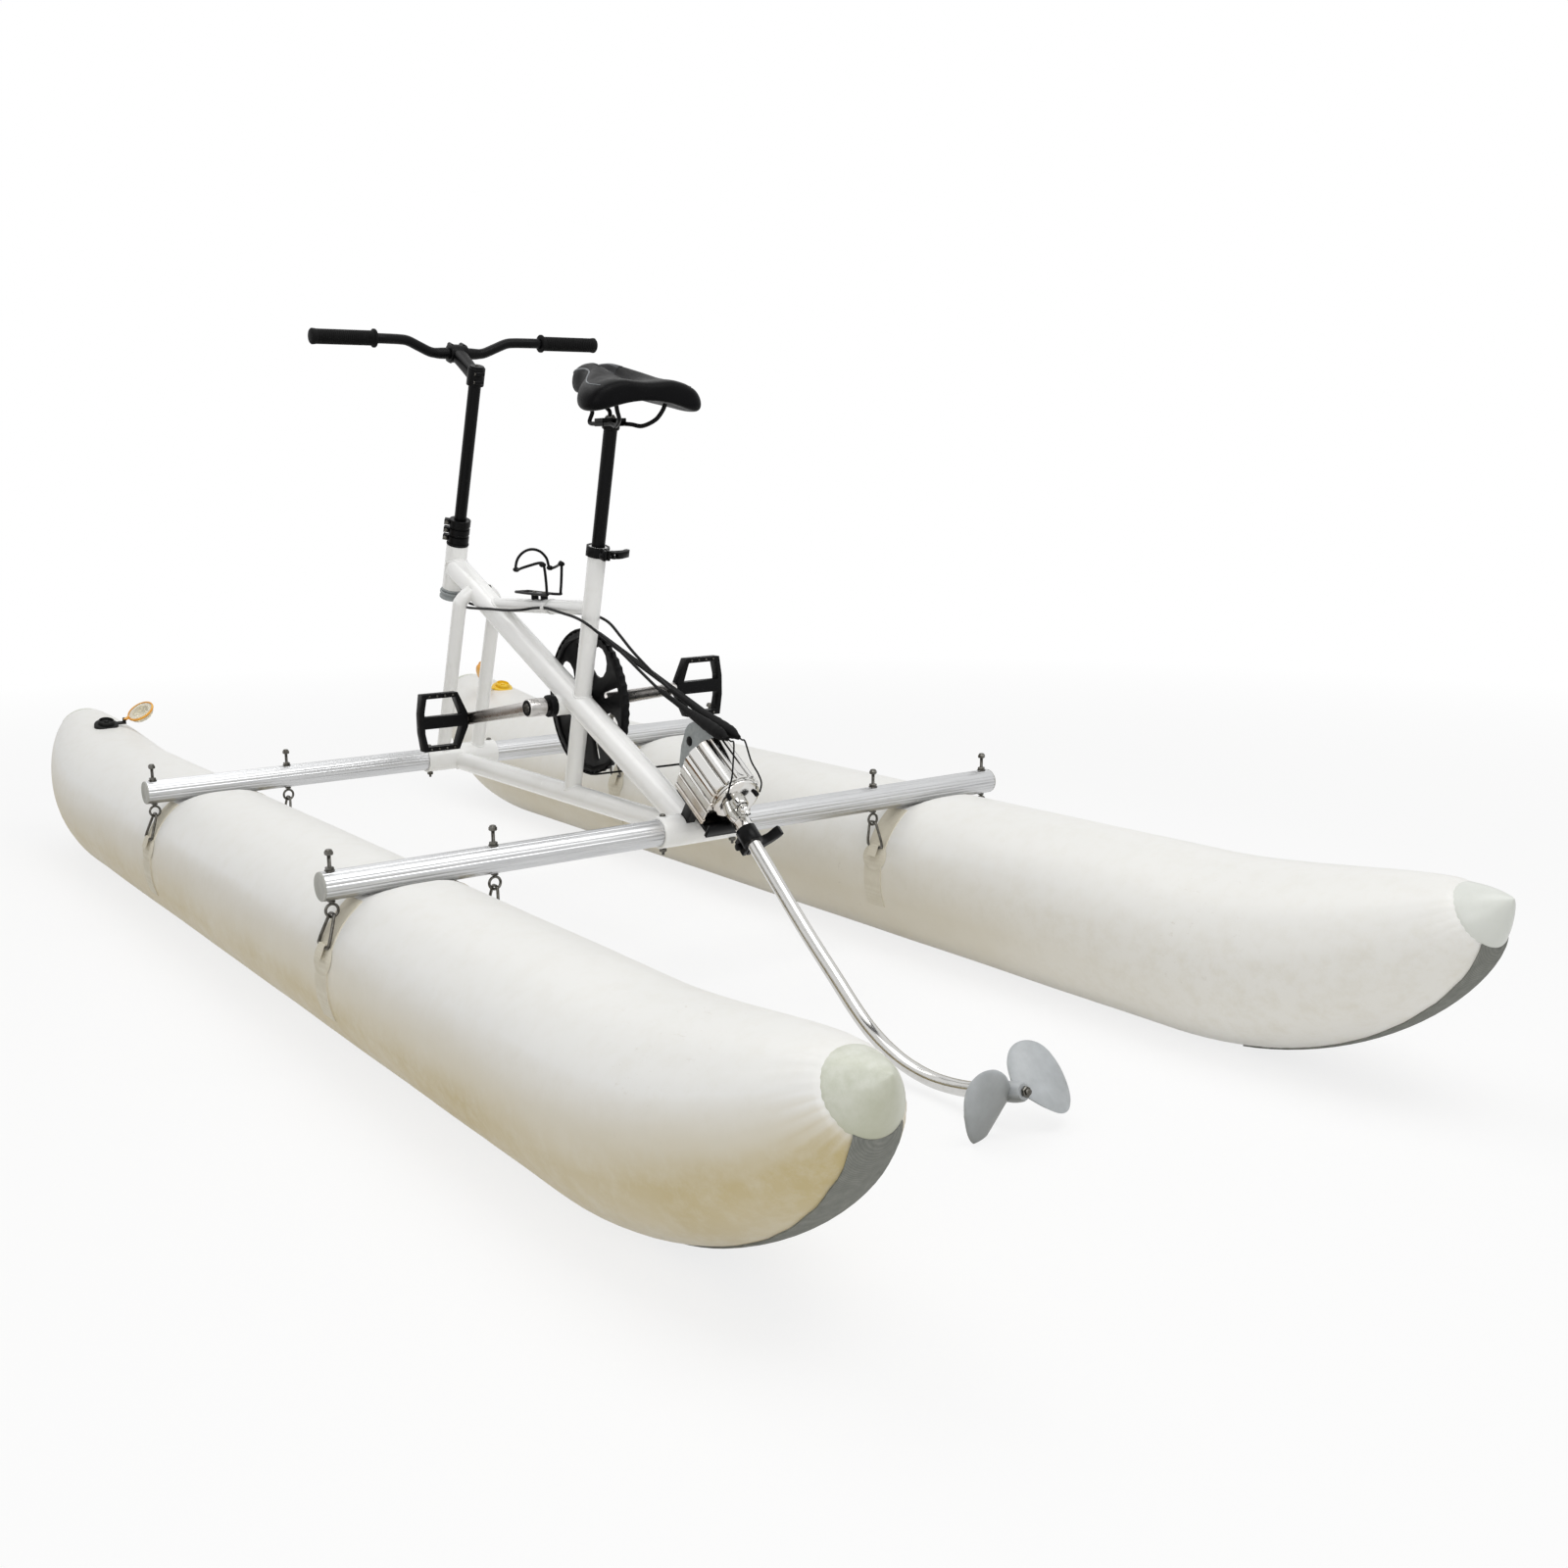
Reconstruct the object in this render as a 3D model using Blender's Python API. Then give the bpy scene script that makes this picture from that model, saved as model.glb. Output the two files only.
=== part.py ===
"""Pedal water bike on two inflatable floats, as separate parts with working joints.

Metres. X points forward, Y to the rider's left, Z up. Points are written in the machine frame,
whose X is zero halfway between the two crossbars and whose Z is zero on the ground. The whole
machine then moves along X so that the origin is under the middle of its length.
"""
import math

import bmesh
import bpy
from mathutils import Matrix, Vector

GAP = 0.0003                    # clearance between parts that touch

# Floats
FLOAT_RADIUS = 0.164
FLOAT_TRACK = 0.593             # middle plane to the axis of one float
FLOAT_SIDES = 20
BOW_STRAIGHT = 1.166            # from the middle to where the bow begins to rise
BOW_BEND_RADIUS = 0.894
BOW_BEND = math.radians(34.4)
BOW_END_RADIUS = 0.062
BOW_FULLNESS = 2.55
BOW_BLUNTNESS = 1.18
BOW_CAP = 0.055
STERN_STRAIGHT = 1.202
STERN_BEND_RADIUS = 0.840
STERN_BEND = math.radians(35.4)
STERN_END_RADIUS = 0.053
STERN_FULLNESS = 2.30
STERN_BLUNTNESS = 1.30
STERN_CAP = 0.058
CAP_NOSE_RADIUS = 0.041
BEND_STEPS = 7

# Crossbars and the fittings on them
BAR_RADIUS = 0.025
BAR_WALL = 0.0025
BAR_SIDES = 16
BAR_HALF_SPACING = 0.506        # along X
BAR_INNER_END = 0.010
BAR_SINK = 0.024                # depth of the dent that a bar makes in a float
SLEEVE_RADIUS = 0.030
SLEEVE_HALF_LENGTH = 0.090
EYE_INNER = 0.430               # along Y
EYE_OUTER = 0.730
BAR_OUTER_END = EYE_OUTER + 0.016   # room for the nut inside the bar's end
EYE_BOLT_RADIUS = 0.0035
EYE_WIRE = 0.0025
EYE_RADIUS = 0.011
EYE_DROP = 0.004                # shank seen between the bar and the eye
NUT_RADIUS = 0.0075
NUT_HEIGHT = 0.005
BOLT_RISE = 0.036               # bolt top above the bar

# Frame tubes
TUBE_SIDES = 16
SMALL_TUBE_SIDES = 12
COPE_SIDES = 20                 # sides of the round that cuts one tube to sit on another
BASE_TUBE_RADIUS = 0.022
BASE_DROP = 0.011               # base tube below the crossbar axis
TUBE_WALL = 0.0022
LEG_RADIUS = 0.016
LEG_OFFSET = 0.045
LEG_TOP = Vector((0.376, 0.0, 0.703))
LEG_JOIN = Vector((0.366, 0.0, 0.727))
STEER_POINT = Vector((0.489, 0.0, 0.768))
STEER_LEAN = math.radians(19.0)
HEAD_RADIUS = 0.025
HEAD_LOW = -0.045
HEAD_HIGH = 0.062
DOWN_TUBE_RADIUS = 0.0275
DOWN_TUBE_FRONT = Vector((0.450, 0.0, 0.760))
DOWN_TUBE_REAR = Vector((-0.466, 0.0, 0.329))
SEAT_FOOT_X = -0.032
SEAT_LEAN = math.radians(14.4)
SEAT_TUBE_RADIUS = 0.0185
SEAT_TUBE_TOP = 0.838
SEAT_SLOT_LENGTH = 0.035
TOP_TUBE_RADIUS = 0.015
TOP_TUBE_FRONT = Vector((0.258, 0.0, 0.699))
TOP_TUBE_REAR = Vector((-0.081, 0.0, 0.712))
BRACKET_POINT = Vector((-0.030, 0.0, 0.507))     # crank axis
BRACKET_RADIUS = 0.022
BRACKET_WALL = 0.003
BRACKET_HALF_WIDTH = 0.036

# Steering
FITTING_SIDES = 14
POST_RADIUS = 0.014
POST_WALL = 0.0025
POST_TOP = 0.468                # along the steering axis from STEER_POINT
CUP_HEIGHT = 0.006
DRUM_RADIUS = 0.029
DRUM_HEIGHT = 0.018
CLAMP_RADIUS = 0.025
CLAMP_HEIGHT = 0.055
CLAMP_GROOVES = 2
BAR_CLAMP = Vector((0.430, 0.0, 1.252))
HANDLEBAR_RADIUS = 0.011
HANDLEBAR_RISE = 0.026
HANDLEBAR_SWEEP = 0.017
GRIP_START = 0.2035
GRIP_END = 0.351
GRIP_RADIUS = 0.016
STEM_CLAMP_RADIUS = 0.020
STEM_WIDTH = 0.042

# Seat
PIN_SIDES = 10
SEAT_POST_RADIUS = 0.0136
SEAT_POST_TOP = 1.064
SEAT_POST_DEPTH = 0.150         # length of post inside the seat tube
SEAT_CLAMP_HEIGHT = 0.020
SEAT_CLAMP_WALL = 0.005
SADDLE_BACK = -0.372
SADDLE_NOSE = -0.098
SADDLE_CHANNEL = 0.006
RAIL_TOP = 0.030                # above the top of the seat post

# Cranks, pedals and belt
CRANK_LENGTH = 0.170
CRANK_DROP = math.radians(12.0)
AXLE_RADIUS = 0.010
AXLE_SIDES = 12
CUP_RADIUS = 0.0235
LEFT_CUP_END = 0.052
RIGHT_CUP_END = 0.0415
CRANK_BOSS_RADIUS = 0.019
CRANK_BOSS_START = 0.060
CRANK_BOSS_END = 0.100
CRANK_TIP_START = 0.143
CRANK_TIP_END = 0.157
PEDAL_START = 0.1595
PEDAL_END = 0.2696
PEDAL_HEIGHT = 0.122
PEDAL_DEPTH = 0.022
SPINDLE_RADIUS = 0.005
BELT_Y = -0.050
BELT_WIDTH = 0.015
BELT_THICKNESS = 0.004
TOOTH_PITCH = 0.0198
TOOTH_DEPTH = 0.0035
BIG_TEETH = 48
SMALL_TEETH = 12
PULLEY_WIDTH = 0.014
WEB_THICKNESS = 0.006
PULLEY_HOLE_RADIUS = 0.033
SMALL_PULLEY_POINT = Vector((-0.478, 0.0, 0.484))

# Drive unit and leg
DRIVE_POINT = Vector((-0.575, 0.0, 0.437))
DRIVE_TILT = math.radians(34.5)  # the output axis runs backward and down by this
HOUSING_FRONT = -0.045          # along the output axis from DRIVE_POINT
HOUSING_REAR = 0.062
HOUSING_RADIUS = 0.050
HOUSING_DEPTH = 0.064
FLUTE_RADIUS = 0.0030
SIDE_FLUTES = ((0.014, 0.020), (0.032, 0.038), (0.050, 0.056))
BRACKET_THICKNESS = 0.007
BRACKET_BACK = 0.083
BRACKET_HALF = 0.046
BRACKET_FRONT = -0.038
PLATE_THICKNESS = 0.012
PLATE_Y = -0.008
HEAD_CAP_RADIUS = 0.0465
HEAD_CAP_DEPTH = 0.014
HEAD_CAP_SIDES = 20
COUPLING_RADIUS = 0.011
LEG_TUBE_RADIUS = 0.013
LEG_TUBE_WALL = 0.0015
LEG_TUBE_SIDES = 10
LEG_PATH = (
    (-0.657, 0.347), (-0.684, 0.324), (-0.824, 0.204), (-0.913, 0.134), (-0.965, 0.093),
    (-1.006, 0.066), (-1.052, 0.045), (-1.100, 0.032), (-1.160, 0.027), (-1.225, 0.034),
    (-1.287, 0.049),
)
PROPELLER_POINT = Vector((-1.332, 0.0, 0.063))
SHAFT_RADIUS = 0.0045
SHAFT_INSIDE = 0.012            # length of propeller shaft inside the end of the leg
PROPELLER_RADIUS = 0.104
BLADE_CHORD = 0.108
BLADE_PITCH = math.radians(28.0)
BLADE_TURN = math.radians(8.0)

# Valves
VALVE_X = 1.468
VALVE_RADIUS = 0.031
VALVE_HEIGHT = 0.007
VALVE_SINK = 0.012              # depth of the base's skirt before the float's shape trims it
NECK_RADIUS = 0.021
NECK_HEIGHT = 0.016
VALVE_CAP_RADIUS = 0.037
VALVE_STRAP = 0.010             # from the cap's rim to its hinge
STRAP_WIDTH = 0.014
STRAP_TOP = 0.0030
EAR_THICKNESS = 0.002
VALVE_SIDES = 12
VALVE_CAP_HEIGHT = 0.012
LEFT_CAP_OPEN = math.radians(150.0)
RIGHT_CAP_OPEN = math.radians(110.0)

# Cables
CABLE_RADIUS = 0.003
WIRE_RADIUS = 0.0012
BOOT_RADIUS = 0.0105
CABLE_ROUTE = (
    (0.478, 0.008, 0.700), (0.440, 0.015, 0.690), (0.390, 0.0215, 0.687),
    (0.345, 0.0275, 0.688), (0.300, 0.0325, 0.690), (0.252, 0.033, 0.692),
    (0.185, 0.0325, 0.693), (0.119, 0.028, 0.697), (0.075, 0.021, 0.703),
    (0.030, 0.0190, 0.706), (-0.010, 0.0205, 0.704), (-0.060, 0.0235, 0.700),
    (-0.112, 0.0255, 0.695), (-0.160, 0.0255, 0.684), (-0.215, 0.0190, 0.660),
    (-0.268, 0.0130, 0.635), (-0.335, 0.0115, 0.603), (-0.4000, 0.0115, 0.574),
)
BOOT_KNEE = Vector((-0.505, 0.0118, 0.541))
BOOT_END = Vector((-0.623, 0.0125, 0.508))

X = Vector((1.0, 0.0, 0.0))
Y = Vector((0.0, 1.0, 0.0))
Z = Vector((0.0, 0.0, 1.0))
SIDES = (1, -1)
SIDE_NAMES = {1: "left", -1: "right"}


def turned(radius, sides, clearance=GAP):
    """Corner radius of a bore whose flats clear a round of this radius."""
    return (radius + clearance) / math.cos(math.pi / sides)


def plug(radius, sides):
    """Corner radius of a round that clears the flats of a bore with this corner radius."""
    return radius * math.cos(math.pi / sides) - GAP


def axis_frame(origin, axis, across=None):
    """Matrix whose Z is the axis; its X lies as near as possible to the given direction."""
    z = Vector(axis).normalized()
    hint = Vector(across) if across is not None else (X if abs(z.x) < 0.9 else Y)
    x = (hint - z * hint.dot(z)).normalized()
    y = z.cross(x)
    m = Matrix((x, y, z)).transposed().to_4x4()
    m.translation = origin
    return m


def circle(frame, radius, height, sides, phase=0.0):
    ring = []
    for k in range(sides):
        a = phase + 2.0 * math.pi * k / sides
        ring.append(frame @ Vector((radius * math.cos(a), radius * math.sin(a), height)))
    return ring


def skin(bm, rings, closed=False):
    """Join rings of points into one closed body. A ring of one point closes to a tip."""
    made = [[bm.verts.new(p) for p in ring] for ring in rings]
    faces = []
    pairs = list(zip(made, made[1:]))
    if closed:
        pairs.append((made[-1], made[0]))
    for low, high in pairs:
        count = max(len(low), len(high))
        for k in range(count):
            n = (k + 1) % count
            corners = []
            for v in (low[k % len(low)], low[n % len(low)], high[n % len(high)],
                      high[k % len(high)]):
                if v not in corners:
                    corners.append(v)
            if len(corners) > 2:
                faces.append(bm.faces.new(corners))
    if not closed:
        for ring in (made[0], made[-1]):
            if len(ring) > 2:
                faces.append(bm.faces.new(ring))
    return faces


def lathe(bm, frame, profile, sides, phase=0.0, closed=False):
    """Turn a profile of (radius, height) pairs about the frame's Z."""
    rings = []
    for radius, height in profile:
        if radius < 1e-7:
            rings.append([frame @ Vector((0.0, 0.0, height))])
        else:
            rings.append(circle(frame, radius, height, sides, phase))
    skin(bm, rings, closed)


def collar(bm, frame, inner, outer, low, high, sides, phase=0.0):
    """Ring-shaped body between two radii and two heights."""
    lathe(bm, frame, ((inner, low), (outer, low), (outer, high), (inner, high)), sides, phase,
          closed=True)


def disc(bm, frame, radius, low, high, sides, phase=0.0):
    lathe(bm, frame, ((radius, low), (radius, high)), sides, phase)


def box(bm, frame, low, high):
    corners = [[frame @ Vector((x, y, z)) for x, y in
                ((low[0], low[1]), (high[0], low[1]), (high[0], high[1]), (low[0], high[1]))]
               for z in (low[2], high[2])]
    skin(bm, corners)


def prism(bm, frame, outline, low, high):
    """Extrude a flat outline of (x, y) pairs along the frame's Z."""
    skin(bm, [[frame @ Vector((x, y, z)) for x, y in outline] for z in (low, high)])


def sweep_rings(path, radii, sides, phase=0.0, loop=False, side=None):
    """Rings of a round tube along a path, turned as little as possible from one to the next."""
    count = len(path)
    rings = []
    across = None
    for i, point in enumerate(path):
        before = path[i - 1] if (i or loop) else point
        after = path[(i + 1) % count] if (i + 1 < count or loop) else point
        along = ((after - point).normalized() + (point - before).normalized()).normalized()
        hint = across if across is not None else (side if side is not None else Y)
        if abs(along.dot(hint)) > 0.98:
            hint = X if abs(along.x) < 0.9 else Z
        across = (hint - along * hint.dot(along)).normalized()
        up = along.cross(across)
        radius = radii[i] if isinstance(radii, (list, tuple)) else radii
        bend = 1.0
        if after != point and before != point:
            cosine = (after - point).normalized().dot((point - before).normalized())
            bend = 1.0 / max(0.7, math.sqrt(max(0.0, (1.0 + cosine) / 2.0)))
        turn_dir = (after - point).normalized() - (point - before).normalized()
        turn_dir = turn_dir - along * turn_dir.dot(along)
        ring = []
        for k in range(sides):
            a = phase + 2.0 * math.pi * k / sides
            offset = (across * math.cos(a) + up * math.sin(a)) * radius
            if bend > 1.0005 and turn_dir.length > 1e-9:
                t = turn_dir.normalized()
                offset = offset + t * offset.dot(t) * (bend - 1.0)
            ring.append(point + offset)
        rings.append(ring)
    return rings


def rod(bm, path, radii, sides, phase=0.0, loop=False, side=None):
    skin(bm, sweep_rings(path, radii, sides, phase, loop, side), loop)


def pipe(bm, path, radius, wall, sides, side=None):
    """Open-ended tube along a path."""
    outer = sweep_rings(path, radius, sides, side=side)
    inner = sweep_rings(path, radius - wall, sides, side=side)
    skin(bm, outer + inner[::-1], closed=True)


def arc(centre, first, second, radius, start, stop, steps):
    """Points of an arc in the plane of two directions."""
    points = []
    for k in range(steps + 1):
        a = start + (stop - start) * k / steps
        points.append(centre + first * (radius * math.cos(a)) + second * (radius * math.sin(a)))
    return points


COPE_PHASE = math.pi / COPE_SIDES   # no corner of a cope lies in the middle plane
MATERIALS = {}


def material(name, colour, metallic=0.0, roughness=0.5):
    if name not in MATERIALS:
        mat = bpy.data.materials.new(name)
        mat.use_nodes = True
        shader = mat.node_tree.nodes["Principled BSDF"]
        shader.inputs["Base Color"].default_value = (*colour, 1.0)
        shader.inputs["Metallic"].default_value = metallic
        shader.inputs["Roughness"].default_value = roughness
        mat.diffuse_color = (*colour, 1.0)
        MATERIALS[name] = mat
    return MATERIALS[name]


def face_outward(bm):
    """Turn the faces of every separate body outward."""
    bmesh.ops.recalc_face_normals(bm, faces=bm.faces)
    waiting = set(bm.faces)
    while waiting:
        body = set()
        front = [next(iter(waiting))]
        while front:
            face = front.pop()
            if face in body:
                continue
            body.add(face)
            front.extend(other for edge in face.edges for other in edge.link_faces)
        waiting -= body
        volume = 0.0
        for face in body:
            corners = [vert.co for vert in face.verts]
            for a, b in zip(corners[1:], corners[2:]):
                volume += corners[0].dot(a.cross(b))
        if volume < 0.0:
            bmesh.ops.reverse_faces(bm, faces=list(body))


def new_object(name, bm, parent, smooth=35.0):
    face_outward(bm)
    if parent.get("inverse") is not None:
        flat = parent["inverse"]
        inverse = Matrix([[flat[4 * r + c] for c in range(4)] for r in range(4)])
        bm.transform(inverse)
    mesh = bpy.data.meshes.new(name)
    bm.to_mesh(mesh)
    bm.free()
    if smooth:
        mesh.shade_smooth()
        mesh.set_sharp_from_angle(angle=math.radians(smooth))
    obj = bpy.data.objects.new(name, mesh)
    bpy.context.scene.collection.objects.link(obj)
    obj.parent = parent
    return obj


def part(name, bm, look, parent, smooth=35.0):
    obj = new_object(name, bm, parent, smooth)
    base = MATERIALS[look]
    own = base.copy()
    own.name = name
    obj.data.materials.append(own)
    return obj


def joint_frame(name, matrix, root):
    """Empty on a joint axis. Points are written in the machine frame and moved into it."""
    empty = bpy.data.objects.new(name, None)
    bpy.context.scene.collection.objects.link(empty)
    empty.parent = root
    empty.matrix_local = matrix
    inverse = matrix.inverted()
    empty["inverse"] = [inverse[r][c] for r in range(4) for c in range(4)]
    return empty


def cutter(name, bm, root):
    obj = new_object(name, bm, root, smooth=0.0)
    obj.hide_render = True
    obj.display_type = "WIRE"
    return obj


def cut(target, tool):
    mod = target.modifiers.new(tool.name, "BOOLEAN")
    mod.operation = "DIFFERENCE"
    mod.solver = "EXACT"
    mod.object = tool


def fuse(target, tool):
    mod = target.modifiers.new(tool.name, "BOOLEAN")
    mod.operation = "UNION"
    mod.solver = "EXACT"
    mod.object = tool


def clear_scene():
    for obj in list(bpy.data.objects):
        bpy.data.objects.remove(obj, do_unlink=True)


FLOAT_Z = FLOAT_RADIUS * math.cos(math.pi / FLOAT_SIDES)
FLOAT_PHASE = -math.pi / 2.0 + math.pi / FLOAT_SIDES
BAR_Z = FLOAT_Z * 2.0 + BAR_RADIUS - BAR_SINK
BASE_Z = BAR_Z - BASE_DROP
STEER = axis_frame(STEER_POINT, (-math.sin(STEER_LEAN), 0.0, math.cos(STEER_LEAN)), X)
DRIVE_AXIS = Vector((-math.cos(DRIVE_TILT), 0.0, -math.sin(DRIVE_TILT)))
DRIVE_UP = Vector((-math.sin(DRIVE_TILT), 0.0, math.cos(DRIVE_TILT)))
DRIVE = axis_frame(DRIVE_POINT, DRIVE_AXIS, DRIVE_UP)
SEAT_AXIS = Vector((-math.sin(SEAT_LEAN), 0.0, math.cos(SEAT_LEAN)))
LEG_AXIS = (Vector((LEG_PATH[1][0], 0.0, LEG_PATH[1][1]))
            - Vector((LEG_PATH[0][0], 0.0, LEG_PATH[0][1]))).normalized()


def seat_point(z):
    """Point of the seat tube's axis at a height."""
    return Vector((SEAT_FOOT_X - (z - BASE_Z) * math.tan(SEAT_LEAN), 0.0, z))


def drive_point(along, up, y=0.0):
    return DRIVE_POINT + DRIVE_AXIS * along + DRIVE_UP * up + Y * y


class FloatEnd:
    """One turned-up end of a float: sign +1 is the bow, -1 the stern."""

    def __init__(self, sign, straight, bend_radius, bend, end_radius, fullness, bluntness, cap):
        self.sign = sign
        self.straight = straight
        self.bend_radius = bend_radius
        self.bend = bend
        self.end_radius = end_radius
        self.fullness = fullness
        self.bluntness = bluntness
        self.cap = cap

    def frame(self, t, y):
        """Frame at a share t of the bend: X is Y, Y points up, Z runs on to the tip."""
        a = self.bend * t
        x = self.straight + self.bend_radius * math.sin(a)
        z = FLOAT_Z + self.bend_radius * (1.0 - math.cos(a))
        along = Vector((self.sign * math.cos(a), 0.0, math.sin(a)))
        up = Vector((-self.sign * math.sin(a), 0.0, math.cos(a)))
        m = Matrix((Y, up, along)).transposed().to_4x4()
        m.translation = Vector((self.sign * x, y, z))
        return m

    def radius(self, t):
        shape = max(0.0, 1.0 - t ** self.fullness) ** (1.0 / self.bluntness)
        return self.end_radius + (FLOAT_RADIUS - self.end_radius) * shape

    def steps(self):
        return [1.0 - (1.0 - k / BEND_STEPS) ** 1.25 for k in range(BEND_STEPS + 1)]

    def rings(self, y, clearance=0.0):
        return [circle(self.frame(t, y), self.radius(t) + clearance, 0.0, FLOAT_SIDES, FLOAT_PHASE)
                for t in self.steps()]

    def cap_profile(self):
        base = self.end_radius
        nose = CAP_NOSE_RADIUS
        long = self.cap
        return ((base, GAP), (nose, long * 0.70), (nose * 0.62, long * 0.95), (0.0, long))

    def reach(self):
        """Furthest X of the end's cap."""
        frame = self.frame(1.0, 0.0)
        return max(abs(point.x) for radius, height in self.cap_profile()
                   for point in circle(frame, radius, height, FLOAT_SIDES, FLOAT_PHASE))


BOW = FloatEnd(1, BOW_STRAIGHT, BOW_BEND_RADIUS, BOW_BEND, BOW_END_RADIUS, BOW_FULLNESS,
               BOW_BLUNTNESS, BOW_CAP)
STERN = FloatEnd(-1, STERN_STRAIGHT, STERN_BEND_RADIUS, STERN_BEND, STERN_END_RADIUS,
                 STERN_FULLNESS, STERN_BLUNTNESS, STERN_CAP)


def make_floats(root):
    groove = bmesh.new()
    span = FLOAT_TRACK + FLOAT_RADIUS * 1.5
    for sign in SIDES:
        frame = axis_frame(Vector((sign * BAR_HALF_SPACING, 0.0, BAR_Z)), Y, X)
        disc(groove, frame, turned(BAR_RADIUS, BAR_SIDES), -span, span, BAR_SIDES)
    tool = cutter("bar_groove", groove, root)
    for name, side in (("left_pontoon", 1), ("right_pontoon", -1)):
        bm = bmesh.new()
        skin(bm, STERN.rings(side * FLOAT_TRACK)[::-1] + BOW.rings(side * FLOAT_TRACK))
        cut(part(name, bm, "float", root), tool)


def make_end_caps(root):
    for name, end in (("bow", BOW), ("stern", STERN)):
        for side in SIDES:
            bm = bmesh.new()
            lathe(bm, end.frame(1.0, side * FLOAT_TRACK), end.cap_profile(), FLOAT_SIDES,
                  FLOAT_PHASE)
            part(SIDE_NAMES[side] + "_" + name + "_cap", bm, "end_cap", root)


EYE_Z = BAR_Z - BAR_RADIUS - EYE_DROP - EYE_RADIUS - EYE_WIRE
BOLT_TOP = BAR_Z + BAR_RADIUS + BOLT_RISE


def bolt_frames(sign, side):
    """Upright frames of the two eye bolts through one crossbar."""
    return [axis_frame(Vector((sign * BAR_HALF_SPACING, side * y, 0.0)), Z, X)
            for y in (EYE_INNER, EYE_OUTER)]


def add_eye_bolts(bar, name, sign, side, root):
    """Join two eye bolts, their nuts and their cap nuts to a crossbar."""
    shanks = bmesh.new()
    nuts = bmesh.new()
    over = BAR_Z + BAR_RADIUS
    for frame in bolt_frames(sign, side):
        eye = frame @ Vector((0.0, 0.0, EYE_Z))
        loop = arc(eye, Y, Z, EYE_RADIUS, math.radians(112.0), math.radians(418.0), 6)
        path = [frame @ Vector((0.0, 0.0, BOLT_TOP - 0.005)), eye + Z * (EYE_RADIUS + 0.0035)]
        radii = [EYE_BOLT_RADIUS, EYE_BOLT_RADIUS * 0.9] + [EYE_WIRE] * len(loop)
        rod(shanks, path + loop, radii, 4, side=X)
        disc(nuts, frame, NUT_RADIUS, over - 0.001, over + NUT_HEIGHT, 6)
        lathe(nuts, frame, ((NUT_RADIUS, BOLT_TOP - 0.010), (NUT_RADIUS, BOLT_TOP - 0.003),
                            (NUT_RADIUS * 0.6, BOLT_TOP)), 6)
    fuse(bar, cutter(name + "_shanks", shanks, root))
    fuse(bar, cutter(name + "_nuts", nuts, root))


def make_crossbars(root):
    inner = BAR_RADIUS - BAR_WALL
    for sign, end in ((1, "front"), (-1, "rear")):
        middle = Vector((sign * BAR_HALF_SPACING, 0.0, BAR_Z))
        for side in SIDES:
            bm = bmesh.new()
            collar(bm, axis_frame(middle, Y * side, X), inner, BAR_RADIUS, BAR_INNER_END,
                   BAR_OUTER_END, BAR_SIDES)
            name = end + "_" + SIDE_NAMES[side] + "_crossbar"
            add_eye_bolts(part(name, bm, "aluminium", root), name, sign, side, root)
        bm = bmesh.new()
        collar(bm, axis_frame(middle, Y, X), turned(BAR_RADIUS, BAR_SIDES), SLEEVE_RADIUS,
               -SLEEVE_HALF_LENGTH, SLEEVE_HALF_LENGTH, BAR_SIDES)
        part(end + "_sleeve", bm, "frame_paint", root)


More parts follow.
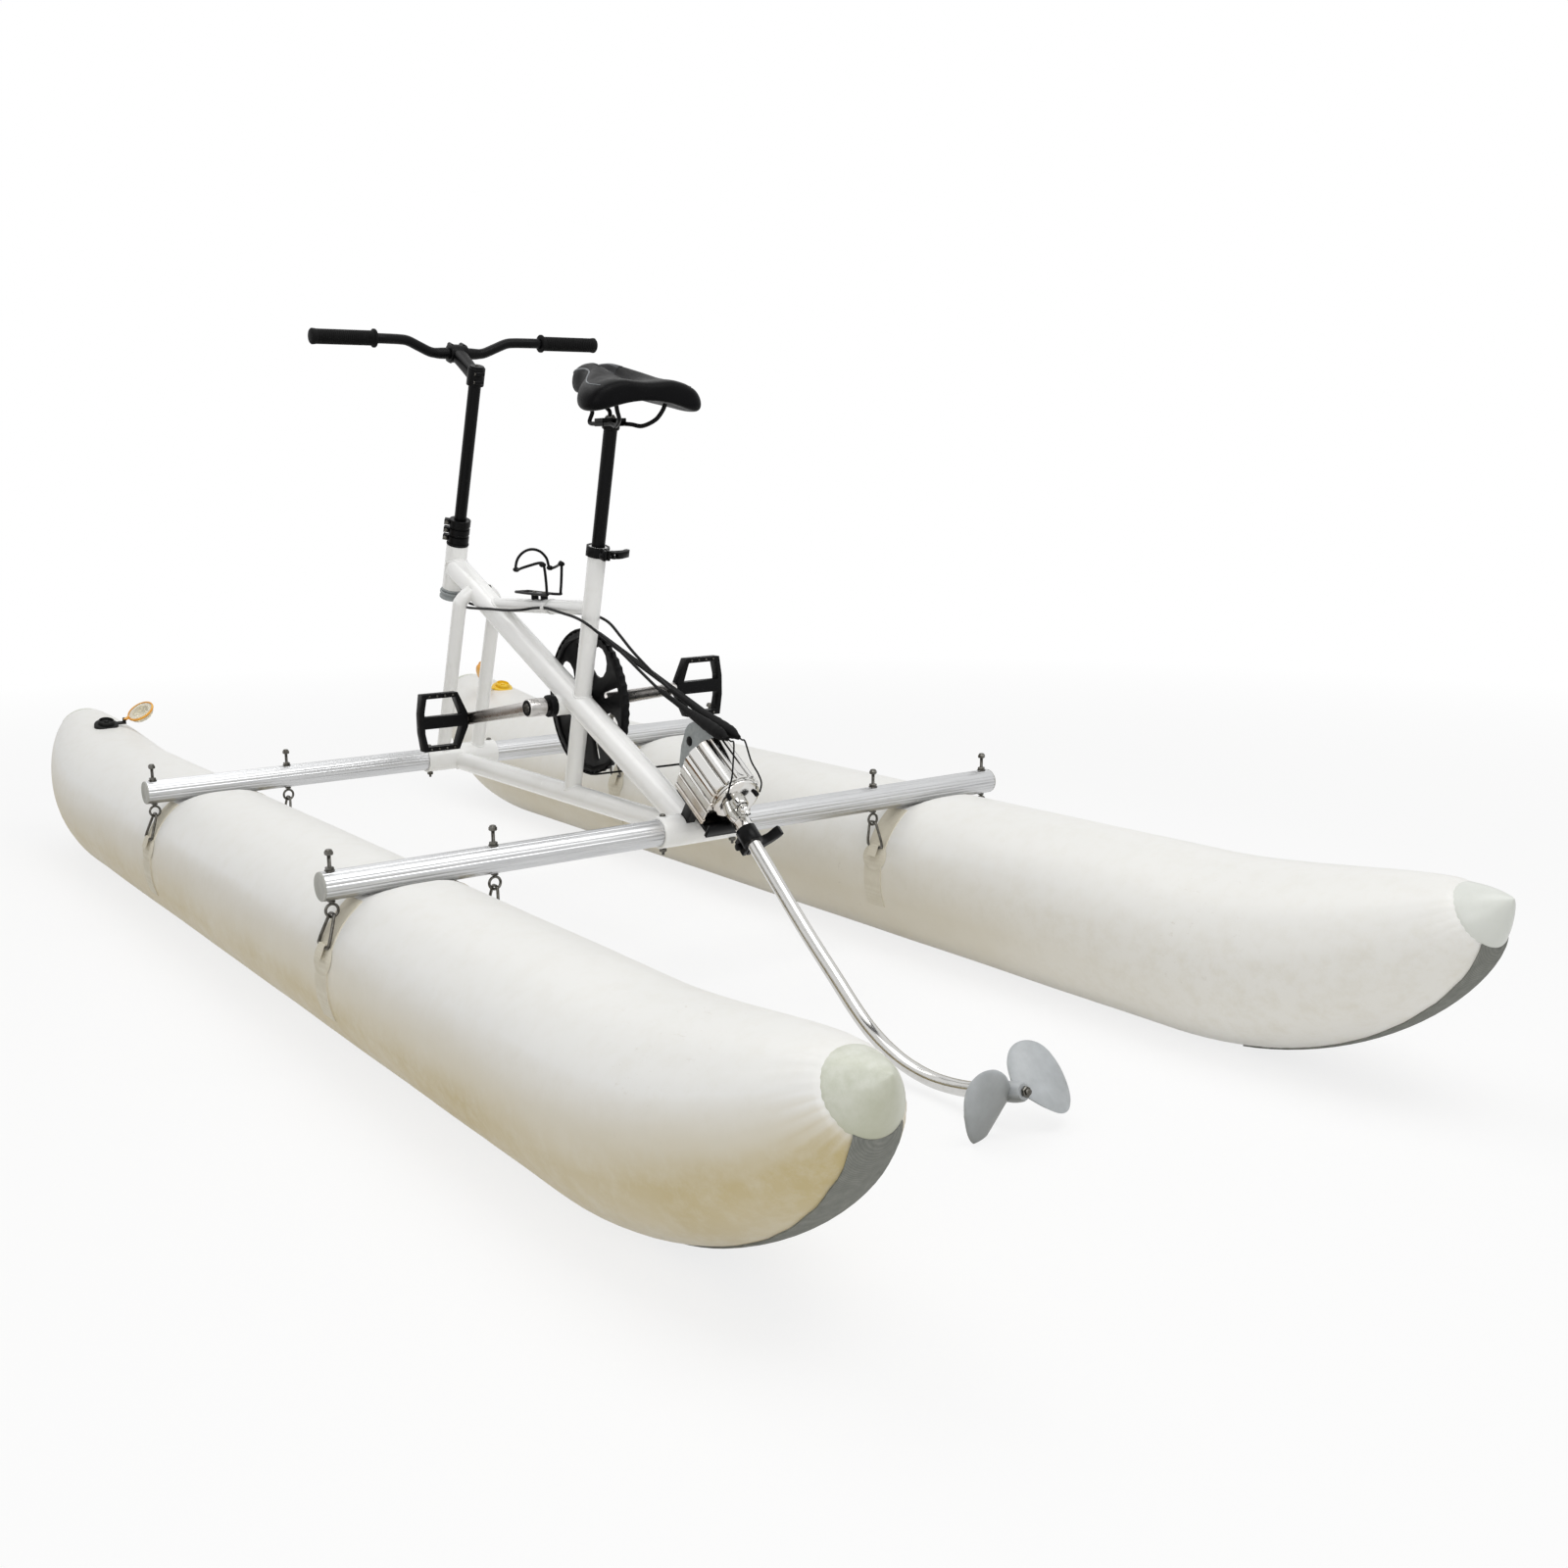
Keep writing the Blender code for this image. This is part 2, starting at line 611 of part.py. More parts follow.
def make_frame(root):
    sleeves = bmesh.new()
    for sign in SIDES:
        frame = axis_frame(Vector((sign * BAR_HALF_SPACING, 0.0, BAR_Z)), Y, X)
        disc(sleeves, frame, turned(SLEEVE_RADIUS, COPE_SIDES), -0.12, 0.12, COPE_SIDES, COPE_PHASE)
    sleeve_tool = cutter("sleeve_cope", sleeves, root)
    base = bmesh.new()
    end = BAR_HALF_SPACING - 0.012
    disc(base, axis_frame(Vector((0.0, 0.0, BASE_Z)), X, Z),
         turned(BASE_TUBE_RADIUS, COPE_SIDES), -end, end, COPE_SIDES, COPE_PHASE)
    base_tool = cutter("base_cope", base, root)
    head = bmesh.new()
    disc(head, STEER, turned(HEAD_RADIUS, COPE_SIDES), -0.15, 0.15, COPE_SIDES,
         COPE_PHASE)
    head_tool = cutter("head_cope", head, root)
    slope = (DOWN_TUBE_FRONT - DOWN_TUBE_REAR).normalized()
    down_front = DOWN_TUBE_FRONT + slope * 0.030
    down_rear = DOWN_TUBE_REAR - slope * 0.034
    down = bmesh.new()
    disc(down, axis_frame(down_rear, slope, Z), turned(DOWN_TUBE_RADIUS, COPE_SIDES), 0.0,
         (down_front - down_rear).length, COPE_SIDES, COPE_PHASE)
    down_tool = cutter("down_cope", down, root)
    shell = bmesh.new()
    disc(shell, axis_frame(BRACKET_POINT, Y, Z), turned(BRACKET_RADIUS, COPE_SIDES), -0.06,
         0.06, COPE_SIDES, COPE_PHASE)
    shell_tool = cutter("bracket_cope", shell, root)
    foot = seat_point(BASE_Z)
    top = seat_point(SEAT_TUBE_TOP)
    seat = bmesh.new()
    disc(seat, axis_frame(foot, SEAT_AXIS, X), turned(SEAT_TUBE_RADIUS, COPE_SIDES), 0.0,
         (top - foot).length, COPE_SIDES, COPE_PHASE)
    seat_tool = cutter("seat_cope", seat, root)
    under = bmesh.new()
    box(under, Matrix.Translation(Vector((0.0, 0.0, BASE_Z))), (-0.6, -0.06, -0.1),
        (-0.3, 0.06, 0.0))
    under_tool = cutter("under_trim", under, root)

    bm = bmesh.new()
    pipe(bm, [Vector((-end, 0.0, BASE_Z)), Vector((end, 0.0, BASE_Z))], BASE_TUBE_RADIUS,
         TUBE_WALL, TUBE_SIDES)
    cut(part("base_tube", bm, "frame_paint", root), sleeve_tool)

    for side in SIDES:
        bm = bmesh.new()
        rise = (LEG_TOP.z - BAR_Z) * math.tan(STEER_LEAN)
        path = [Vector((LEG_TOP.x + rise, side * LEG_OFFSET, BAR_Z)),
                Vector((LEG_TOP.x + 0.010, side * LEG_OFFSET, LEG_TOP.z - 0.029)),
                Vector((LEG_TOP.x, side * LEG_OFFSET * 0.93, LEG_TOP.z)),
                Vector((LEG_JOIN.x, side * LEG_OFFSET * 0.40, LEG_JOIN.z))]
        pipe(bm, path, LEG_RADIUS, TUBE_WALL, SMALL_TUBE_SIDES)
        leg = part(SIDE_NAMES[side] + "_front_leg", bm, "frame_paint", root)
        cut(leg, sleeve_tool)
        cut(leg, down_tool)

    bm = bmesh.new()
    collar(bm, STEER, HEAD_RADIUS - TUBE_WALL, HEAD_RADIUS, HEAD_LOW, HEAD_HIGH, TUBE_SIDES)
    part("head_tube", bm, "frame_paint", root)

    bm = bmesh.new()
    pipe(bm, [down_rear, down_front], DOWN_TUBE_RADIUS, TUBE_WALL, TUBE_SIDES)
    obj = part("down_tube", bm, "frame_paint", root)
    for tool in (head_tool, shell_tool, seat_tool, base_tool, sleeve_tool, under_tool):
        cut(obj, tool)

    bm = bmesh.new()
    pipe(bm, [foot, top], SEAT_TUBE_RADIUS,
         SEAT_TUBE_RADIUS - turned(SEAT_POST_RADIUS, TUBE_SIDES), TUBE_SIDES)
    obj = part("seat_tube", bm, "frame_paint", root)
    slot = bmesh.new()
    box(slot, axis_frame(top, SEAT_AXIS, X), (-0.05, -0.00125, -SEAT_SLOT_LENGTH),
        (0.0, 0.00125, 0.01))
    cut(obj, cutter("seat_slot", slot, root))
    cut(obj, base_tool)

    slope = (TOP_TUBE_REAR - TOP_TUBE_FRONT).normalized()
    bm = bmesh.new()
    pipe(bm, [TOP_TUBE_FRONT - slope * 0.045, TOP_TUBE_REAR + slope * 0.043], TOP_TUBE_RADIUS,
         TUBE_WALL, SMALL_TUBE_SIDES)
    obj = part("top_tube", bm, "frame_paint", root)
    cut(obj, down_tool)
    cut(obj, seat_tool)

    bm = bmesh.new()
    collar(bm, axis_frame(BRACKET_POINT, Y, Z), BRACKET_RADIUS - BRACKET_WALL, BRACKET_RADIUS,
           -BRACKET_HALF_WIDTH, BRACKET_HALF_WIDTH, TUBE_SIDES)
    part("bottom_bracket_shell", bm, "frame_paint", root)


TOP_TUBE_SLOPE = (TOP_TUBE_REAR - TOP_TUBE_FRONT).normalized()
CAGE_REAR = 0.020               # X of the upright end of the cage
CAGE_LENGTH = 0.140
CAGE_WIRE = 0.0024
CAGE_RADIUS = 0.038
CAGE_BASE_HALF = 0.016
CAGE_LIFT = 0.010


def make_bottle_cage(root):
    share = (TOP_TUBE_FRONT.x - CAGE_REAR) / (TOP_TUBE_FRONT.x - TOP_TUBE_REAR.x)
    foot = TOP_TUBE_FRONT.lerp(TOP_TUBE_REAR, share)
    frame = axis_frame(foot, Z, -TOP_TUBE_SLOPE)
    rail = TOP_TUBE_RADIUS + CAGE_LIFT
    middle = rail + CAGE_WIRE + CAGE_RADIUS + 0.004
    half = CAGE_BASE_HALF
    arm = CAGE_RADIUS + CAGE_WIRE
    front = CAGE_LENGTH * 0.62
    right = [(CAGE_LENGTH, -half * 0.5, rail), (CAGE_LENGTH - 0.008, -half, rail),
             (0.010, -half, rail), (0.0, -half * 1.05, rail + 0.008),
             (0.0, -half * 1.3, middle + 0.012), (0.010, -half * 1.5, middle + 0.022),
             (front * 0.6, -arm, middle + 0.012), (front, -arm, middle + 0.006)]
    hoop = [(front + 0.004, -arm * math.cos(a), middle + 0.006 + arm * math.sin(a))
            for a in (math.radians(30.0 * k) for k in range(1, 6))]
    left = [(x, -y, z) for x, y, z in right[::-1]]
    bm = bmesh.new()
    rod(bm, [frame @ Vector(p) for p in right + hoop + left], CAGE_WIRE, 5, loop=True)
    cage = part("bottle_cage", bm, "black_metal", root)
    plate = bmesh.new()
    box(plate, frame, (0.030, -half, rail - 0.0015), (0.095, half, rail + 0.0015))
    fuse(cage, cutter("cage_plate", plate, root))
    spacers = bmesh.new()
    for x in (0.042, 0.083):
        disc(spacers, frame @ Matrix.Translation(Vector((x, 0.0, 0.0))), 0.008,
             TOP_TUBE_RADIUS - 0.006, rail, 10)
    fuse(cage, cutter("cage_spacers", spacers, root))
    tube = bmesh.new()
    disc(tube, axis_frame(foot, TOP_TUBE_SLOPE, Z), turned(TOP_TUBE_RADIUS, COPE_SIDES), -0.2,
         0.1, COPE_SIDES, COPE_PHASE)
    cut(cage, cutter("cage_seat", tube, root))


def make_headset(root):
    bm = bmesh.new()
    bore = turned(POST_RADIUS, FITTING_SIDES)
    skirt = plug(HEAD_RADIUS - TUBE_WALL, TUBE_SIDES)
    outer = HEAD_RADIUS + 0.001
    lathe(bm, STEER, ((bore, HEAD_HIGH - 0.010), (skirt, HEAD_HIGH - 0.010),
                      (skirt, HEAD_HIGH + GAP), (outer, HEAD_HIGH + GAP),
                      (outer - 0.004, HEAD_HIGH + CUP_HEIGHT), (bore, HEAD_HIGH + CUP_HEIGHT)),
          FITTING_SIDES, closed=True)
    part("upper_headset_cup", bm, "cast_grey", root)
    bm = bmesh.new()
    lathe(bm, STEER, ((bore, HEAD_LOW + 0.010), (skirt, HEAD_LOW + 0.010),
                      (skirt, HEAD_LOW - GAP), (outer, HEAD_LOW - GAP),
                      (outer - 0.002, HEAD_LOW - CUP_HEIGHT), (bore, HEAD_LOW - CUP_HEIGHT)),
          FITTING_SIDES, closed=True)
    part("lower_headset_cup", bm, "cast_grey", root)


def make_steering(root):
    joint = joint_frame("steering_axis", STEER, root)
    bm = bmesh.new()
    drum_top = HEAD_LOW - CUP_HEIGHT - 2.0 * GAP
    drum_low = drum_top - DRUM_HEIGHT
    collar(bm, STEER, POST_RADIUS - POST_WALL, POST_RADIUS, drum_low - 0.003, POST_TOP,
           FITTING_SIDES)
    part("handlebar_post", bm, "black_metal", joint)
    bm = bmesh.new()
    bore = turned(POST_RADIUS, FITTING_SIDES)
    lathe(bm, STEER, ((bore, drum_low), (DRUM_RADIUS, drum_low),
                      (DRUM_RADIUS, drum_low + 0.006), (DRUM_RADIUS - 0.003, drum_low + 0.009),
                      (DRUM_RADIUS, drum_top - 0.006), (DRUM_RADIUS, drum_top),
                      (bore, drum_top)), FITTING_SIDES, closed=True)
    part("steering_drum", bm, "cast_grey", joint)

    low = HEAD_HIGH + CUP_HEIGHT + GAP
    high = low + CLAMP_HEIGHT
    bm = bmesh.new()
    profile = [(bore, low), (CLAMP_RADIUS, low)]
    for k in range(1, CLAMP_GROOVES + 1):
        z = low + CLAMP_HEIGHT * k / (CLAMP_GROOVES + 1.0)
        profile += [(CLAMP_RADIUS, z - 0.003), (CLAMP_RADIUS - 0.003, z),
                    (CLAMP_RADIUS, z + 0.003)]
    profile += [(CLAMP_RADIUS, high), (bore, high)]
    lathe(bm, STEER, profile, FITTING_SIDES, closed=True)
    slit = bmesh.new()
    box(slit, STEER, (-0.04, -0.001, low - 0.01), (0.0, 0.001, high + 0.01))
    cut(part("post_clamp", bm, "black_metal", joint), cutter("clamp_slit", slit, root))

    clamp = STEER.inverted() @ BAR_CLAMP
    bm = bmesh.new()
    post_clamp_radius = POST_RADIUS + 0.0055
    disc(bm, STEER, post_clamp_radius, POST_TOP - 0.034, POST_TOP + 0.006, FITTING_SIDES)
    obj = part("stem", bm, "black_metal", joint)
    arm = bmesh.new()
    rings = []
    for share, tall, wide in ((0.0, 0.032, 0.032), (0.35, 0.028, 0.029), (0.75, 0.028, 0.034),
                              (1.0, 0.030, STEM_WIDTH * 0.9)):
        start = Vector((0.004, 0.0, POST_TOP - 0.014))
        stop = Vector((clamp.x - 0.006, 0.0, clamp.z))
        centre = start.lerp(stop, share)
        ring = []
        for k in range(10):
            a = 2.0 * math.pi * (k + 0.5) / 10
            ring.append(STEER @ (centre + Y * (wide / 2.0 * math.cos(a))
                                 + Z * (tall / 2.0 * math.sin(a))))
        rings.append(ring)
    skin(arm, rings)
    fuse(obj, cutter("stem_arm", arm, root))
    knuckle = bmesh.new()
    disc(knuckle, axis_frame(BAR_CLAMP, Y, X), STEM_CLAMP_RADIUS, -STEM_WIDTH / 2.0,
         STEM_WIDTH / 2.0, FITTING_SIDES)
    fuse(obj, cutter("stem_knuckle", knuckle, root))
    bores = bmesh.new()
    disc(bores, STEER, bore, POST_TOP - 0.1, POST_TOP + GAP, FITTING_SIDES)
    cut(obj, cutter("stem_post_bore", bores, root))
    bores = bmesh.new()
    disc(bores, axis_frame(BAR_CLAMP, Y, X), turned(HANDLEBAR_RADIUS, 12), -0.1, 0.1, 12)
    cut(obj, cutter("stem_bar_bore", bores, root))

    half = []
    for y, rise, sweep in ((0.0, 0.0, 0.0), (0.050, 0.0, 0.0), (0.068, 0.10, 0.05),
                           (0.120, 0.90, 0.35), (0.140, 1.0, 0.50), (0.178, 1.0, 0.95),
                           (0.200, 1.0, 1.0), (GRIP_END - 0.004, 1.0, 1.0)):
        half.append(BAR_CLAMP + Vector((-sweep * HANDLEBAR_SWEEP, y, rise * HANDLEBAR_RISE)))
    other = [BAR_CLAMP + Vector((p.x - BAR_CLAMP.x, -p.y, p.z - BAR_CLAMP.z)) for p in half[:0:-1]]
    bm = bmesh.new()
    rod(bm, other + half, HANDLEBAR_RADIUS, 12, side=X)
    part("handlebar", bm, "black_metal", joint)

    grip_bore = turned(HANDLEBAR_RADIUS, 12)
    middle = BAR_CLAMP + Vector((-HANDLEBAR_SWEEP, 0.0, HANDLEBAR_RISE))
    for side in SIDES:
        frame = axis_frame(middle, Y * side, X)
        bm = bmesh.new()
        lathe(bm, frame, ((grip_bore, GRIP_START), (GRIP_RADIUS + 0.004, GRIP_START),
                          (GRIP_RADIUS + 0.004, GRIP_START + 0.005), (GRIP_RADIUS, GRIP_START + 0.0075),
                          (GRIP_RADIUS + 0.001, GRIP_END - 0.004), (GRIP_RADIUS - 0.003, GRIP_END),
                          (0.0, GRIP_END), (0.0, GRIP_END - 0.004 + GAP),
                          (grip_bore, GRIP_END - 0.004 + GAP)), 12, closed=True)
        part(SIDE_NAMES[side] + "_grip", bm, "grip_rubber", joint)


def hub_relief(bm, frame, bore, slot_radius, slot_half, reach):
    """Cutter for a lever's hub: a bore for the pin and a slot for what carries the pin."""
    lathe(bm, frame, ((bore, -reach), (bore, -slot_half), (slot_radius, -slot_half),
                      (slot_radius, slot_half), (bore, slot_half), (bore, reach)), PIN_SIDES)


def lever_outline(hub, points):
    """Outline of a lever: a round hub, then a blade through (x, y, half width) stations."""
    first = Vector((points[0][0], points[0][1]))
    lean = math.atan2(first.y, first.x)
    outline = [(hub * math.cos(lean + a), hub * math.sin(lean + a))
               for a in (math.radians(50.0 + 260.0 * k / 6) for k in range(7))]
    lower = []
    upper = []
    for i, (x, y, half) in enumerate(points):
        nx, ny, _ = points[min(i + 1, len(points) - 1)]
        px, py, _ = points[max(i - 1, 0)]
        along = Vector((nx - px, ny - py)).normalized()
        lower.append((x + along.y * half, y - along.x * half))
        upper.append((x - along.y * half, y + along.x * half))
    return outline + lower + upper[::-1]


def make_seat_clamp(root):
    top = seat_point(SEAT_TUBE_TOP)
    frame = axis_frame(top, SEAT_AXIS, X)
    inner = turned(SEAT_TUBE_RADIUS, 14)
    outer = inner + SEAT_CLAMP_WALL
    gap = 0.0015
    ear = gap + 0.006
    ear_end = -outer - 0.014
    low = -SEAT_CLAMP_HEIGHT + 0.001
    high = 0.001
    outline = []
    start = math.pi - math.asin(ear / outer)
    for k in range(12):
        a = -start + 2.0 * start * k / 11
        outline.append((outer * math.cos(a), outer * math.sin(a)))
    outline += [(ear_end, ear), (ear_end, gap)]
    start = math.pi - math.asin(gap / inner)
    for k in range(14):
        a = start - 2.0 * start * k / 13
        outline.append((inner * math.cos(a), inner * math.sin(a)))
    outline += [(ear_end, -gap), (ear_end, -ear)]
    bm = bmesh.new()
    prism(bm, frame, outline, low, high)
    bolt_x = -outer - 0.007
    bolt_z = (low + high) / 2.0
    across = frame @ axis_frame(Vector((bolt_x, 0.0, bolt_z)), -Y, X)
    pin_y = -ear - 0.010
    obj = part("seat_clamp", bm, "black_metal", root)
    bolt = bmesh.new()
    lathe(bolt, across, ((0.006, -ear - 0.006), (0.006, -ear + 0.001), (0.0025, -ear + 0.001),
                         (0.0025, -pin_y)), PIN_SIDES)
    pin_frame = frame @ Matrix.Translation(Vector((bolt_x, pin_y, bolt_z)))
    shaft = cutter("seat_bolt", bolt, root)
    pin = bmesh.new()
    disc(pin, pin_frame, 0.0028, -0.0075, 0.0075, PIN_SIDES)
    fuse(obj, shaft)
    fuse(obj, cutter("seat_bolt_pin", pin, root))

    joint = joint_frame("seat_lever_axis", pin_frame, root)
    bm = bmesh.new()
    outline = lever_outline(0.0078, ((-0.001, -0.0090, 0.0070), (0.000, -0.018, 0.0060),
                                     (0.003, -0.028, 0.0050), (0.008, -0.037, 0.0055),
                                     (0.011, -0.041, 0.0035)))
    prism(bm, pin_frame, outline, -0.007, 0.007)
    relief = bmesh.new()
    hub_relief(relief, pin_frame, turned(0.0028, PIN_SIDES), 0.0105, 0.0032, 0.02)
    cut(part("seat_clamp_lever", bm, "black_metal", joint), cutter("seat_lever_hub", relief, root))


def make_seat(root):
    top = seat_point(SEAT_TUBE_TOP)
    frame = axis_frame(top, SEAT_AXIS, X)
    joint = joint_frame("seat_axis", frame, root)
    head = seat_point(SEAT_POST_TOP)
    length = (head - top).length
    bm = bmesh.new()
    collar(bm, frame, SEAT_POST_RADIUS - 0.0025, SEAT_POST_RADIUS, -SEAT_POST_DEPTH, length,
           TUBE_SIDES)
    part("seat_post", bm, "black_metal", joint)

    base = head.z + 0.002
    bm = bmesh.new()
    post = axis_frame(head, SEAT_AXIS, X)
    lathe(bm, post, ((SEAT_POST_RADIUS + 0.003, GAP), (SEAT_POST_RADIUS + 0.004, 0.016),
                     (0.011, 0.024)), 12)
    obj = part("saddle_rails", bm, "black_metal", joint)
    cradle = bmesh.new()
    box(cradle, Matrix.Translation(head), (-0.016, -0.027, 0.006), (0.016, 0.027, 0.021))
    fuse(obj, cutter("rail_cradle", cradle, root))
    rails = bmesh.new()
    for side in SIDES:
        path = [Vector((SADDLE_NOSE - 0.060, side * 0.018, head.z + 0.046)),
                Vector((SADDLE_NOSE - 0.075, side * 0.020, head.z + 0.034)),
                Vector((head.x + 0.040, side * 0.0225, base + 0.012)),
                Vector((head.x - 0.040, side * 0.0225, base + 0.006)),
                Vector((SADDLE_BACK + 0.080, side * 0.030, base + 0.002)),
                Vector((SADDLE_BACK + 0.050, side * 0.040, base + 0.012)),
                Vector((SADDLE_BACK + 0.040, side * 0.050, head.z + RAIL_TOP))]
        rod(rails, path, 0.0040, 5, side=Y)
    fuse(obj, cutter("rail_rods", rails, root))

    # share of the length, half width, top, underside, lift of the underside's middle
    stations = (
        (0.000, 0.014, 0.092, 0.078, 0.000), (0.040, 0.028, 0.107, 0.064, 0.000),
        (0.130, 0.037, 0.117, 0.052, 0.008), (0.300, 0.045, 0.120, 0.040, 0.020),
        (0.440, 0.062, 0.117, 0.032, 0.030), (0.570, 0.090, 0.111, 0.026, 0.034),
        (0.690, 0.114, 0.105, 0.023, 0.036), (0.800, 0.125, 0.100, 0.022, 0.036),
        (0.900, 0.126, 0.097, 0.023, 0.034), (0.965, 0.118, 0.094, 0.030, 0.026),
        (1.000, 0.100, 0.086, 0.046, 0.012),
    )
    bm = bmesh.new()
    rings = []
    for share, half, crown, floor, arch in stations:
        x = SADDLE_NOSE + (SADDLE_BACK - SADDLE_NOSE) * share
        channel = SADDLE_CHANNEL * max(0.0, 1.0 - abs(share - 0.62) / 0.38)
        upper = []
        lower = []
        for k in range(11):
            u = math.sin(math.pi / 2.0 * (k - 5) / 5.0)
            top_z = crown - channel * math.exp(-(u * half / 0.012) ** 2)
            low_z = floor + arch * (1.0 - u * u)
            middle = low_z + (top_z - low_z) * 0.45
            shape = max(0.0, 1.0 - abs(u) ** 4.0) ** 0.5
            upper.append(Vector((x, u * half, head.z + middle + (top_z - middle) * shape)))
            lower.append(Vector((x, u * half, head.z + middle - (middle - low_z) * shape)))
        rings.append(upper + lower[-2:0:-1])
    skin(bm, rings)
    part("saddle", bm, "saddle_cover", joint)


def make_cranks(root):
    axle_frame = axis_frame(BRACKET_POINT, Y, Z)
    bore = turned(AXLE_RADIUS, FITTING_SIDES)
    skirt = plug(BRACKET_RADIUS - BRACKET_WALL, TUBE_SIDES)
    flange = BRACKET_HALF_WIDTH + GAP
    for side, stop in ((1, LEFT_CUP_END), (-1, RIGHT_CUP_END)):
        frame = axis_frame(BRACKET_POINT, Y * side, Z)
        bm = bmesh.new()
        lathe(bm, frame, ((bore, 0.018), (skirt, 0.018), (skirt, flange), (CUP_RADIUS, flange),
                          (CUP_RADIUS, stop), (bore, stop)), FITTING_SIDES, closed=True)
        part(SIDE_NAMES[side] + "_bracket_cup", bm, "black_metal", root)

    joint = joint_frame("crank_axis", axle_frame, root)
    nose = AXLE_RADIUS - 0.0015
    cap = CRANK_BOSS_END + GAP
    bm = bmesh.new()
    start = CRANK_BOSS_START - 0.0035
    lathe(bm, axle_frame, ((0.0105, -cap - 0.002), (0.0115, -cap), (nose, -cap), (nose, -start),
                           (AXLE_RADIUS, -start), (AXLE_RADIUS, start), (nose, start),
                           (nose, cap), (0.0115, cap), (0.0105, cap + 0.002)), AXLE_SIDES)
    part("crank_axle", bm, "steel", joint)

    for side in SIDES:
        name = SIDE_NAMES[side]
        along = Vector((side * math.cos(CRANK_DROP), 0.0, -side * math.sin(CRANK_DROP)))
        tip = BRACKET_POINT + along * CRANK_LENGTH
        frame = axis_frame(BRACKET_POINT, Y * side, along)
        upright = frame.to_3x3() @ Vector((0.0, 1.0, 0.0))
        bm = bmesh.new()
        disc(bm, frame, CRANK_BOSS_RADIUS, CRANK_BOSS_START, CRANK_BOSS_END, FITTING_SIDES)
        obj = part(name + "_crank", bm, "crank_metal", joint)
        arm = bmesh.new()
        rings = []
        for share, low, high, half in ((0.0, 0.082, 0.0985, 0.0165), (0.14, 0.086, 0.1005, 0.0150),
                                       (0.5, 0.112, 0.126, 0.0135),
                                       (0.92, CRANK_TIP_START, CRANK_TIP_END, 0.0125),
                                       (1.0, CRANK_TIP_START, CRANK_TIP_END, 0.0115)):
            centre = BRACKET_POINT + along * (CRANK_LENGTH * share)
            edge = half * 0.45
            mid = (low + high) / 2.0
            thick = (high - low) / 2.0
            ring = []
            for u, v in ((edge, -thick), (half, -thick * 0.4), (half, thick * 0.4), (edge, thick),
                         (-edge, thick), (-half, thick * 0.4), (-half, -thick * 0.4),
                         (-edge, -thick)):
                ring.append(centre + upright * u + Y * (side * (mid + v)))
            rings.append(ring)
        skin(arm, rings)
        fuse(obj, cutter(name + "_crank_arm", arm, root))
        eye = bmesh.new()
        tip_frame = axis_frame(tip, Y * side, along)
        disc(eye, tip_frame, 0.0132, CRANK_TIP_START + 0.0004, CRANK_TIP_END - 0.0004,
             AXLE_SIDES)
        fuse(obj, cutter(name + "_crank_eye", eye, root))
        bores = bmesh.new()
        disc(bores, frame, turned(nose, AXLE_SIDES), 0.0, 0.2, AXLE_SIDES)
        cut(obj, cutter(name + "_crank_bore", bores, root))
        spindle = bmesh.new()
        lathe(spindle, tip_frame, ((0.0078, CRANK_TIP_END - 0.003), (0.0078, PEDAL_START - GAP),
                                   (SPINDLE_RADIUS, PEDAL_START - GAP),
                                   (SPINDLE_RADIUS, PEDAL_END - 0.010)), PIN_SIDES)
        fuse(obj, cutter(name + "_spindle", spindle, root))
        make_pedal(name, side, tip, joint)
    return joint


def make_pedal(name, side, tip, crank_joint):
    frame = axis_frame(tip, Y, X)
    root = crank_joint.parent
    joint = joint_frame(name + "_pedal_axis", frame, root)
    half = PEDAL_HEIGHT / 2.0
    wide = PEDAL_END - PEDAL_START
    rim = 0.010
    flat = axis_frame(tip + Y * (side * PEDAL_START), X, Y * side)
    outer = ((0.0, 0.014), (0.0, -0.014), (0.022, -half), (wide - 0.006, -half),
             (wide, -0.020), (wide, 0.020), (wide - 0.006, half), (0.022, half))
    bm = bmesh.new()
    prism(bm, flat, outer, -PEDAL_DEPTH / 2.0, PEDAL_DEPTH / 2.0)
    obj = part(name + "_pedal", bm, "pedal", joint)
    holes = bmesh.new()
    for s in SIDES:
        window = ((0.014, s * 0.0125), (wide - rim, s * 0.0125), (wide - rim, s * 0.022),
                  (wide - rim - 0.006, s * (half - rim)), (0.028, s * (half - rim)))
        prism(holes, flat, window[::s], -0.03, 0.03)
    cut(obj, cutter(name + "_pedal_windows", holes, root))
    barrel = bmesh.new()
    disc(barrel, axis_frame(tip, Y * side, X), turned(SPINDLE_RADIUS, PIN_SIDES),
         PEDAL_START - 0.02, PEDAL_END - 0.010 + GAP, PIN_SIDES)
    cut(obj, cutter(name + "_pedal_bore", barrel, root))


def toothed(teeth):
    """Outline of a toothed rim; the pitch line is one tooth depth outside the roots."""
    pitch_radius = teeth * TOOTH_PITCH / (2.0 * math.pi)
    outline = []
    for k in range(teeth):
        for share, depth in ((0.0, TOOTH_DEPTH), (0.5, 0.0)):
            a = 2.0 * math.pi * (k + share) / teeth
            r = pitch_radius - depth
            outline.append((r * math.cos(a), r * math.sin(a)))
    return outline


BIG_RADIUS = BIG_TEETH * TOOTH_PITCH / (2.0 * math.pi)
SMALL_RADIUS = SMALL_TEETH * TOOTH_PITCH / (2.0 * math.pi)


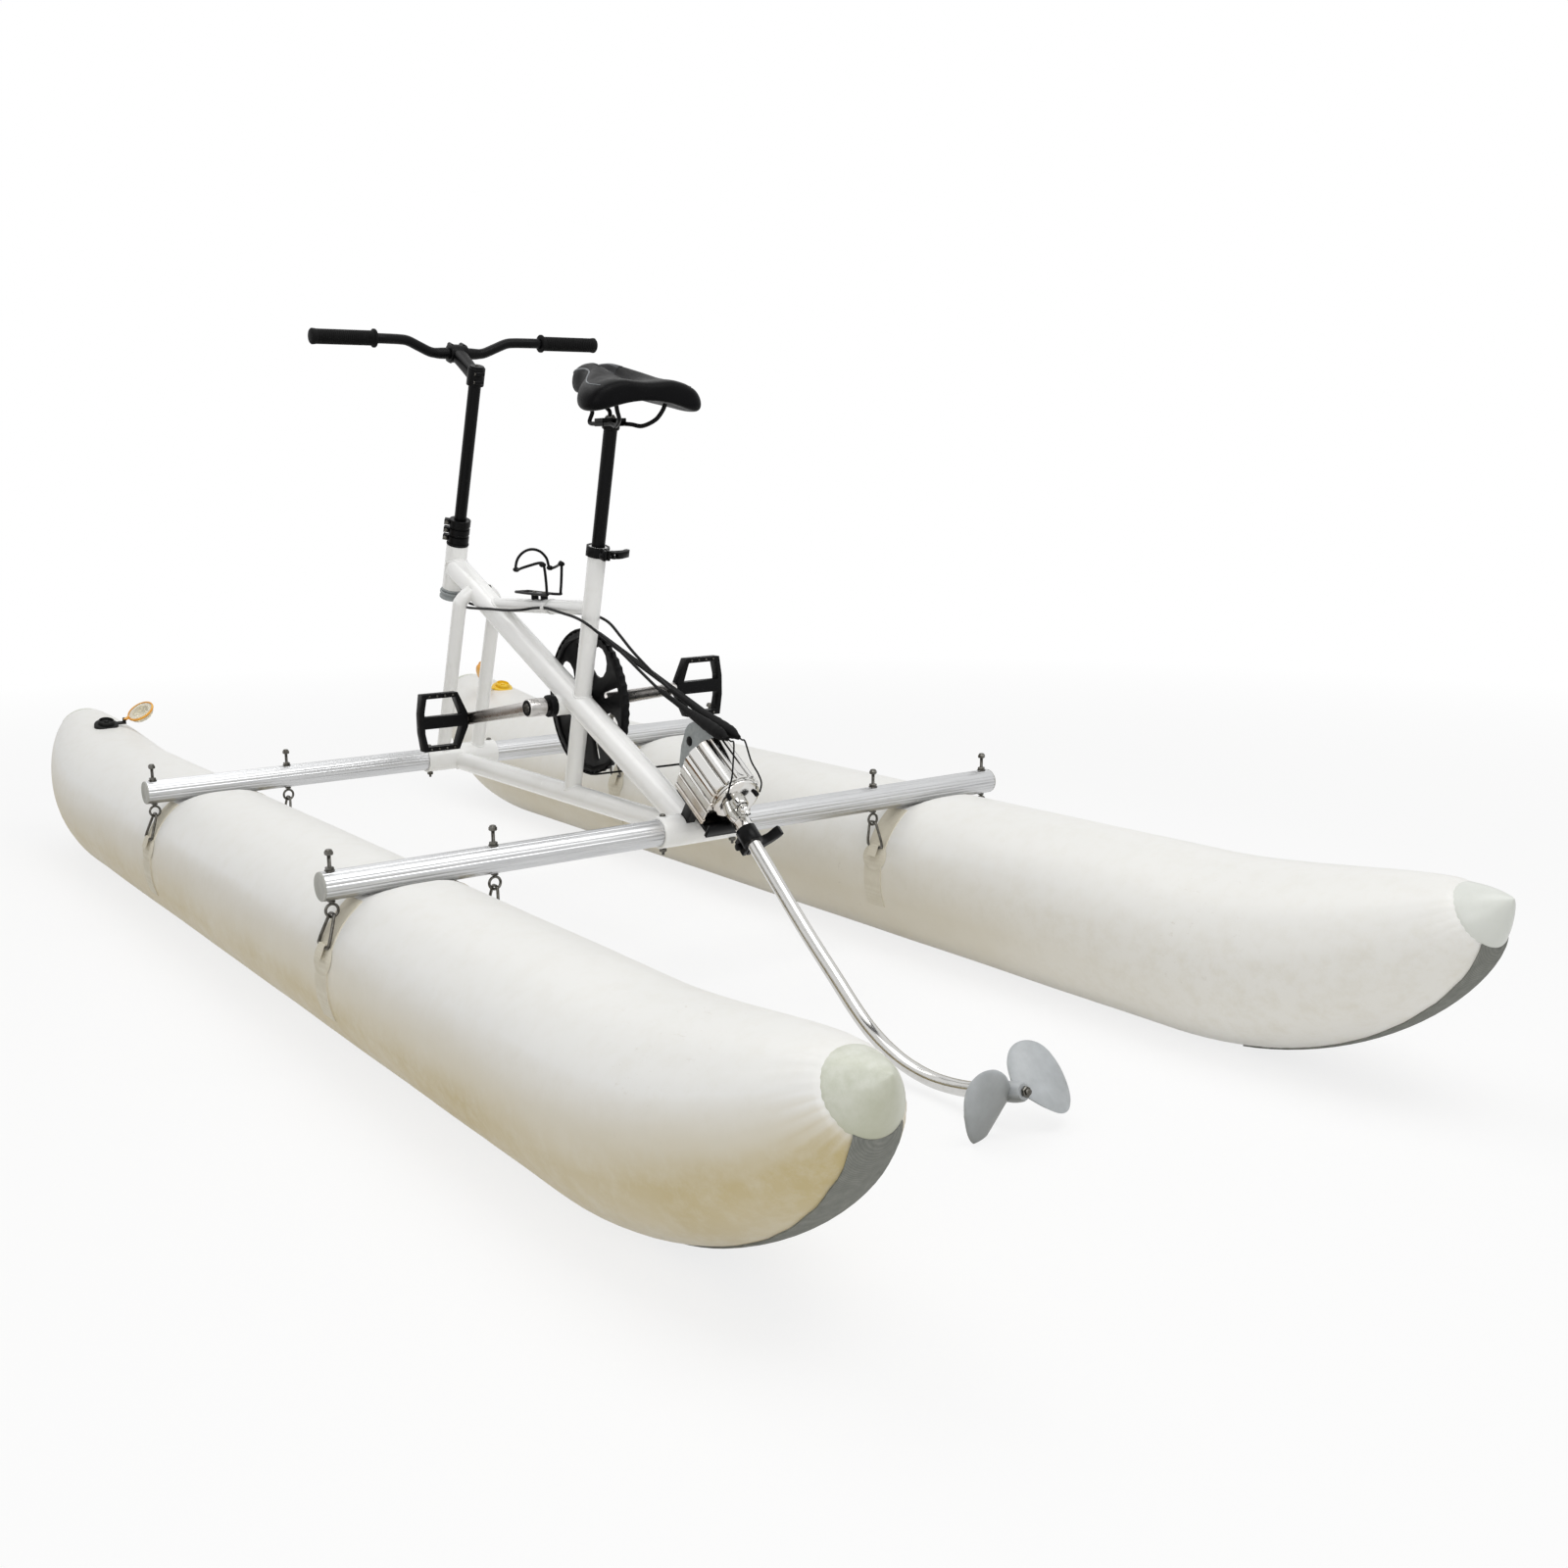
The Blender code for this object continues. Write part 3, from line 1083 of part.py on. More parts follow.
def make_belt(root, crank_joint):
    frame = axis_frame(BRACKET_POINT + Y * BELT_Y, Y, -X)
    bm = bmesh.new()
    prism(bm, frame, toothed(BIG_TEETH), -PULLEY_WIDTH / 2.0, PULLEY_WIDTH / 2.0)
    obj = part("belt_pulley", bm, "pulley", crank_joint)
    relief = bmesh.new()
    rim = BIG_RADIUS - TOOTH_DEPTH - 0.010
    for s in SIDES:
        collar(relief, frame, CRANK_BOSS_RADIUS + 0.008, rim, s * WEB_THICKNESS / 2.0, s * 0.02, 22)
    cut(obj, cutter("pulley_relief", relief, root))
    holes = bmesh.new()
    reach = BIG_RADIUS * 0.66
    for k in range(4):
        a = math.radians(62.0) + k * math.pi / 2.0
        spot = frame @ Vector((reach * math.cos(a), reach * math.sin(a), 0.0))
        disc(holes, axis_frame(spot, Y, X), PULLEY_HOLE_RADIUS, -0.02, 0.02, 12)
        b = a + math.pi / 4.0
        turn = frame @ Matrix.Rotation(b, 4, "Z")
        outline = []
        for centre, begin in ((BIG_RADIUS * 0.80, -90.0), (BIG_RADIUS * 0.44, 90.0)):
            for j in range(4):
                c = math.radians(begin + 60.0 * j)
                outline.append((centre + 0.0065 * math.cos(c), 0.0065 * math.sin(c)))
        prism(holes, turn, outline, -0.02, 0.02)
    cut(obj, cutter("pulley_holes", holes, root))
    centre = bmesh.new()
    disc(centre, frame, turned(AXLE_RADIUS, AXLE_SIDES), -0.03, 0.03, AXLE_SIDES)
    cut(obj, cutter("pulley_bore", centre, root))

    small = axis_frame(SMALL_PULLEY_POINT + Y * BELT_Y, Y, -X)
    joint = joint_frame("small_pulley_axis", axis_frame(SMALL_PULLEY_POINT, Y, X), root)
    bm = bmesh.new()
    prism(bm, small, toothed(SMALL_TEETH), -PULLEY_WIDTH / 2.0, PULLEY_WIDTH / 2.0)
    obj = part("small_pulley", bm, "pulley", joint)
    shaft = bmesh.new()
    plate_right = PLATE_Y - PLATE_THICKNESS / 2.0
    plate_left = PLATE_Y + PLATE_THICKNESS / 2.0
    shaft_frame = axis_frame(SMALL_PULLEY_POINT, Y, X)
    hub = BELT_Y - PULLEY_WIDTH / 2.0
    lathe(shaft, shaft_frame, ((0.012, hub - 0.008), (0.018, hub - 0.002), (0.018, -0.030),
                               (0.014, plate_right - 0.002), (0.009, plate_right - 0.002),
                               (0.009, plate_left + GAP), (0.006, plate_left + GAP + 0.002)),
          AXLE_SIDES)
    fuse(obj, cutter("small_pulley_shaft", shaft, root))

    distance = SMALL_PULLEY_POINT - BRACKET_POINT
    lean = math.atan2(distance.z, distance.x)
    spread = math.acos((BIG_RADIUS - SMALL_RADIUS) / distance.length)
    inner_clear = 2.0 * GAP
    profile = []
    for centre, radius, start, stop, steps in (
            (BRACKET_POINT, BIG_RADIUS, lean + spread, lean + 2.0 * math.pi - spread, 26),
            (SMALL_PULLEY_POINT, SMALL_RADIUS, lean - spread, lean + spread, 8)):
        step = (stop - start) / steps
        for k in range(steps + 1):
            a = start + step * k
            inside = (radius + inner_clear) / math.cos(step / 2.0)
            direction = Vector((math.cos(a), 0.0, math.sin(a)))
            profile.append((centre + direction * inside,
                            centre + direction * (inside + BELT_THICKNESS)))
    bm = bmesh.new()
    low = Y * (BELT_Y - BELT_WIDTH / 2.0)
    high = Y * (BELT_Y + BELT_WIDTH / 2.0)
    skin(bm, [[a + low, b + low, b + high, a + high] for a, b in profile], closed=True)
    part("drive_belt", bm, "belt", root)


def make_drive(root):
    up = DRIVE                       # X is DRIVE_UP, Z the output axis
    half = HOUSING_RADIUS
    profile = []
    flutes = 9
    for k in range(flutes):
        a = math.pi / 2.0 - math.pi * (k + 0.5) / flutes
        width = math.pi / flutes / 2.0
        for share, reach in ((1.0, half - FLUTE_RADIUS), (0.62, half), (-0.62, half),
                             (-1.0, half - FLUTE_RADIUS)):
            b = a + width * share
            profile.append((reach * math.cos(b), reach * math.sin(b)))
    valley = half - FLUTE_RADIUS
    side = []
    for low, high in SIDE_FLUTES:
        side += [(-low, half), (-(low + high) / 2.0, valley), (-high, half)]
    profile += [(x, -y) for x, y in side] + [(-HOUSING_DEPTH, -valley), (-HOUSING_DEPTH, valley)]
    profile += side[::-1]
    bm = bmesh.new()
    prism(bm, up, profile, HOUSING_FRONT, HOUSING_REAR)
    obj = part("gearbox_housing", bm, "polished", root)
    bore = bmesh.new()
    disc(bore, up, turned(COUPLING_RADIUS, AXLE_SIDES), HOUSING_REAR - 0.030,
         HOUSING_REAR + 0.01, AXLE_SIDES)
    cut(obj, cutter("housing_bore", bore, root))

    bm = bmesh.new()
    top = -HOUSING_DEPTH - GAP
    low = top - BRACKET_THICKNESS
    box(bm, up, (low, -BRACKET_HALF, BRACKET_FRONT), (top, BRACKET_HALF, BRACKET_BACK - 0.001))
    obj = part("drive_bracket", bm, "black_metal", root)
    back = bmesh.new()
    box(back, up, (low - 0.006, -BRACKET_HALF - 0.001, BRACKET_BACK - BRACKET_THICKNESS),
        (-HEAD_CAP_RADIUS - 0.004, BRACKET_HALF + 0.001, BRACKET_BACK))
    fuse(obj, cutter("bracket_back", back, root))
    feet = bmesh.new()
    sleeve_spot = Vector((-BAR_HALF_SPACING, 0.0, BAR_Z)) - DRIVE_POINT
    foot_at = sleeve_spot.dot(DRIVE_AXIS)
    foot_low = sleeve_spot.dot(DRIVE_UP) + SLEEVE_RADIUS * 0.85
    for side in SIDES:
        box(feet, up, (foot_low, side * 0.034 - 0.009, foot_at - 0.012),
            (low + 0.002, side * 0.034 + 0.009, foot_at + 0.012))
    fuse(obj, cutter("bracket_feet", feet, root))
    sleeve = bmesh.new()
    disc(sleeve, axis_frame(Vector((-BAR_HALF_SPACING, 0.0, BAR_Z)), Y, X),
         turned(SLEEVE_RADIUS, COPE_SIDES), -0.1, 0.1, COPE_SIDES, COPE_PHASE)
    cut(obj, cutter("bracket_seat", sleeve, root))

    flat = axis_frame(Vector((0.0, PLATE_Y, 0.0)), -Y, X)
    shaft = SMALL_PULLEY_POINT
    edge = drive_point(HOUSING_FRONT - GAP, 0.0)
    foot = drive_point(HOUSING_FRONT - GAP, -HOUSING_DEPTH + 0.004)
    head = drive_point(HOUSING_FRONT - GAP, HOUSING_RADIUS * 0.92)
    outline = [(foot.x, foot.z), (foot.x + 0.038, foot.z + 0.004),
               (shaft.x + 0.036, shaft.z - 0.052), (shaft.x + 0.028, shaft.z - 0.012)]
    oval = Vector((shaft.x - 0.024, 0.0, shaft.z + 0.004))
    for k in range(9):
        a = math.radians(10.0 + 125.0 * k / 8)
        outline.append((oval.x + 0.042 * math.cos(a), oval.z + 0.036 * math.sin(a)))
    outline.append((head.x, head.z))
    outline.append((edge.x, edge.z))
    bm = bmesh.new()
    prism(bm, flat, outline, -PLATE_THICKNESS / 2.0, PLATE_THICKNESS / 2.0)
    obj = part("side_plate", bm, "cast_grey", root)
    holes = bmesh.new()
    disc(holes, axis_frame(shaft, Y, X), turned(0.009, AXLE_SIDES), -0.05, 0.02, AXLE_SIDES)
    disc(holes, axis_frame(Vector((shaft.x - 0.056, 0.0, shaft.z + 0.006)), Y, X), 0.0042,
         -0.05, 0.02, 10)
    cut(obj, cutter("plate_holes", holes, root))

    joint = joint_frame("coupling_axis", DRIVE, root)
    bm = bmesh.new()
    cap = HOUSING_REAR + HEAD_CAP_DEPTH
    r = COUPLING_RADIUS
    lathe(bm, up, ((r, HOUSING_REAR - 0.029), (r, cap + 0.006), (r * 0.7, cap + 0.008),
                   (r * 0.7, cap + 0.012), (r * 0.95, cap + 0.014), (r * 0.95, cap + 0.026),
                   (r * 0.6, cap + 0.030), (r * 0.6, cap + 0.034)), AXLE_SIDES)
    part("output_coupling", bm, "steel", joint)


def leg_points():
    return [Vector((x, 0.0, z)) for x, z in LEG_PATH]


def make_leg(root):
    joint = joint_frame("leg_axis", DRIVE, root)
    near = HOUSING_REAR + GAP
    far = HOUSING_REAR + HEAD_CAP_DEPTH
    r = HEAD_CAP_RADIUS
    bore = turned(COUPLING_RADIUS, HEAD_CAP_SIDES)
    bm = bmesh.new()
    lathe(bm, DRIVE, ((bore, near), (r, near), (r, far - 0.006), (r - 0.004, far - 0.002),
                      (r - 0.012, far), (bore, far)), HEAD_CAP_SIDES, closed=True)
    path = leg_points()
    clamp_start = path[0] - LEG_AXIS * 0.004
    reach = (clamp_start - DRIVE_POINT).dot(DRIVE_AXIS)
    drop = (clamp_start - DRIVE_POINT).dot(DRIVE_UP)
    obj = part("swivel_head", bm, "polished", joint)
    arm = bmesh.new()
    box(arm, DRIVE, (drop - 0.018, -0.012, far - 0.002), (drop - 0.002, 0.012, reach - 0.004))
    fuse(obj, cutter("swivel_arm", arm, root))
    pins = bmesh.new()
    for side in SIDES:
        spot = drive_point(far - 0.002, 0.0182, side * 0.0298)
        disc(pins, axis_frame(spot, DRIVE_AXIS, Y), 0.0042, 0.0, 0.010, 8)
    fuse(obj, cutter("swivel_pins", pins, root))

    frame = axis_frame(path[0], LEG_AXIS, DRIVE_UP)
    inner = turned(LEG_TUBE_RADIUS, 14)
    outer = inner + 0.006
    bm = bmesh.new()
    ear = 0.007
    gap = 0.0015
    ear_end = -outer - 0.015
    outline = []
    start = math.pi - math.asin((gap + ear) / outer)
    for k in range(11):
        a = -start + 2.0 * start * k / 10
        outline.append((outer * math.cos(a), outer * math.sin(a)))
    outline += [(ear_end, gap + ear), (ear_end, gap)]
    start = math.pi - math.asin(gap / inner)
    for k in range(14):
        a = start - 2.0 * start * k / 13
        outline.append((inner * math.cos(a), inner * math.sin(a)))
    outline += [(ear_end, -gap), (ear_end, -gap - ear)]
    prism(bm, frame, outline, 0.002, 0.034)
    clamp = part("leg_clamp", bm, "black_metal", joint)
    bolt_x = -outer - 0.008
    bolt_z = 0.018
    across = frame @ axis_frame(Vector((bolt_x, 0.0, bolt_z)), -Y, X)
    face = gap + ear
    pin_at = face + 0.011
    bolt = bmesh.new()
    lathe(bolt, across, ((0.007, -face - 0.007), (0.007, -face + 0.001), (0.003, -face + 0.001),
                         (0.003, pin_at)), PIN_SIDES)
    fuse(clamp, cutter("leg_bolt", bolt, root))
    pin_frame = frame @ Matrix.Translation(Vector((bolt_x, -pin_at, bolt_z)))
    pin = bmesh.new()
    disc(pin, pin_frame, 0.0032, -0.009, 0.009, PIN_SIDES)
    fuse(clamp, cutter("leg_bolt_pin", pin, root))

    lever_joint = joint_frame("leg_lever_axis", pin_frame, root)
    bm = bmesh.new()
    outline = lever_outline(0.0085, ((0.000, -0.0105, 0.0080), (0.004, -0.020, 0.0065),
                                     (0.014, -0.034, 0.0050), (0.028, -0.044, 0.0065),
                                     (0.034, -0.047, 0.0040)))
    prism(bm, pin_frame, outline, -0.0085, 0.0085)
    relief = bmesh.new()
    hub_relief(relief, pin_frame, turned(0.0032, PIN_SIDES), 0.012, 0.0037, 0.02)
    cut(part("leg_clamp_lever", bm, "black_metal", lever_joint),
        cutter("leg_lever_hub", relief, root))

    bm = bmesh.new()
    pipe(bm, path, LEG_TUBE_RADIUS, LEG_TUBE_WALL, LEG_TUBE_SIDES)
    part("leg_tube", bm, "stainless", joint)

    prop_axis = (PROPELLER_POINT - path[-1]).normalized()
    frame = axis_frame(PROPELLER_POINT, prop_axis, Z)
    prop_joint = joint_frame("propeller_axis", frame, root)
    bm = bmesh.new()
    inside = -(PROPELLER_POINT - path[-1]).length - SHAFT_INSIDE
    lathe(bm, frame, ((SHAFT_RADIUS, inside), (SHAFT_RADIUS, -0.024), (0.0135, -0.024),
                      (0.0155, -0.014), (0.0165, 0.004), (0.0150, 0.020), (0.0110, 0.024),
                      (0.0100, 0.030), (0.0050, 0.037)), AXLE_SIDES)
    obj = part("propeller", bm, "propeller", prop_joint)
    blades = bmesh.new()
    for half_turn in (0.0, math.pi):
        turn = frame @ Matrix.Rotation(BLADE_TURN + half_turn, 4, "Z")
        rings = []
        for share, width, thick in ((0.12, 0.16, 0.0030), (0.26, 0.33, 0.0028),
                                    (0.48, 0.49, 0.0024), (0.72, 0.47, 0.0018),
                                    (0.90, 0.33, 0.0015), (0.98, 0.16, 0.0011)):
            reach = PROPELLER_RADIUS * share
            twist = BLADE_PITCH + math.radians(26.0) * (0.58 - share)
            w = BLADE_CHORD * width
            chord = Vector((math.cos(twist), 0.0, math.sin(twist)))
            normal = Vector((-math.sin(twist), 0.0, math.cos(twist)))
            camber = 0.10 * w
            ring = []
            for u, v in ((-1.0, -0.4), (-0.4, -1.0), (0.4, -1.0), (1.0, -0.4),
                         (1.0, 0.4), (0.4, 1.0), (-0.4, 1.0), (-1.0, 0.4)):
                lift = camber * (1.0 - u * u)
                ring.append(turn @ (Vector((0.0, reach, 0.0)) + chord * (u * w)
                                    + normal * (v * thick + lift)))
            rings.append(ring)
        skin(blades, rings)
    fuse(obj, cutter("propeller_blades", blades, root))


def make_cables(root):
    rear = HOUSING_REAR + HEAD_CAP_DEPTH
    for side in SIDES:
        path = [Vector((x, side * y, z)) for x, y, z in CABLE_ROUTE]
        radii = [CABLE_RADIUS] * len(path)
        knee = Vector((BOOT_KNEE.x, side * BOOT_KNEE.y, BOOT_KNEE.z))
        last = Vector((BOOT_END.x, side * BOOT_END.y, BOOT_END.z))
        for share, size in ((0.04, 0.42), (0.10, 0.60), (0.55, 0.75), (0.80, 0.98), (1.0, 1.0)):
            path.append(path[len(CABLE_ROUTE) - 1].lerp(knee, share))
            radii.append(BOOT_RADIUS * size)
        for share, size in ((0.50, 0.98), (0.82, 0.80), (0.92, 0.45), (1.0, 0.40)):
            path.append(knee.lerp(last, share))
            radii.append(BOOT_RADIUS * size)
        wire = [last + (last - knee).normalized() * 0.002,
                last + (last - knee).normalized() * 0.020,
                drive_point(rear - 0.032, 0.068, side * 0.020),
                drive_point(rear - 0.012, 0.054, side * 0.029),
                drive_point(rear - 0.001, 0.040, side * 0.0355),
                drive_point(rear + 0.004, 0.0222, side * 0.0360)]
        path += wire
        radii += [WIRE_RADIUS] * len(wire)
        bm = bmesh.new()
        rod(bm, path, radii, 6)
        part(SIDE_NAMES[side] + "_steering_cable", bm, "cable", root)


def valve_frame(side):
    """Frame on top of a float's bow: Z out of the float, Y across it."""
    a = math.asin((VALVE_X - BOW_STRAIGHT) / BOW_BEND_RADIUS)
    t = a / BOW_BEND
    across = BOW.frame(t, side * FLOAT_TRACK)
    up = across.to_3x3() @ Vector((0.0, 1.0, 0.0))
    lift = BOW.radius(t) + 0.0012
    return axis_frame(across.translation + up * lift, up, X)


def make_valves(root):
    hinge_reach = VALVE_CAP_RADIUS + VALVE_STRAP
    hinge_z = VALVE_HEIGHT + 0.0035
    lug = STRAP_WIDTH / 2.0 - EAR_THICKNESS - GAP
    for side in SIDES:
        frame = valve_frame(side)
        seat = bmesh.new()
        skin(seat, BOW.rings(side * FLOAT_TRACK, 2.0 * GAP))
        bm = bmesh.new()
        lathe(bm, frame, ((VALVE_RADIUS, -VALVE_SINK), (VALVE_RADIUS, VALVE_HEIGHT * 0.5),
                          (VALVE_RADIUS * 0.85, VALVE_HEIGHT), (NECK_RADIUS, VALVE_HEIGHT),
                          (NECK_RADIUS, VALVE_HEIGHT + NECK_HEIGHT),
                          (NECK_RADIUS * 0.6, VALVE_HEIGHT + NECK_HEIGHT + 0.003)), VALVE_SIDES)
        name = SIDE_NAMES[side] + "_valve_base"
        obj = part(name, bm, "valve", root)
        strap = bmesh.new()
        near, far = sorted((-side * (VALVE_RADIUS - 0.006), -side * (hinge_reach + 0.004)))
        box(strap, frame, (-STRAP_WIDTH / 2.0, near, 0.0005), (STRAP_WIDTH / 2.0, far, STRAP_TOP))
        fuse(obj, cutter(name + "_strap", strap, root))
        ears = bmesh.new()
        for s in SIDES:
            ear = sorted((s * (lug + GAP), s * (STRAP_WIDTH / 2.0 - 0.0002)))
            box(ears, frame, (ear[0], -side * hinge_reach - 0.003, STRAP_TOP - 0.001),
                (ear[1], -side * hinge_reach + 0.003, hinge_z + 0.003))
        fuse(obj, cutter(name + "_ears", ears, root))
        cut(obj, cutter(name + "_seat", seat, root))
    for name, side, opened in (("left", 1, LEFT_CAP_OPEN), ("right", -1, RIGHT_CAP_OPEN)):
        frame = valve_frame(side)
        away = -side
        hinge = frame @ Matrix.Translation(Vector((0.0, away * hinge_reach, hinge_z)))
        joint = joint_frame(name + "_valve_cap_axis", hinge @ axis_frame(Vector(), X, Y * away),
                            root)
        cap = (hinge @ Matrix.Rotation(away * -opened, 4, "X")
               @ Matrix.Translation(Vector((0.0, away * -hinge_reach, 0.0012))))
        inner = NECK_RADIUS + 0.0020
        roof = NECK_HEIGHT + 0.0060
        bm = bmesh.new()
        lathe(bm, cap, ((inner, -0.0005), (VALVE_CAP_RADIUS, -0.0005),
                        (VALVE_CAP_RADIUS, roof * 0.6), (VALVE_CAP_RADIUS * 0.75, roof),
                        (0.0, roof + 0.0015), (0.0, roof - 0.0020), (inner, roof - 0.0025)),
              VALVE_SIDES, closed=True)
        obj = part(name + "_valve_cap", bm, "valve_cap", joint)
        tongue = bmesh.new()
        near, far = sorted((away * (VALVE_CAP_RADIUS - 0.005), away * (hinge_reach + 0.0012)))
        box(tongue, cap, (-lug, near, -0.0024), (lug, far, 0.0001))
        fuse(obj, cutter(name + "_cap_tongue", tongue, root))


def make_materials():
    material("float", (0.86, 0.87, 0.84), 0.0, 0.45)
    material("end_cap", (0.70, 0.75, 0.70), 0.0, 0.45)
    material("frame_paint", (0.88, 0.88, 0.86), 0.0, 0.25)
    material("aluminium", (0.75, 0.76, 0.77), 1.0, 0.35)
    material("stainless", (0.78, 0.78, 0.78), 1.0, 0.15)
    material("steel", (0.60, 0.60, 0.61), 1.0, 0.3)
    material("polished", (0.80, 0.80, 0.78), 1.0, 0.12)
    material("cast_grey", (0.38, 0.41, 0.42), 0.2, 0.6)
    material("black_metal", (0.02, 0.02, 0.02), 0.0, 0.35)
    material("crank_metal", (0.30, 0.28, 0.26), 1.0, 0.3)
    material("pulley", (0.02, 0.02, 0.022), 0.0, 0.5)
    material("belt", (0.015, 0.015, 0.015), 0.0, 0.8)
    material("pedal", (0.02, 0.02, 0.02), 0.0, 0.5)
    material("grip_rubber", (0.025, 0.025, 0.025), 0.0, 0.9)
    material("cable", (0.015, 0.015, 0.015), 0.0, 0.5)
    material("saddle_cover", (0.03, 0.03, 0.033), 0.0, 0.6)
    material("propeller", (0.55, 0.58, 0.62), 0.0, 0.4)
    material("valve", (0.12, 0.12, 0.12), 0.0, 0.6)
    material("valve_cap", (0.95, 0.72, 0.05), 0.0, 0.45)


def main():
    clear_scene()
    make_materials()
    root = bpy.data.objects.new("machine_frame", None)
    bpy.context.scene.collection.objects.link(root)
    root.location.x = (STERN.reach() - BOW.reach()) / 2.0
    make_floats(root)
    make_end_caps(root)
    make_valves(root)
    make_crossbars(root)
    make_frame(root)
    make_bottle_cage(root)
    make_headset(root)
    make_steering(root)
    make_seat_clamp(root)
    make_seat(root)
    crank_joint = make_cranks(root)
    make_belt(root, crank_joint)
    make_drive(root)
    make_leg(root)
    make_cables(root)
    bpy.context.view_layer.update()


main()
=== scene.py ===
"""Looks of the pedal water bike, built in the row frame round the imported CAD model."""

from math import asin, copysign, cos, exp, hypot, log, pi, radians, sin, sqrt, tan

import bmesh
import bpy
from mathutils import Matrix, Vector, noise


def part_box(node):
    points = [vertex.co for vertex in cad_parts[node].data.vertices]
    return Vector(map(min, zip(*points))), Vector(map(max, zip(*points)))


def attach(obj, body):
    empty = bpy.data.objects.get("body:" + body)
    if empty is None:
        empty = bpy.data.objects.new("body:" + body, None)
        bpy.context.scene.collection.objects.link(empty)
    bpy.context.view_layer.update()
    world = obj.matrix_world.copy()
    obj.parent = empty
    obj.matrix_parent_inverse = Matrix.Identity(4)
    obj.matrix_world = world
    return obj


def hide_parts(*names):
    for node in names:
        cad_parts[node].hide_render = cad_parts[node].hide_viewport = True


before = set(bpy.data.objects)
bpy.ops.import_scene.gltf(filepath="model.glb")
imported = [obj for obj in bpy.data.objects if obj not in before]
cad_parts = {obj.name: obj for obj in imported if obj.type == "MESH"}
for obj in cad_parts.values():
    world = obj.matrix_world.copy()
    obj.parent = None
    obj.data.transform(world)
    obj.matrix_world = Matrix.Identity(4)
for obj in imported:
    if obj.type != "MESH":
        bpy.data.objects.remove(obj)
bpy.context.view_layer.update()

X, Y, Z = Vector((1, 0, 0)), Vector((0, 1, 0)), Vector((0, 0, 1))
SIDES = (1, -1)
SIDE_NAMES = {1: "left", -1: "right"}


def middle_of(node):
    low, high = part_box(node)
    return (low + high) / 2


FRONT_BAR = middle_of("front_sleeve")
REAR_BAR = middle_of("rear_sleeve")
SHIFT = Vector(((FRONT_BAR.x + REAR_BAR.x) / 2, 0, 0))
BAR_HALF_SPACING = (FRONT_BAR.x - REAR_BAR.x) / 2
BAR_Z = FRONT_BAR.z


def at(x, y, z):
    """Point of the machine frame, whose X is zero halfway between the two crossbars."""
    return Vector((x, y, z)) + SHIFT


# Camera, fitted to the photograph
IMAGE_SIZE = 1600
FOCAL_PIXELS = 1636.9
AIM_PIXEL = (681.5, 814.3)
CAMERA_POINT = (-2.9467, 1.6613, 0.9714)
CAMERA_YAW = -0.5788
CAMERA_PITCH = -0.1974
CAMERA_ROLL = -0.0178

# Studio
WORLD_LIGHT = 0.42
FLOOR_Z = -0.0005
FLOOR_HALF = 30
FLOOR_WHITE = 0.8              # share of plain white in the floor next to the craft
FLOOR_FADE = 5.5                # from here outwards the floor is plain white

# Floats
FLOAT_RADIUS = 0.163
FLOAT_TRACK = middle_of("left_pontoon").y
FLOAT_Z = 0.162
FLOAT_SIDES = 96
FLOAT_FOOT = 0.0006             # the lowest height of the fabric above the ground
BEND_STEPS = 26
BEND_CROWDING = 1.25            # above 1 the rings of a bend lie closer toward the cap
CAP_FULLNESS = 1.16
CAP_BLUNTNESS = 1.2
CAP_SEAM = ((-0.001, -0.0085), (0.0012, -0.008), (0.0018, -0.006), (0.0016, -0.0035),
            (0.0008, -0.0005), (0, 0.002))
DENT_WIDTH = 0.04
DENT_REACH = 0.12
DENT_SOFTNESS = 0.0035
BAND_THICKNESS = 0.0015
BAND_WIDTH = 0.05
BAND_LOW = radians(-22)
STRIP_WIDTH = 0.075
STRIP_THICKNESS = 0.0015
STRIP_END = 0.9995
STRIP_CLEARANCE = 0.004

# Crossbars and bolts
BAR_RADIUS = 0.025
BAR_WALL = 0.0025
BAR_SIDES = 192
BAR_INNER_END = 0.01
BAR_OUTER_END = 0.746
BAR_TOP = BAR_Z + BAR_RADIUS
BAR_FOOT = BAR_Z - BAR_RADIUS
SLEEVE_RADIUS = 0.03
SLEEVE_HALF = 0.09
SLEEVE_BOLT_Y = SLEEVE_HALF - 0.011
EYE_PLACES = (0.43, 0.73)
EYE_RADIUS = 0.011
EYE_WIRE = 0.0025
EYE_DROP = 0.004
EYE_Z = BAR_FOOT - EYE_DROP - EYE_RADIUS - EYE_WIRE
BOLT_RADIUS = 0.0035
BOLT_TOP = BAR_TOP + 0.036
NUT_RADIUS = 0.0075
THREAD_PITCH = 0.00125
RING_WIRE = 0.00275
RING_ANGLE = radians(22)
KEEPER_RADIUS = 0.0045
KEEPER_HALF = 0.013
PATCH_HALF = (0.034, 0.03)
PATCH_ANGLE = RING_ANGLE - radians(7)
PATCH_RISE = 0.00128

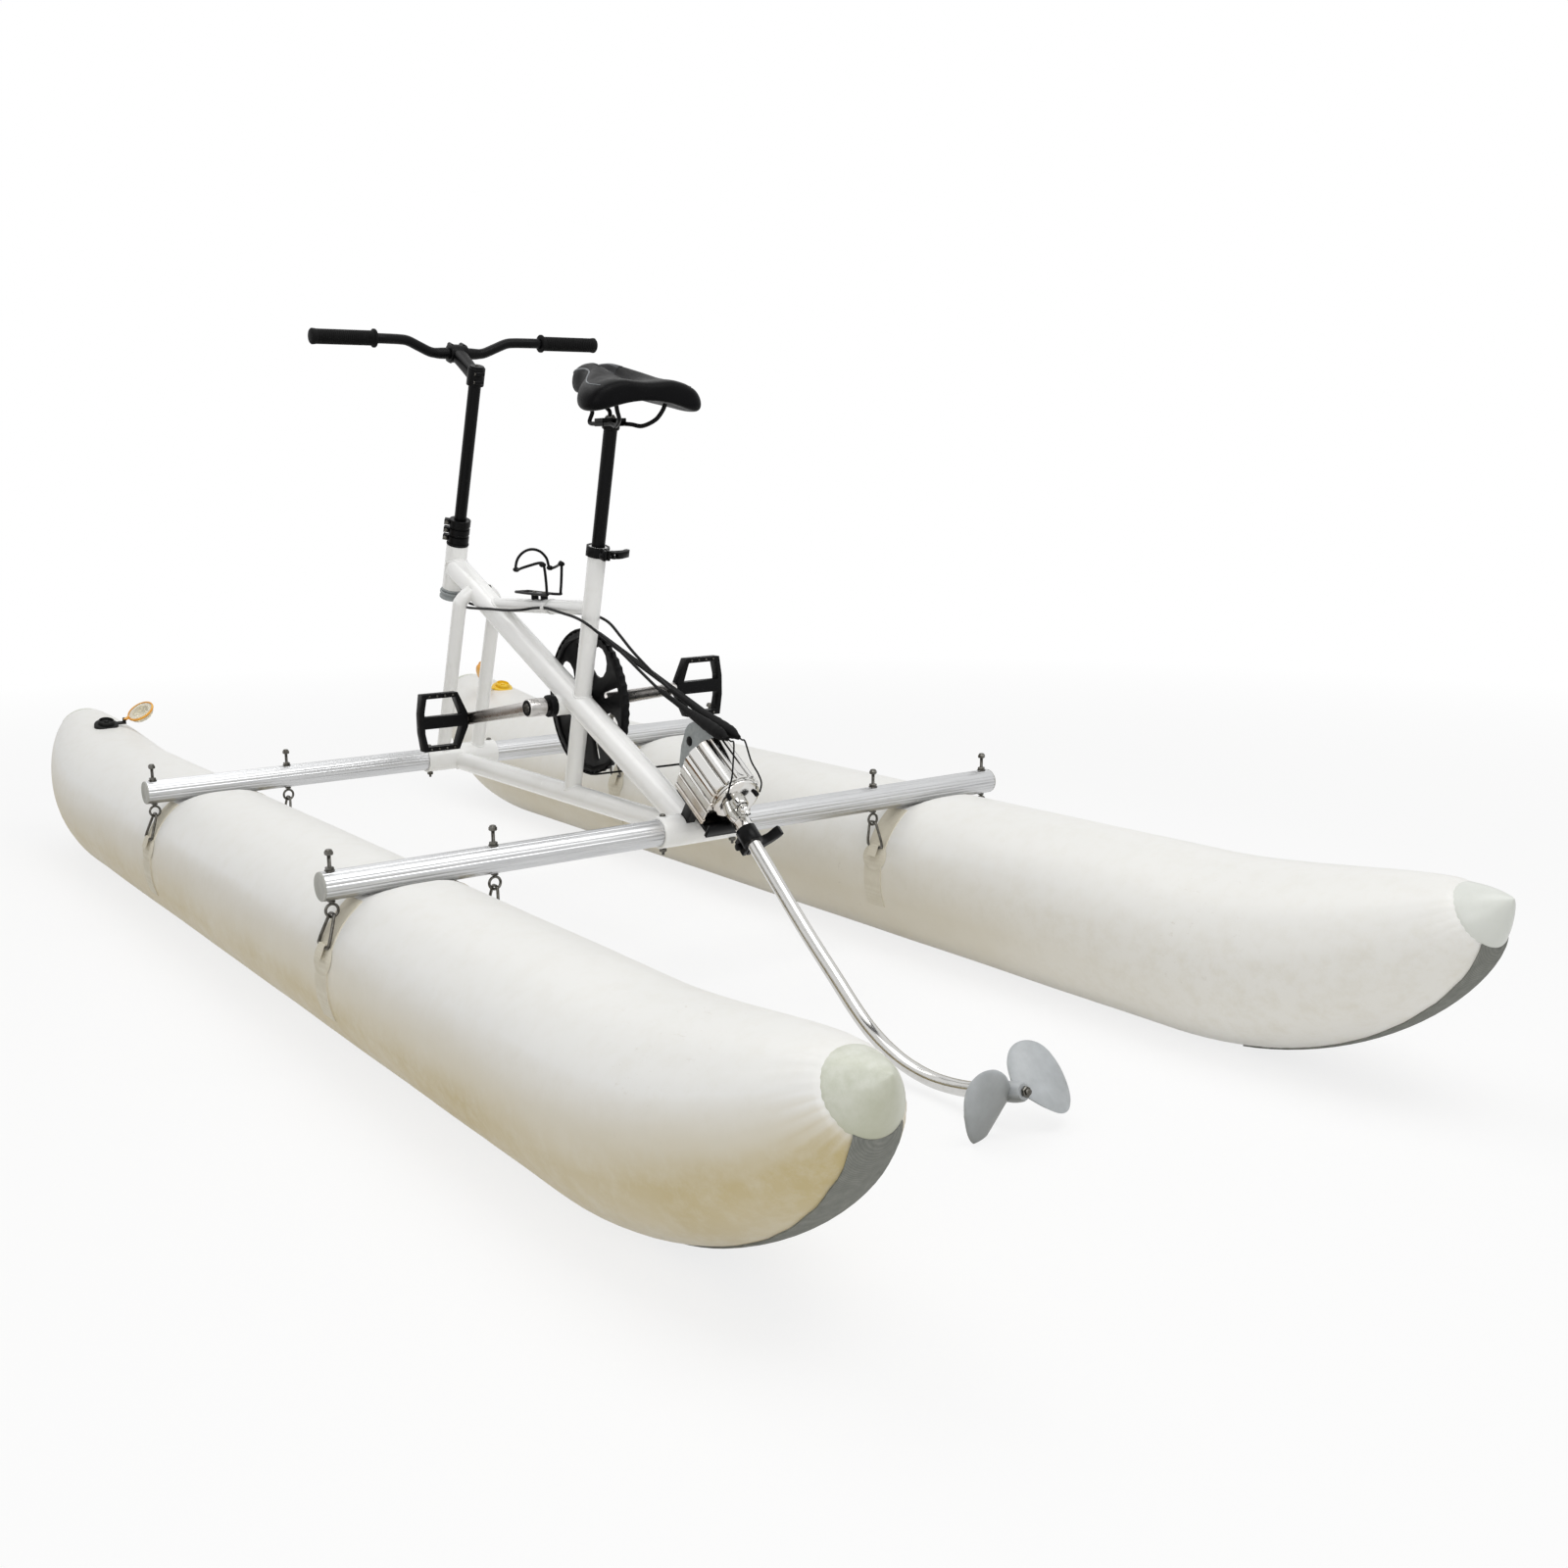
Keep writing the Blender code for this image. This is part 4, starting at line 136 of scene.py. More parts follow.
# Frame tubes
BASE_Z = BAR_Z - 0.011
BASE_RADIUS = 0.022
BASE_END = BAR_HALF_SPACING - 0.02
WALL = 0.0022
DOWN_RADIUS = 0.0275
DOWN_FRONT = at(0.45, 0, 0.76)
DOWN_REAR = at(-0.466, 0, 0.329)
DOWN_SLOPE = (DOWN_FRONT - DOWN_REAR).normalized()
STEER_POINT = at(0.489, 0, 0.768)
STEER_LEAN = radians(19)
HEAD_RADIUS = 0.025
HEAD_LOW = -0.045
HEAD_HIGH = 0.062
LEG_RADIUS = 0.016
LEG_OFFSET = 0.045
LEG_TOP = 0.703
SEAT_LEAN = radians(14.4)
SEAT_FOOT = -0.032
SEAT_TUBE_RADIUS = 0.0185
SEAT_TUBE_BORE = 0.0141
SEAT_TUBE_TOP = 0.838
SEAT_CROSSING = 0.52
TOP_RADIUS = 0.015
TOP_FRONT = at(0.258, 0, 0.699)
TOP_REAR = at(-0.081, 0, 0.712)
TOP_SLOPE = (TOP_REAR - TOP_FRONT).normalized()
BRACKET = at(-0.03, 0, 0.507)
BRACKET_RADIUS = 0.022
BRACKET_HALF = 0.036
CAGE_X = 0.02
TIE_X = 0.03

# Steering and seat
POST_RADIUS = 0.014
POST_BORE = POST_RADIUS + 0.0006
POST_TOP = 0.468
COLLAR_LOW = HEAD_HIGH + 0.0063
COLLAR_HEIGHT = 0.055
COLLAR_RADIUS = 0.0248
COLLAR_TURN = radians(58)
BAR_CLAMP = at(0.43, 0, 1.252)
HANDLEBAR_RADIUS = 0.011
HANDLEBAR_RISE = 0.026
HANDLEBAR_SWEEP = 0.017
GRIP_START = 0.2035
GRIP_END = 0.351
GRIP_RADIUS = 0.016
GRIP_PITCH = 0.0046
SEAT_POST_RADIUS = 0.0136
SEAT_POST_TOP = 1.064
SADDLE_BACK = -0.372
SADDLE_NOSE = -0.116
SADDLE_ROWS = 46
SADDLE_COLUMNS = 41
SADDLE_MIDDLE = SADDLE_COLUMNS // 2

# Drive and leg
DRIVE_POINT = at(-0.575, 0, 0.437)
DRIVE_TILT = radians(34.5)
DRIVE_AXIS = Vector((-cos(DRIVE_TILT), 0, -sin(DRIVE_TILT)))
DRIVE_UP = Vector((-sin(DRIVE_TILT), 0, cos(DRIVE_TILT)))
HOUSING_FRONT = -0.045
HOUSING_REAR = 0.062
HOUSING_RADIUS = 0.05
HOUSING_DEPTH = 0.064
HOUSING_EDGE = 0.0018
FLUTE_DEPTH = 0.0036
FLUTE_SPACING = 0.0215
HEAD_CAP_RADIUS = 0.0465
HEAD_CAP_LOW = HOUSING_REAR + 0.0003
HEAD_CAP_HIGH = HOUSING_REAR + 0.014
LEG_TUBE_RADIUS = 0.013
LEG_PATH = ((-0.657, 0.347), (-0.684, 0.324), (-0.824, 0.204), (-0.913, 0.134),
            (-0.965, 0.093), (-1.006, 0.066), (-1.052, 0.045), (-1.1, 0.032),
            (-1.16, 0.027), (-1.225, 0.034), (-1.287, 0.049))
PROPELLER = at(-1.332, 0, 0.063)
PROPELLER_RADIUS = 0.104
BLADE_CHORD = 0.108
BLADE_PITCH = radians(28)
BLADE_TWIST = radians(26)
BLADE_TURN = radians(8)

# Cranks
CRANK_LENGTH = 0.17
CRANK_DROP = radians(12)
PEDAL_PIN_Z = 0.056
PEDAL_PIN_Y = 0.1935
PEDAL_PIN_SPACING = 0.018
PEDAL_FACE = 0.0105

# Cables
CABLE_RADIUS = 0.003
CABLE_ROUTE = (
    (0.478, 0.008, 0.7), (0.44, 0.015, 0.69), (0.39, 0.0215, 0.687),
    (0.345, 0.0275, 0.688), (0.3, 0.0325, 0.69), (0.252, 0.033, 0.692),
    (0.185, 0.0325, 0.693), (0.119, 0.028, 0.697), (0.075, 0.021, 0.703),
    (0.03, 0.019, 0.706), (-0.01, 0.0205, 0.704), (-0.06, 0.0235, 0.7),
    (-0.112, 0.0255, 0.695), (-0.16, 0.0255, 0.684), (-0.215, 0.019, 0.66),
    (-0.268, 0.013, 0.635), (-0.335, 0.0115, 0.603), (-0.4, 0.0115, 0.574))
BOOT_KNEE = (-0.505, 0.0118, 0.541)
BOOT_END = (-0.623, 0.0125, 0.508)
BOOT_RADIUS = 0.0105
BOOT_SIZES = (0.4, 0.46, 0.48, 0.5, 0.58, 0.72, 0.92, 1.08, 1.1, 0.96, 0.62, 0.42)
WIRE_RADIUS = 0.0016

# Valves
VALVE_X = 1.468
VALVE_LIFT = 0.0022
VALVE_RADIUS = 0.031
NECK_RADIUS = 0.021
VALVE_CAP_RADIUS = 0.037
VALVE_CAP_ROOF = 0.022
HINGE_REACH = VALVE_CAP_RADIUS + 0.01
HINGE_Z = 0.0105
CAP_OPEN = {1: radians(150), -1: radians(110)}


# Geometry

def axis_frame(origin, axis, across=X):
    """Matrix whose Z is the axis; its X lies as near as possible to the given direction."""
    z = Vector(axis).normalized()
    x = (across - z * across.dot(z)).normalized()
    m = Matrix((x, z.cross(x), z)).transposed().to_4x4()
    m.translation = origin
    return m


def moved(m, x, y, z):
    return m @ Matrix.Translation(Vector((x, y, z)))


def turns(count):
    """Angles of a full turn in equal steps."""
    return [2 * pi * k / count for k in range(count)]


def arc(m, radius, angles, height=0):
    return [m @ Vector((radius * cos(a), radius * sin(a), height)) for a in angles]


def flattened(value, power):
    """Power of a sine or cosine that keeps its sign, for ovals with flat sides."""
    return copysign(abs(value) ** power, value)


def oval(centre, across, up, sides, power_across=1, power_up=1):
    return [centre + across * flattened(cos(a), power_across)
            + up * flattened(sin(a), power_up) for a in turns(sides)]


def skin(bm, rings, loop=False):
    """Join rings of points into one closed body. A ring of one point closes to a tip."""
    made = [[bm.verts.new(p) for p in ring] for ring in rings]
    for low, high in zip(made, made[1:] + made[:1] if loop else made[1:]):
        count = max(len(low), len(high))
        for k in range(count):
            n = (k + 1) % count
            corners = list(dict.fromkeys((low[k % len(low)], low[n % len(low)],
                                          high[n % len(high)], high[k % len(high)])))
            if len(corners) > 2:
                bm.faces.new(corners)
    for ring in () if loop else (made[0], made[-1]):
        if len(ring) > 2:
            bm.faces.new(ring)


def lathe(bm, m, profile, sides, loop=None):
    """Turn a profile of (radius, height) pairs about the matrix's Z.

    Unless told otherwise, a profile that starts and ends off the axis closes on itself.
    """
    if loop is None:
        loop = profile[0][0] > 0 and profile[-1][0] > 0
    skin(bm, [arc(m, r, turns(sides) if r else [0], h) for r, h in profile], loop)


def rounded(low, high, radius, edge, inner=0, steps=3):
    """Profile of a disc or, with an inner radius, of a collar whose outer edges are rounded."""
    turn = [pi / 2 * k / steps for k in range(steps + 1)]
    outer = [(radius - edge + edge * sin(a), low + edge - edge * cos(a)) for a in turn]
    outer += [(radius - edge + edge * cos(a), high - edge + edge * sin(a)) for a in turn]
    return [(inner, low)] + outer + [(inner, high)]


def socket_head(base, radius, rim, hole, top, floor):
    """Profile of a screw head with a round socket."""
    return ((0, base), (radius, base), (radius, rim), (hole, top), (hole - 0.0002, floor),
            (0, floor))


def box(bm, m, low, high):
    skin(bm, [[m @ Vector((x, y, z)) for x, y in
               ((low[0], low[1]), (high[0], low[1]), (high[0], high[1]), (low[0], high[1]))]
              for z in (low[2], high[2])])


def smooth_path(points, per=6, loop=False):
    """Points of a smooth curve through the given ones."""
    count = len(points)
    out = []
    for i in range(count if loop else count - 1):
        a, b, c, d = (points[(i + k) % count if loop else min(max(i + k, 0), count - 1)]
                      for k in (-1, 0, 1, 2))
        for t in (k / per for k in range(per)):
            out.append(0.5 * (2 * b + (c - a) * t + (2 * a - 5 * b + 4 * c - d) * t * t
                              + (3 * b - a - 3 * c + d) * t ** 3))
    return out if loop else out + [points[-1].copy()]


def sweep_rings(path, radii, sides, loop=False, side=Y, shape=None):
    """Rings of a tube along a path; shape gives a factor of the radius at each angle."""
    count = len(path)
    rings = []
    across = side
    for i, point in enumerate(path):
        before = path[i - 1] if i or loop else point
        after = path[(i + 1) % count] if i + 1 < count or loop else point
        along = ((after - point).normalized() + (point - before).normalized()).normalized()
        if abs(along.dot(across)) > 0.98:
            across = X if abs(along.x) < 0.9 else Z
        across = (across - along * across.dot(along)).normalized()
        up = along.cross(across)
        radius = radii[i] if isinstance(radii, list) else radii
        rings.append([point + (across * cos(a) + up * sin(a))
                      * (radius * (shape(a) if shape else 1)) for a in turns(sides)])
    return rings


def rod(bm, path, radii, sides, loop=False, side=Y):
    skin(bm, sweep_rings(path, radii, sides, loop, side), loop)


def pipe(bm, path, radius, wall, sides, side=Y, shape=None):
    outer = sweep_rings(path, radius, sides, side=side, shape=shape)
    inner = sweep_rings(path, radius - wall, sides, side=side)
    skin(bm, outer + inner[::-1], loop=True)


def hex_nut(bm, m, radius, low, high):
    """Six-sided nut with chamfered corners."""
    edge = (high - low) * 0.18
    lathe(bm, m, ((radius * 0.86, low), (radius, low + edge), (radius, high - edge),
                  (radius * 0.86, high)), 6, loop=False)


def thread(radius, low, high):
    """Profile of a threaded rod, as rings of two radii."""
    turn_starts = [low + k * THREAD_PITCH for k in range(int((high - low) / THREAD_PITCH) + 1)]
    return [ring for z in turn_starts
            for ring in ((radius * 0.86, z), (radius, z + THREAD_PITCH * 0.5))]


# Pieces

MATERIALS = {}
# Slots of the looks whose slot has another name, or that have none
SLOTS = {"cap_fabric": "end_cap", "plug_grey": "black_plastic", "cable_black": "grip_rubber",
         "saddle_seam": "saddle_cover", "saddle_panel": "saddle_cover",
         "yellow_plastic": "valve_rubber", "clear_plastic": "valve_cap_plastic",
         "orange_rubber_and_shade": "valve_cap_plastic", "propeller_grey": "propeller_plastic",
         "strip_weave": None, "webbing": None, "white_plastic": None}


def linked(name, data):
    obj = bpy.data.objects.new(name, data)
    bpy.context.scene.collection.objects.link(obj)
    return obj


def mesh_object(name, bm, look):
    mesh = bpy.data.meshes.new(name)
    bm.to_mesh(mesh)
    bm.free()
    mesh.materials.append(MATERIALS[look])
    return linked(name, mesh)


def piece(name, bm, look, body="craft", node=None, slot=None, smooth=38, bevel=0,
          subdivide=0):
    bmesh.ops.recalc_face_normals(bm, faces=bm.faces)
    obj = mesh_object(name, bm, look)
    obj.data.shade_smooth()
    if smooth:
        obj.data.set_sharp_from_angle(angle=radians(smooth))
    if bevel:
        add_bevel(obj, bevel)
    if subdivide:
        mod = obj.modifiers.new("round", "SUBSURF")
        mod.levels = mod.render_levels = subdivide
    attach(obj, body)
    slot = slot or SLOTS.get(look, look)
    if node:
        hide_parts(node)
    return obj


def turned(name, m, profile, sides, look, body="craft", node=None, **finish):
    """Piece made of one turned body."""
    bm = bmesh.new()
    lathe(bm, m, profile, sides)
    piece(name, bm, look, body, node, **finish)


def add_bevel(obj, width):
    mod = obj.modifiers.new("edges", "BEVEL")
    mod.width = width
    mod.segments = 2
    mod.limit_method = "ANGLE"
    mod.angle_limit = radians(38)
    mod.harden_normals = True


def dress(nodes, look, bevel=0):
    """Give CAD nodes their finish, with rounded edges where they are hard."""
    for node in nodes:
        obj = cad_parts[node]
        obj.data.materials.clear()
        obj.data.materials.append(MATERIALS[look])
        obj.modifiers.new("weld", "WELD").merge_threshold = 0.00002
        if bevel:
            add_bevel(obj, bevel)
        for polygon in obj.data.polygons:
            polygon.use_smooth = True
        obj.modifiers.new("creases", "EDGE_SPLIT").split_angle = radians(38)


# Materials

def add_node(tree, kind, output, inputs, **settings):
    """Add a node, set or link its inputs, and give back one of its outputs."""
    node = tree.nodes.new("ShaderNode" + kind)
    for key, value in settings.items():
        setattr(node, key, value)
    for key, value in inputs.items():
        if isinstance(value, bpy.types.NodeSocket):
            tree.links.new(value, node.inputs[key])
        else:
            node.inputs[key].default_value = value
    return node.outputs[output]


def seen_rays(tree):
    """One for the rays of the camera, of reflections and of clear plastic, else zero."""
    kinds = [add_node(tree, "LightPath", "Is %s Ray" % kind, {})
             for kind in ("Camera", "Glossy", "Transmission")]
    first = add_node(tree, "Math", "Value", {0: kinds[0], 1: kinds[1]}, operation="MAXIMUM")
    return add_node(tree, "Math", "Value", {0: first, 1: kinds[2]}, operation="MAXIMUM")


class Look:
    """A Principled material and the few kinds of node that these looks use."""

    def __init__(self, name, colour, roughness=0.5, metallic=0, **inputs):
        self.material = bpy.data.materials.new(name)
        self.material.use_nodes = True
        self.tree = self.material.node_tree
        self.shader = self.tree.nodes["Principled BSDF"]
        self.colour = (*colour, 1)
        inputs.update(base_color=self.colour, roughness=roughness, metallic=metallic)
        for key, value in inputs.items():
            key = key.replace("_", " ").title().replace("Ior", "IOR")
            self.shader.inputs[key].default_value = value
        self.material.diffuse_color = self.colour
        self.place = self.add("TexCoord", "Object", {})
        MATERIALS[name] = self.material

    def add(self, kind, output, inputs, **settings):
        return add_node(self.tree, kind, output, inputs, **settings)

    def feed(self, socket, value):
        self.tree.links.new(value, self.shader.inputs[socket])

    def noise(self, scale, detail=3, rough=0.5, stretch=None):
        place = self.place
        if stretch:
            place = self.add("Mapping", "Vector", {"Vector": place, "Scale": stretch})
        return self.add("TexNoise", "Fac", {"Vector": place, "Scale": scale,
                                            "Detail": detail, "Roughness": rough})

    def wave(self, scale, direction, distortion=0):
        return self.add("TexWave", "Fac", {"Vector": self.place, "Scale": scale,
                                           "Distortion": distortion},
                        bands_direction=direction)

    def weave(self, scale, other_way, distortion):
        return self.math("MAXIMUM", self.wave(scale, "X", distortion),
                         self.wave(scale, other_way, distortion))

    def spread(self, value, low, high, to_low=0, to_high=1):
        return self.add("MapRange", "Result", {"Value": value, "From Min": low,
                                               "From Max": high, "To Min": to_low,
                                               "To Max": to_high})

    def cloud(self, grain, *limits):
        """Noise, spread between limits."""
        return self.spread(self.noise(*grain), *limits)

    def math(self, kind, first, second):
        return self.add("Math", "Value", {0: first, 1: second}, operation=kind)

    def times(self, first, second):
        return self.math("MULTIPLY", first, second)

    def axis(self, letter):
        return self.add("SeparateXYZ", letter, {"Vector": self.place})

    def facing_up(self, *limits):
        """Upward part of the surface's own direction, spread between limits."""
        normal = self.add("NewGeometry", "Normal", {})
        return self.spread(self.add("SeparateXYZ", "Z", {"Vector": normal}), *limits)

    def near(self, point, radius):
        """One at a point of the row frame, falling to zero at the radius."""
        distance = self.add("VectorMath", "Value", {0: self.place, 1: point},
                            operation="DISTANCE")
        return self.spread(distance, 0, radius, 1, 0)

    def tint(self, factor, other, base=None):
        """Colour the shader between its own colour and another."""
        base = self.colour if base is None else base
        result = self.add("Mix", 2, {"Factor": factor, 6: base, 7: (*other, 1)},
                          data_type="RGBA")
        self.feed("Base Color", result)
        return result

    def rough(self, grain, low, high):
        self.feed("Roughness", self.cloud(grain, 0, 1, low, high))

    def bump(self, height, strength, distance):
        self.feed("Normal", self.add("Bump", "Normal", {
            "Height": height, "Strength": strength, "Distance": distance}))


def clouded(name, colour, roughness, grain, limits, other, bump=None, rough=None, **inputs):
    """Look whose colour is clouded by noise, and where given its height and roughness too."""
    look = Look(name, colour, roughness, **inputs)
    look.tint(look.cloud(grain, *limits), other)
    if bump:
        look.bump(look.noise(*bump[0]), *bump[1:])
    if rough:
        look.rough(*rough)
    return look


def make_float_fabric():
    look = Look("float_fabric", (0.87, 0.865, 0.835), 0.42, sheen_weight=0.05)
    # Painted shade: fabric that faces down is tinted cream, with a cloudy strength, stronger on
    # the left float and weaker near the right stern.
    low = look.facing_up(0.5, -0.26)
    underside_shade = look.times(look.cloud((2.6, 5, 0.6), 0.3, 0.7, 0.66, 1),
                      look.spread(look.axis("Y"), -0.45, 0.45, 0.6, 1))
    paler_near_stern = look.spread(look.near(at(-1.55, -FLOAT_TRACK, 0.1), 1), 0, 0.75, 1, 0.2)
    underside_shade = look.times(underside_shade, paler_near_stern)
    cream = look.tint(look.times(low, underside_shade), (0.52, 0.415, 0.185))
    # The mottle is painted stronger on the underside too, as part of the painted shade.
    mottle = look.cloud((30, 6, 0.7), 0.45, 0.75, 0, 0.45)
    cream = look.tint(look.times(mottle, look.spread(low, 0, 0.6, 0.35, 1)),
                      (0.7, 0.66, 0.55), cream)
    marks = look.cloud((60, 6, 0.8, (1, 2.5, 1)), 0.6, 0.72)
    for x, side, inward, z in ((-1.46, 1, -0.1, 0.1), (-1.4, 1, 0.05, 0.28),
                               (-1.3, -1, 0.1, 0.22), (-0.4, -1, 0.14, 0.12)):
        scuff = look.times(marks, look.near(at(x, side * FLOAT_TRACK + inward, z), 0.16))
        cream = look.tint(look.times(scuff, 0.75), (0.5, 0.44, 0.34), cream)
    grain = look.math("ADD", look.times(look.weave(420, "Z", 0.4), 0.35), look.noise(500, 2))
    look.bump(grain, 0.1, 0.0006)
    look.rough((90, 3), 0.34, 0.52)


def make_cap_fabric():
    look = Look("cap_fabric", (0.6, 0.62, 0.51), 0.34)
    pale = look.tint(look.cloud((34, 6, 0.68), 0.38, 0.64), (0.72, 0.735, 0.65))
    # Painted shade: cap fabric that faces down is darkened to olive; near the right stern's tip
    # the cap is tinted paler.
    underside_shade = look.tint(look.facing_up(0.5, -0.45, 0, 0.9), (0.47, 0.475, 0.35), pale)
    paler_near_stern = look.spread(look.near(at(-1.65, -FLOAT_TRACK, 0.35), 0.6), 0, 0.6, 0, 0.75)
    look.tint(paler_near_stern, (0.76, 0.78, 0.75), underside_shade)
    look.bump(look.noise(420, 3), 0.12, 0.0006)


def make_weaves():
    for name, colour, other in (("strip_weave", (0.155, 0.16, 0.145), (0.33, 0.335, 0.3)),
                                ("webbing", (0.66, 0.61, 0.49), (0.78, 0.74, 0.63))):
        look = Look(name, colour, 0.8, specular_ior_level=0.2)
        weave = look.weave(180, "Y", 0.6)
        look.tint(look.times(weave, look.noise(70, 4)), other)
        look.bump(weave, 0.35, 0.0008)


def make_paints_and_metals():
    clouded("frame_paint", (0.95, 0.948, 0.93), 0.24, (26, 5, 0.65), (0.52, 0.8, 0, 0.5),
            (0.84, 0.835, 0.79), ((240, 2), 0.05, 0.0006), ((60, 3), 0.16, 0.32),
            coat_weight=0.4, coat_roughness=0.08)
    clouded("black_paint", (0.0022, 0.0022, 0.0025), 0.3, (120, 5, 0.7),
            (0.6, 0.85, 0, 0.6), (0.014, 0.014, 0.015), ((420, 2), 0.06, 0.0004),
            ((80, 3), 0.24, 0.42), specular_ior_level=0.12)
    clouded("cast_grey", (0.3, 0.325, 0.33), 0.58, (150, 5, 0.7), (0.4, 0.75),
            (0.4, 0.42, 0.42), ((700, 3), 0.3, 0.0005), metallic=0.25)
    drawn = (40, 4, 0.6, (20, 0.25, 20))
    clouded("bar_aluminium", (0.66, 0.665, 0.67), 0.3, drawn, (0.35, 0.7),
            (0.5, 0.505, 0.51), (drawn, 0.08, 0.0004), (drawn, 0.2, 0.4), metallic=1)
    rubbed = (90, 4, 0.6, (0.5, 6, 0.5))
    clouded("stainless", (0.62, 0.615, 0.6), 0.11, rubbed, (0.45, 0.8, 0, 0.6),
            (0.45, 0.435, 0.4), rough=(rubbed, 0.07, 0.18), metallic=1)
    clouded("steel", (0.17, 0.165, 0.15), 0.26, (160, 4), (0.35, 0.7),
            (0.07, 0.065, 0.055), rough=((220, 3), 0.18, 0.42), metallic=1)
    # Painted reflection: large brown clouds in the polished alloy's colour stand for warm
    # surroundings reflected in it.
    clouded("polished_alloy", (0.7, 0.695, 0.675), 0.1, (9, 3), (0.46, 0.6, 0, 0.8),
            (0.42, 0.33, 0.24), rough=((60, 4), 0.07, 0.17), metallic=1)
    # Painted shade: dark metal for the hollows of the gearbox flutes.
    clouded("groove_shade", (0.1, 0.09, 0.08), 0.35, (90, 3), (0, 1), (0.22, 0.2, 0.17),
            metallic=0.8)
    look = Look("crank_alloy", (0.62, 0.6, 0.58), 0.26, metallic=1)
    # Painted reflection: the crank arm's colour darkens to brown towards the pedal end.
    look.tint(look.spread(look.axis("X"), BRACKET.x + 0.02, BRACKET.x + CRANK_LENGTH * 0.95),
              (0.1, 0.085, 0.07))
    look.rough((120, 4), 0.2, 0.38)


def make_plastics():
    for name, colour, low, high, grain in (
            ("black_plastic", (0.0032, 0.0032, 0.0036), 0.35, 0.52, 380),
            ("grip_rubber", (0.0045, 0.0045, 0.0045), 0.55, 0.8, 900),
            ("belt_rubber", (0.005, 0.005, 0.005), 0.6, 0.85, 600),
            ("cable_black", (0.004, 0.004, 0.004), 0.3, 0.48, 500),
            ("valve_rubber", (0.012, 0.012, 0.012), 0.45, 0.65, 500)):
        clouded(name, colour, (low + high) / 2, (70, 5, 0.7), (0.55, 0.85, 0, 0.5),
                [c * 3.5 for c in colour], ((grain, 3), 0.18, 0.0005),
                ((110, 3), low, high), specular_ior_level=0.12)
    look = Look("propeller_grey", (0.4, 0.42, 0.43), 0.36)
    cloud = look.tint(look.cloud((30, 5, 0.6), 0.35, 0.75), (0.5, 0.525, 0.54))
    # Painted shade: blade faces that look down are darkened.
    look.tint(look.facing_up(0.1, -0.4, 0, 0.9), (0.17, 0.175, 0.16), cloud)
    look.bump(look.noise(300, 3), 0.08, 0.0005)
    clouded("white_plastic", (0.86, 0.86, 0.84), 0.35, (50, 3), (0, 1), (0.8, 0.8, 0.77))
    clouded("plug_grey", (0.36, 0.36, 0.33), 0.5, (60, 4), (0, 1), (0.46, 0.46, 0.42),
            ((350, 2), 0.1, 0.0005))
    clouded("orange_rubber_and_shade", (0.84, 0.36, 0.03), 0.38, (70, 4), (0.4, 0.75),
            (0.9, 0.52, 0.08))
    clouded("yellow_plastic", (0.9, 0.62, 0.03), 0.32, (70, 4), (0.4, 0.75),
            (0.82, 0.5, 0.02))
    clouded("clear_plastic", (0.86, 0.8, 0.62), 0.16, (40, 3), (0, 1), (0.96, 0.93, 0.84),
            rough=((60, 3), 0.06, 0.2), transmission_weight=0.35, ior=1.3)


def make_saddle_covers():
    for name, colour, grain in (("saddle_cover", (0.002, 0.002, 0.0024), 520),
                                ("saddle_panel", (0.012, 0.0125, 0.014), 260),
                                ("saddle_seam", (0.2, 0.21, 0.22), 700)):
        look = Look(name, colour, 0.42, specular_ior_level=0.07)
        worn = look.tint(look.cloud((45, 4), 0.5, 0.85, 0, 0.5), [c * 2.2 for c in colour])
        if name == "saddle_panel":
            # Painted highlight: grey stripes on the channel panel near the saddle's nose.
            nose = at(SADDLE_NOSE - 0.01, 0, SEAT_POST_TOP + 0.125)
            stripes = look.spread(look.wave(26, "Y"), 0.55, 0.7)
            fade = look.spread(look.near(nose, 0.11), 0, 0.45)
            look.tint(look.times(stripes, fade), (0.24, 0.25, 0.27), worn)
        pores = look.add("TexVoronoi", "Distance", {"Vector": look.place, "Scale": grain})
        look.bump(look.spread(pores, 0, 0.45), 0.22, 0.0006)
        look.rough((60, 3), 0.3, 0.52)


# Floats

class FloatEnd:
    """One turned-up end of a float, on the same formula as the CAD solid."""

    def __init__(self, **shape):
        self.__dict__.update(shape)

    def frame(self, t, y):
        a = self.bend * t
        along = Vector((self.sign * cos(a), 0, sin(a)))
        up = Vector((-self.sign * sin(a), 0, cos(a)))
        m = Matrix((Y, up, along)).transposed().to_4x4()
        m.translation = at(self.sign * (self.straight + self.bend_radius * sin(a)), y,
                           FLOAT_Z + self.bend_radius * (1 - cos(a)))
        return m

    def radius(self, t):
        shape = max(0, 1 - t ** self.fullness) ** (1 / self.bluntness)
        return self.end_radius + (FLOAT_RADIUS - self.end_radius) * shape

    def keel(self, t):
        return self.frame(t, 0).translation.z - self.radius(t) * cos(self.bend * t)

    def ring(self, t, y, angles):
        """Ring of the fabric, with its unevenness and its puckers near the cap."""
        m = self.frame(t, y)
        pucker = 0.0006 * max(0, (t - 0.86) / 0.14)
        ring = []
        for a in angles:
            uneven = ripple(m @ Vector((cos(a), sin(a), 0))) - 0.0009
            r = self.radius(t) + uneven + pucker * cos(a * 30)
            p = m @ Vector((r * cos(a), r * sin(a), 0))
            ring.append(Vector((p.x, p.y, max(p.z, FLOAT_FOOT))))
        return ring


BOW = FloatEnd(sign=1, straight=1.166, bend_radius=0.894, bend=radians(34.4),
               end_radius=0.0615, fullness=2.55, bluntness=1.18, cap=0.0545)
STERN = FloatEnd(sign=-1, straight=1.202, bend_radius=0.84, bend=radians(35.4),
                 end_radius=0.0525, fullness=2.3, bluntness=1.3, cap=0.0575)
BEND_SHARES = [1 - (1 - k / BEND_STEPS) ** BEND_CROWDING for k in range(1, BEND_STEPS + 1)]


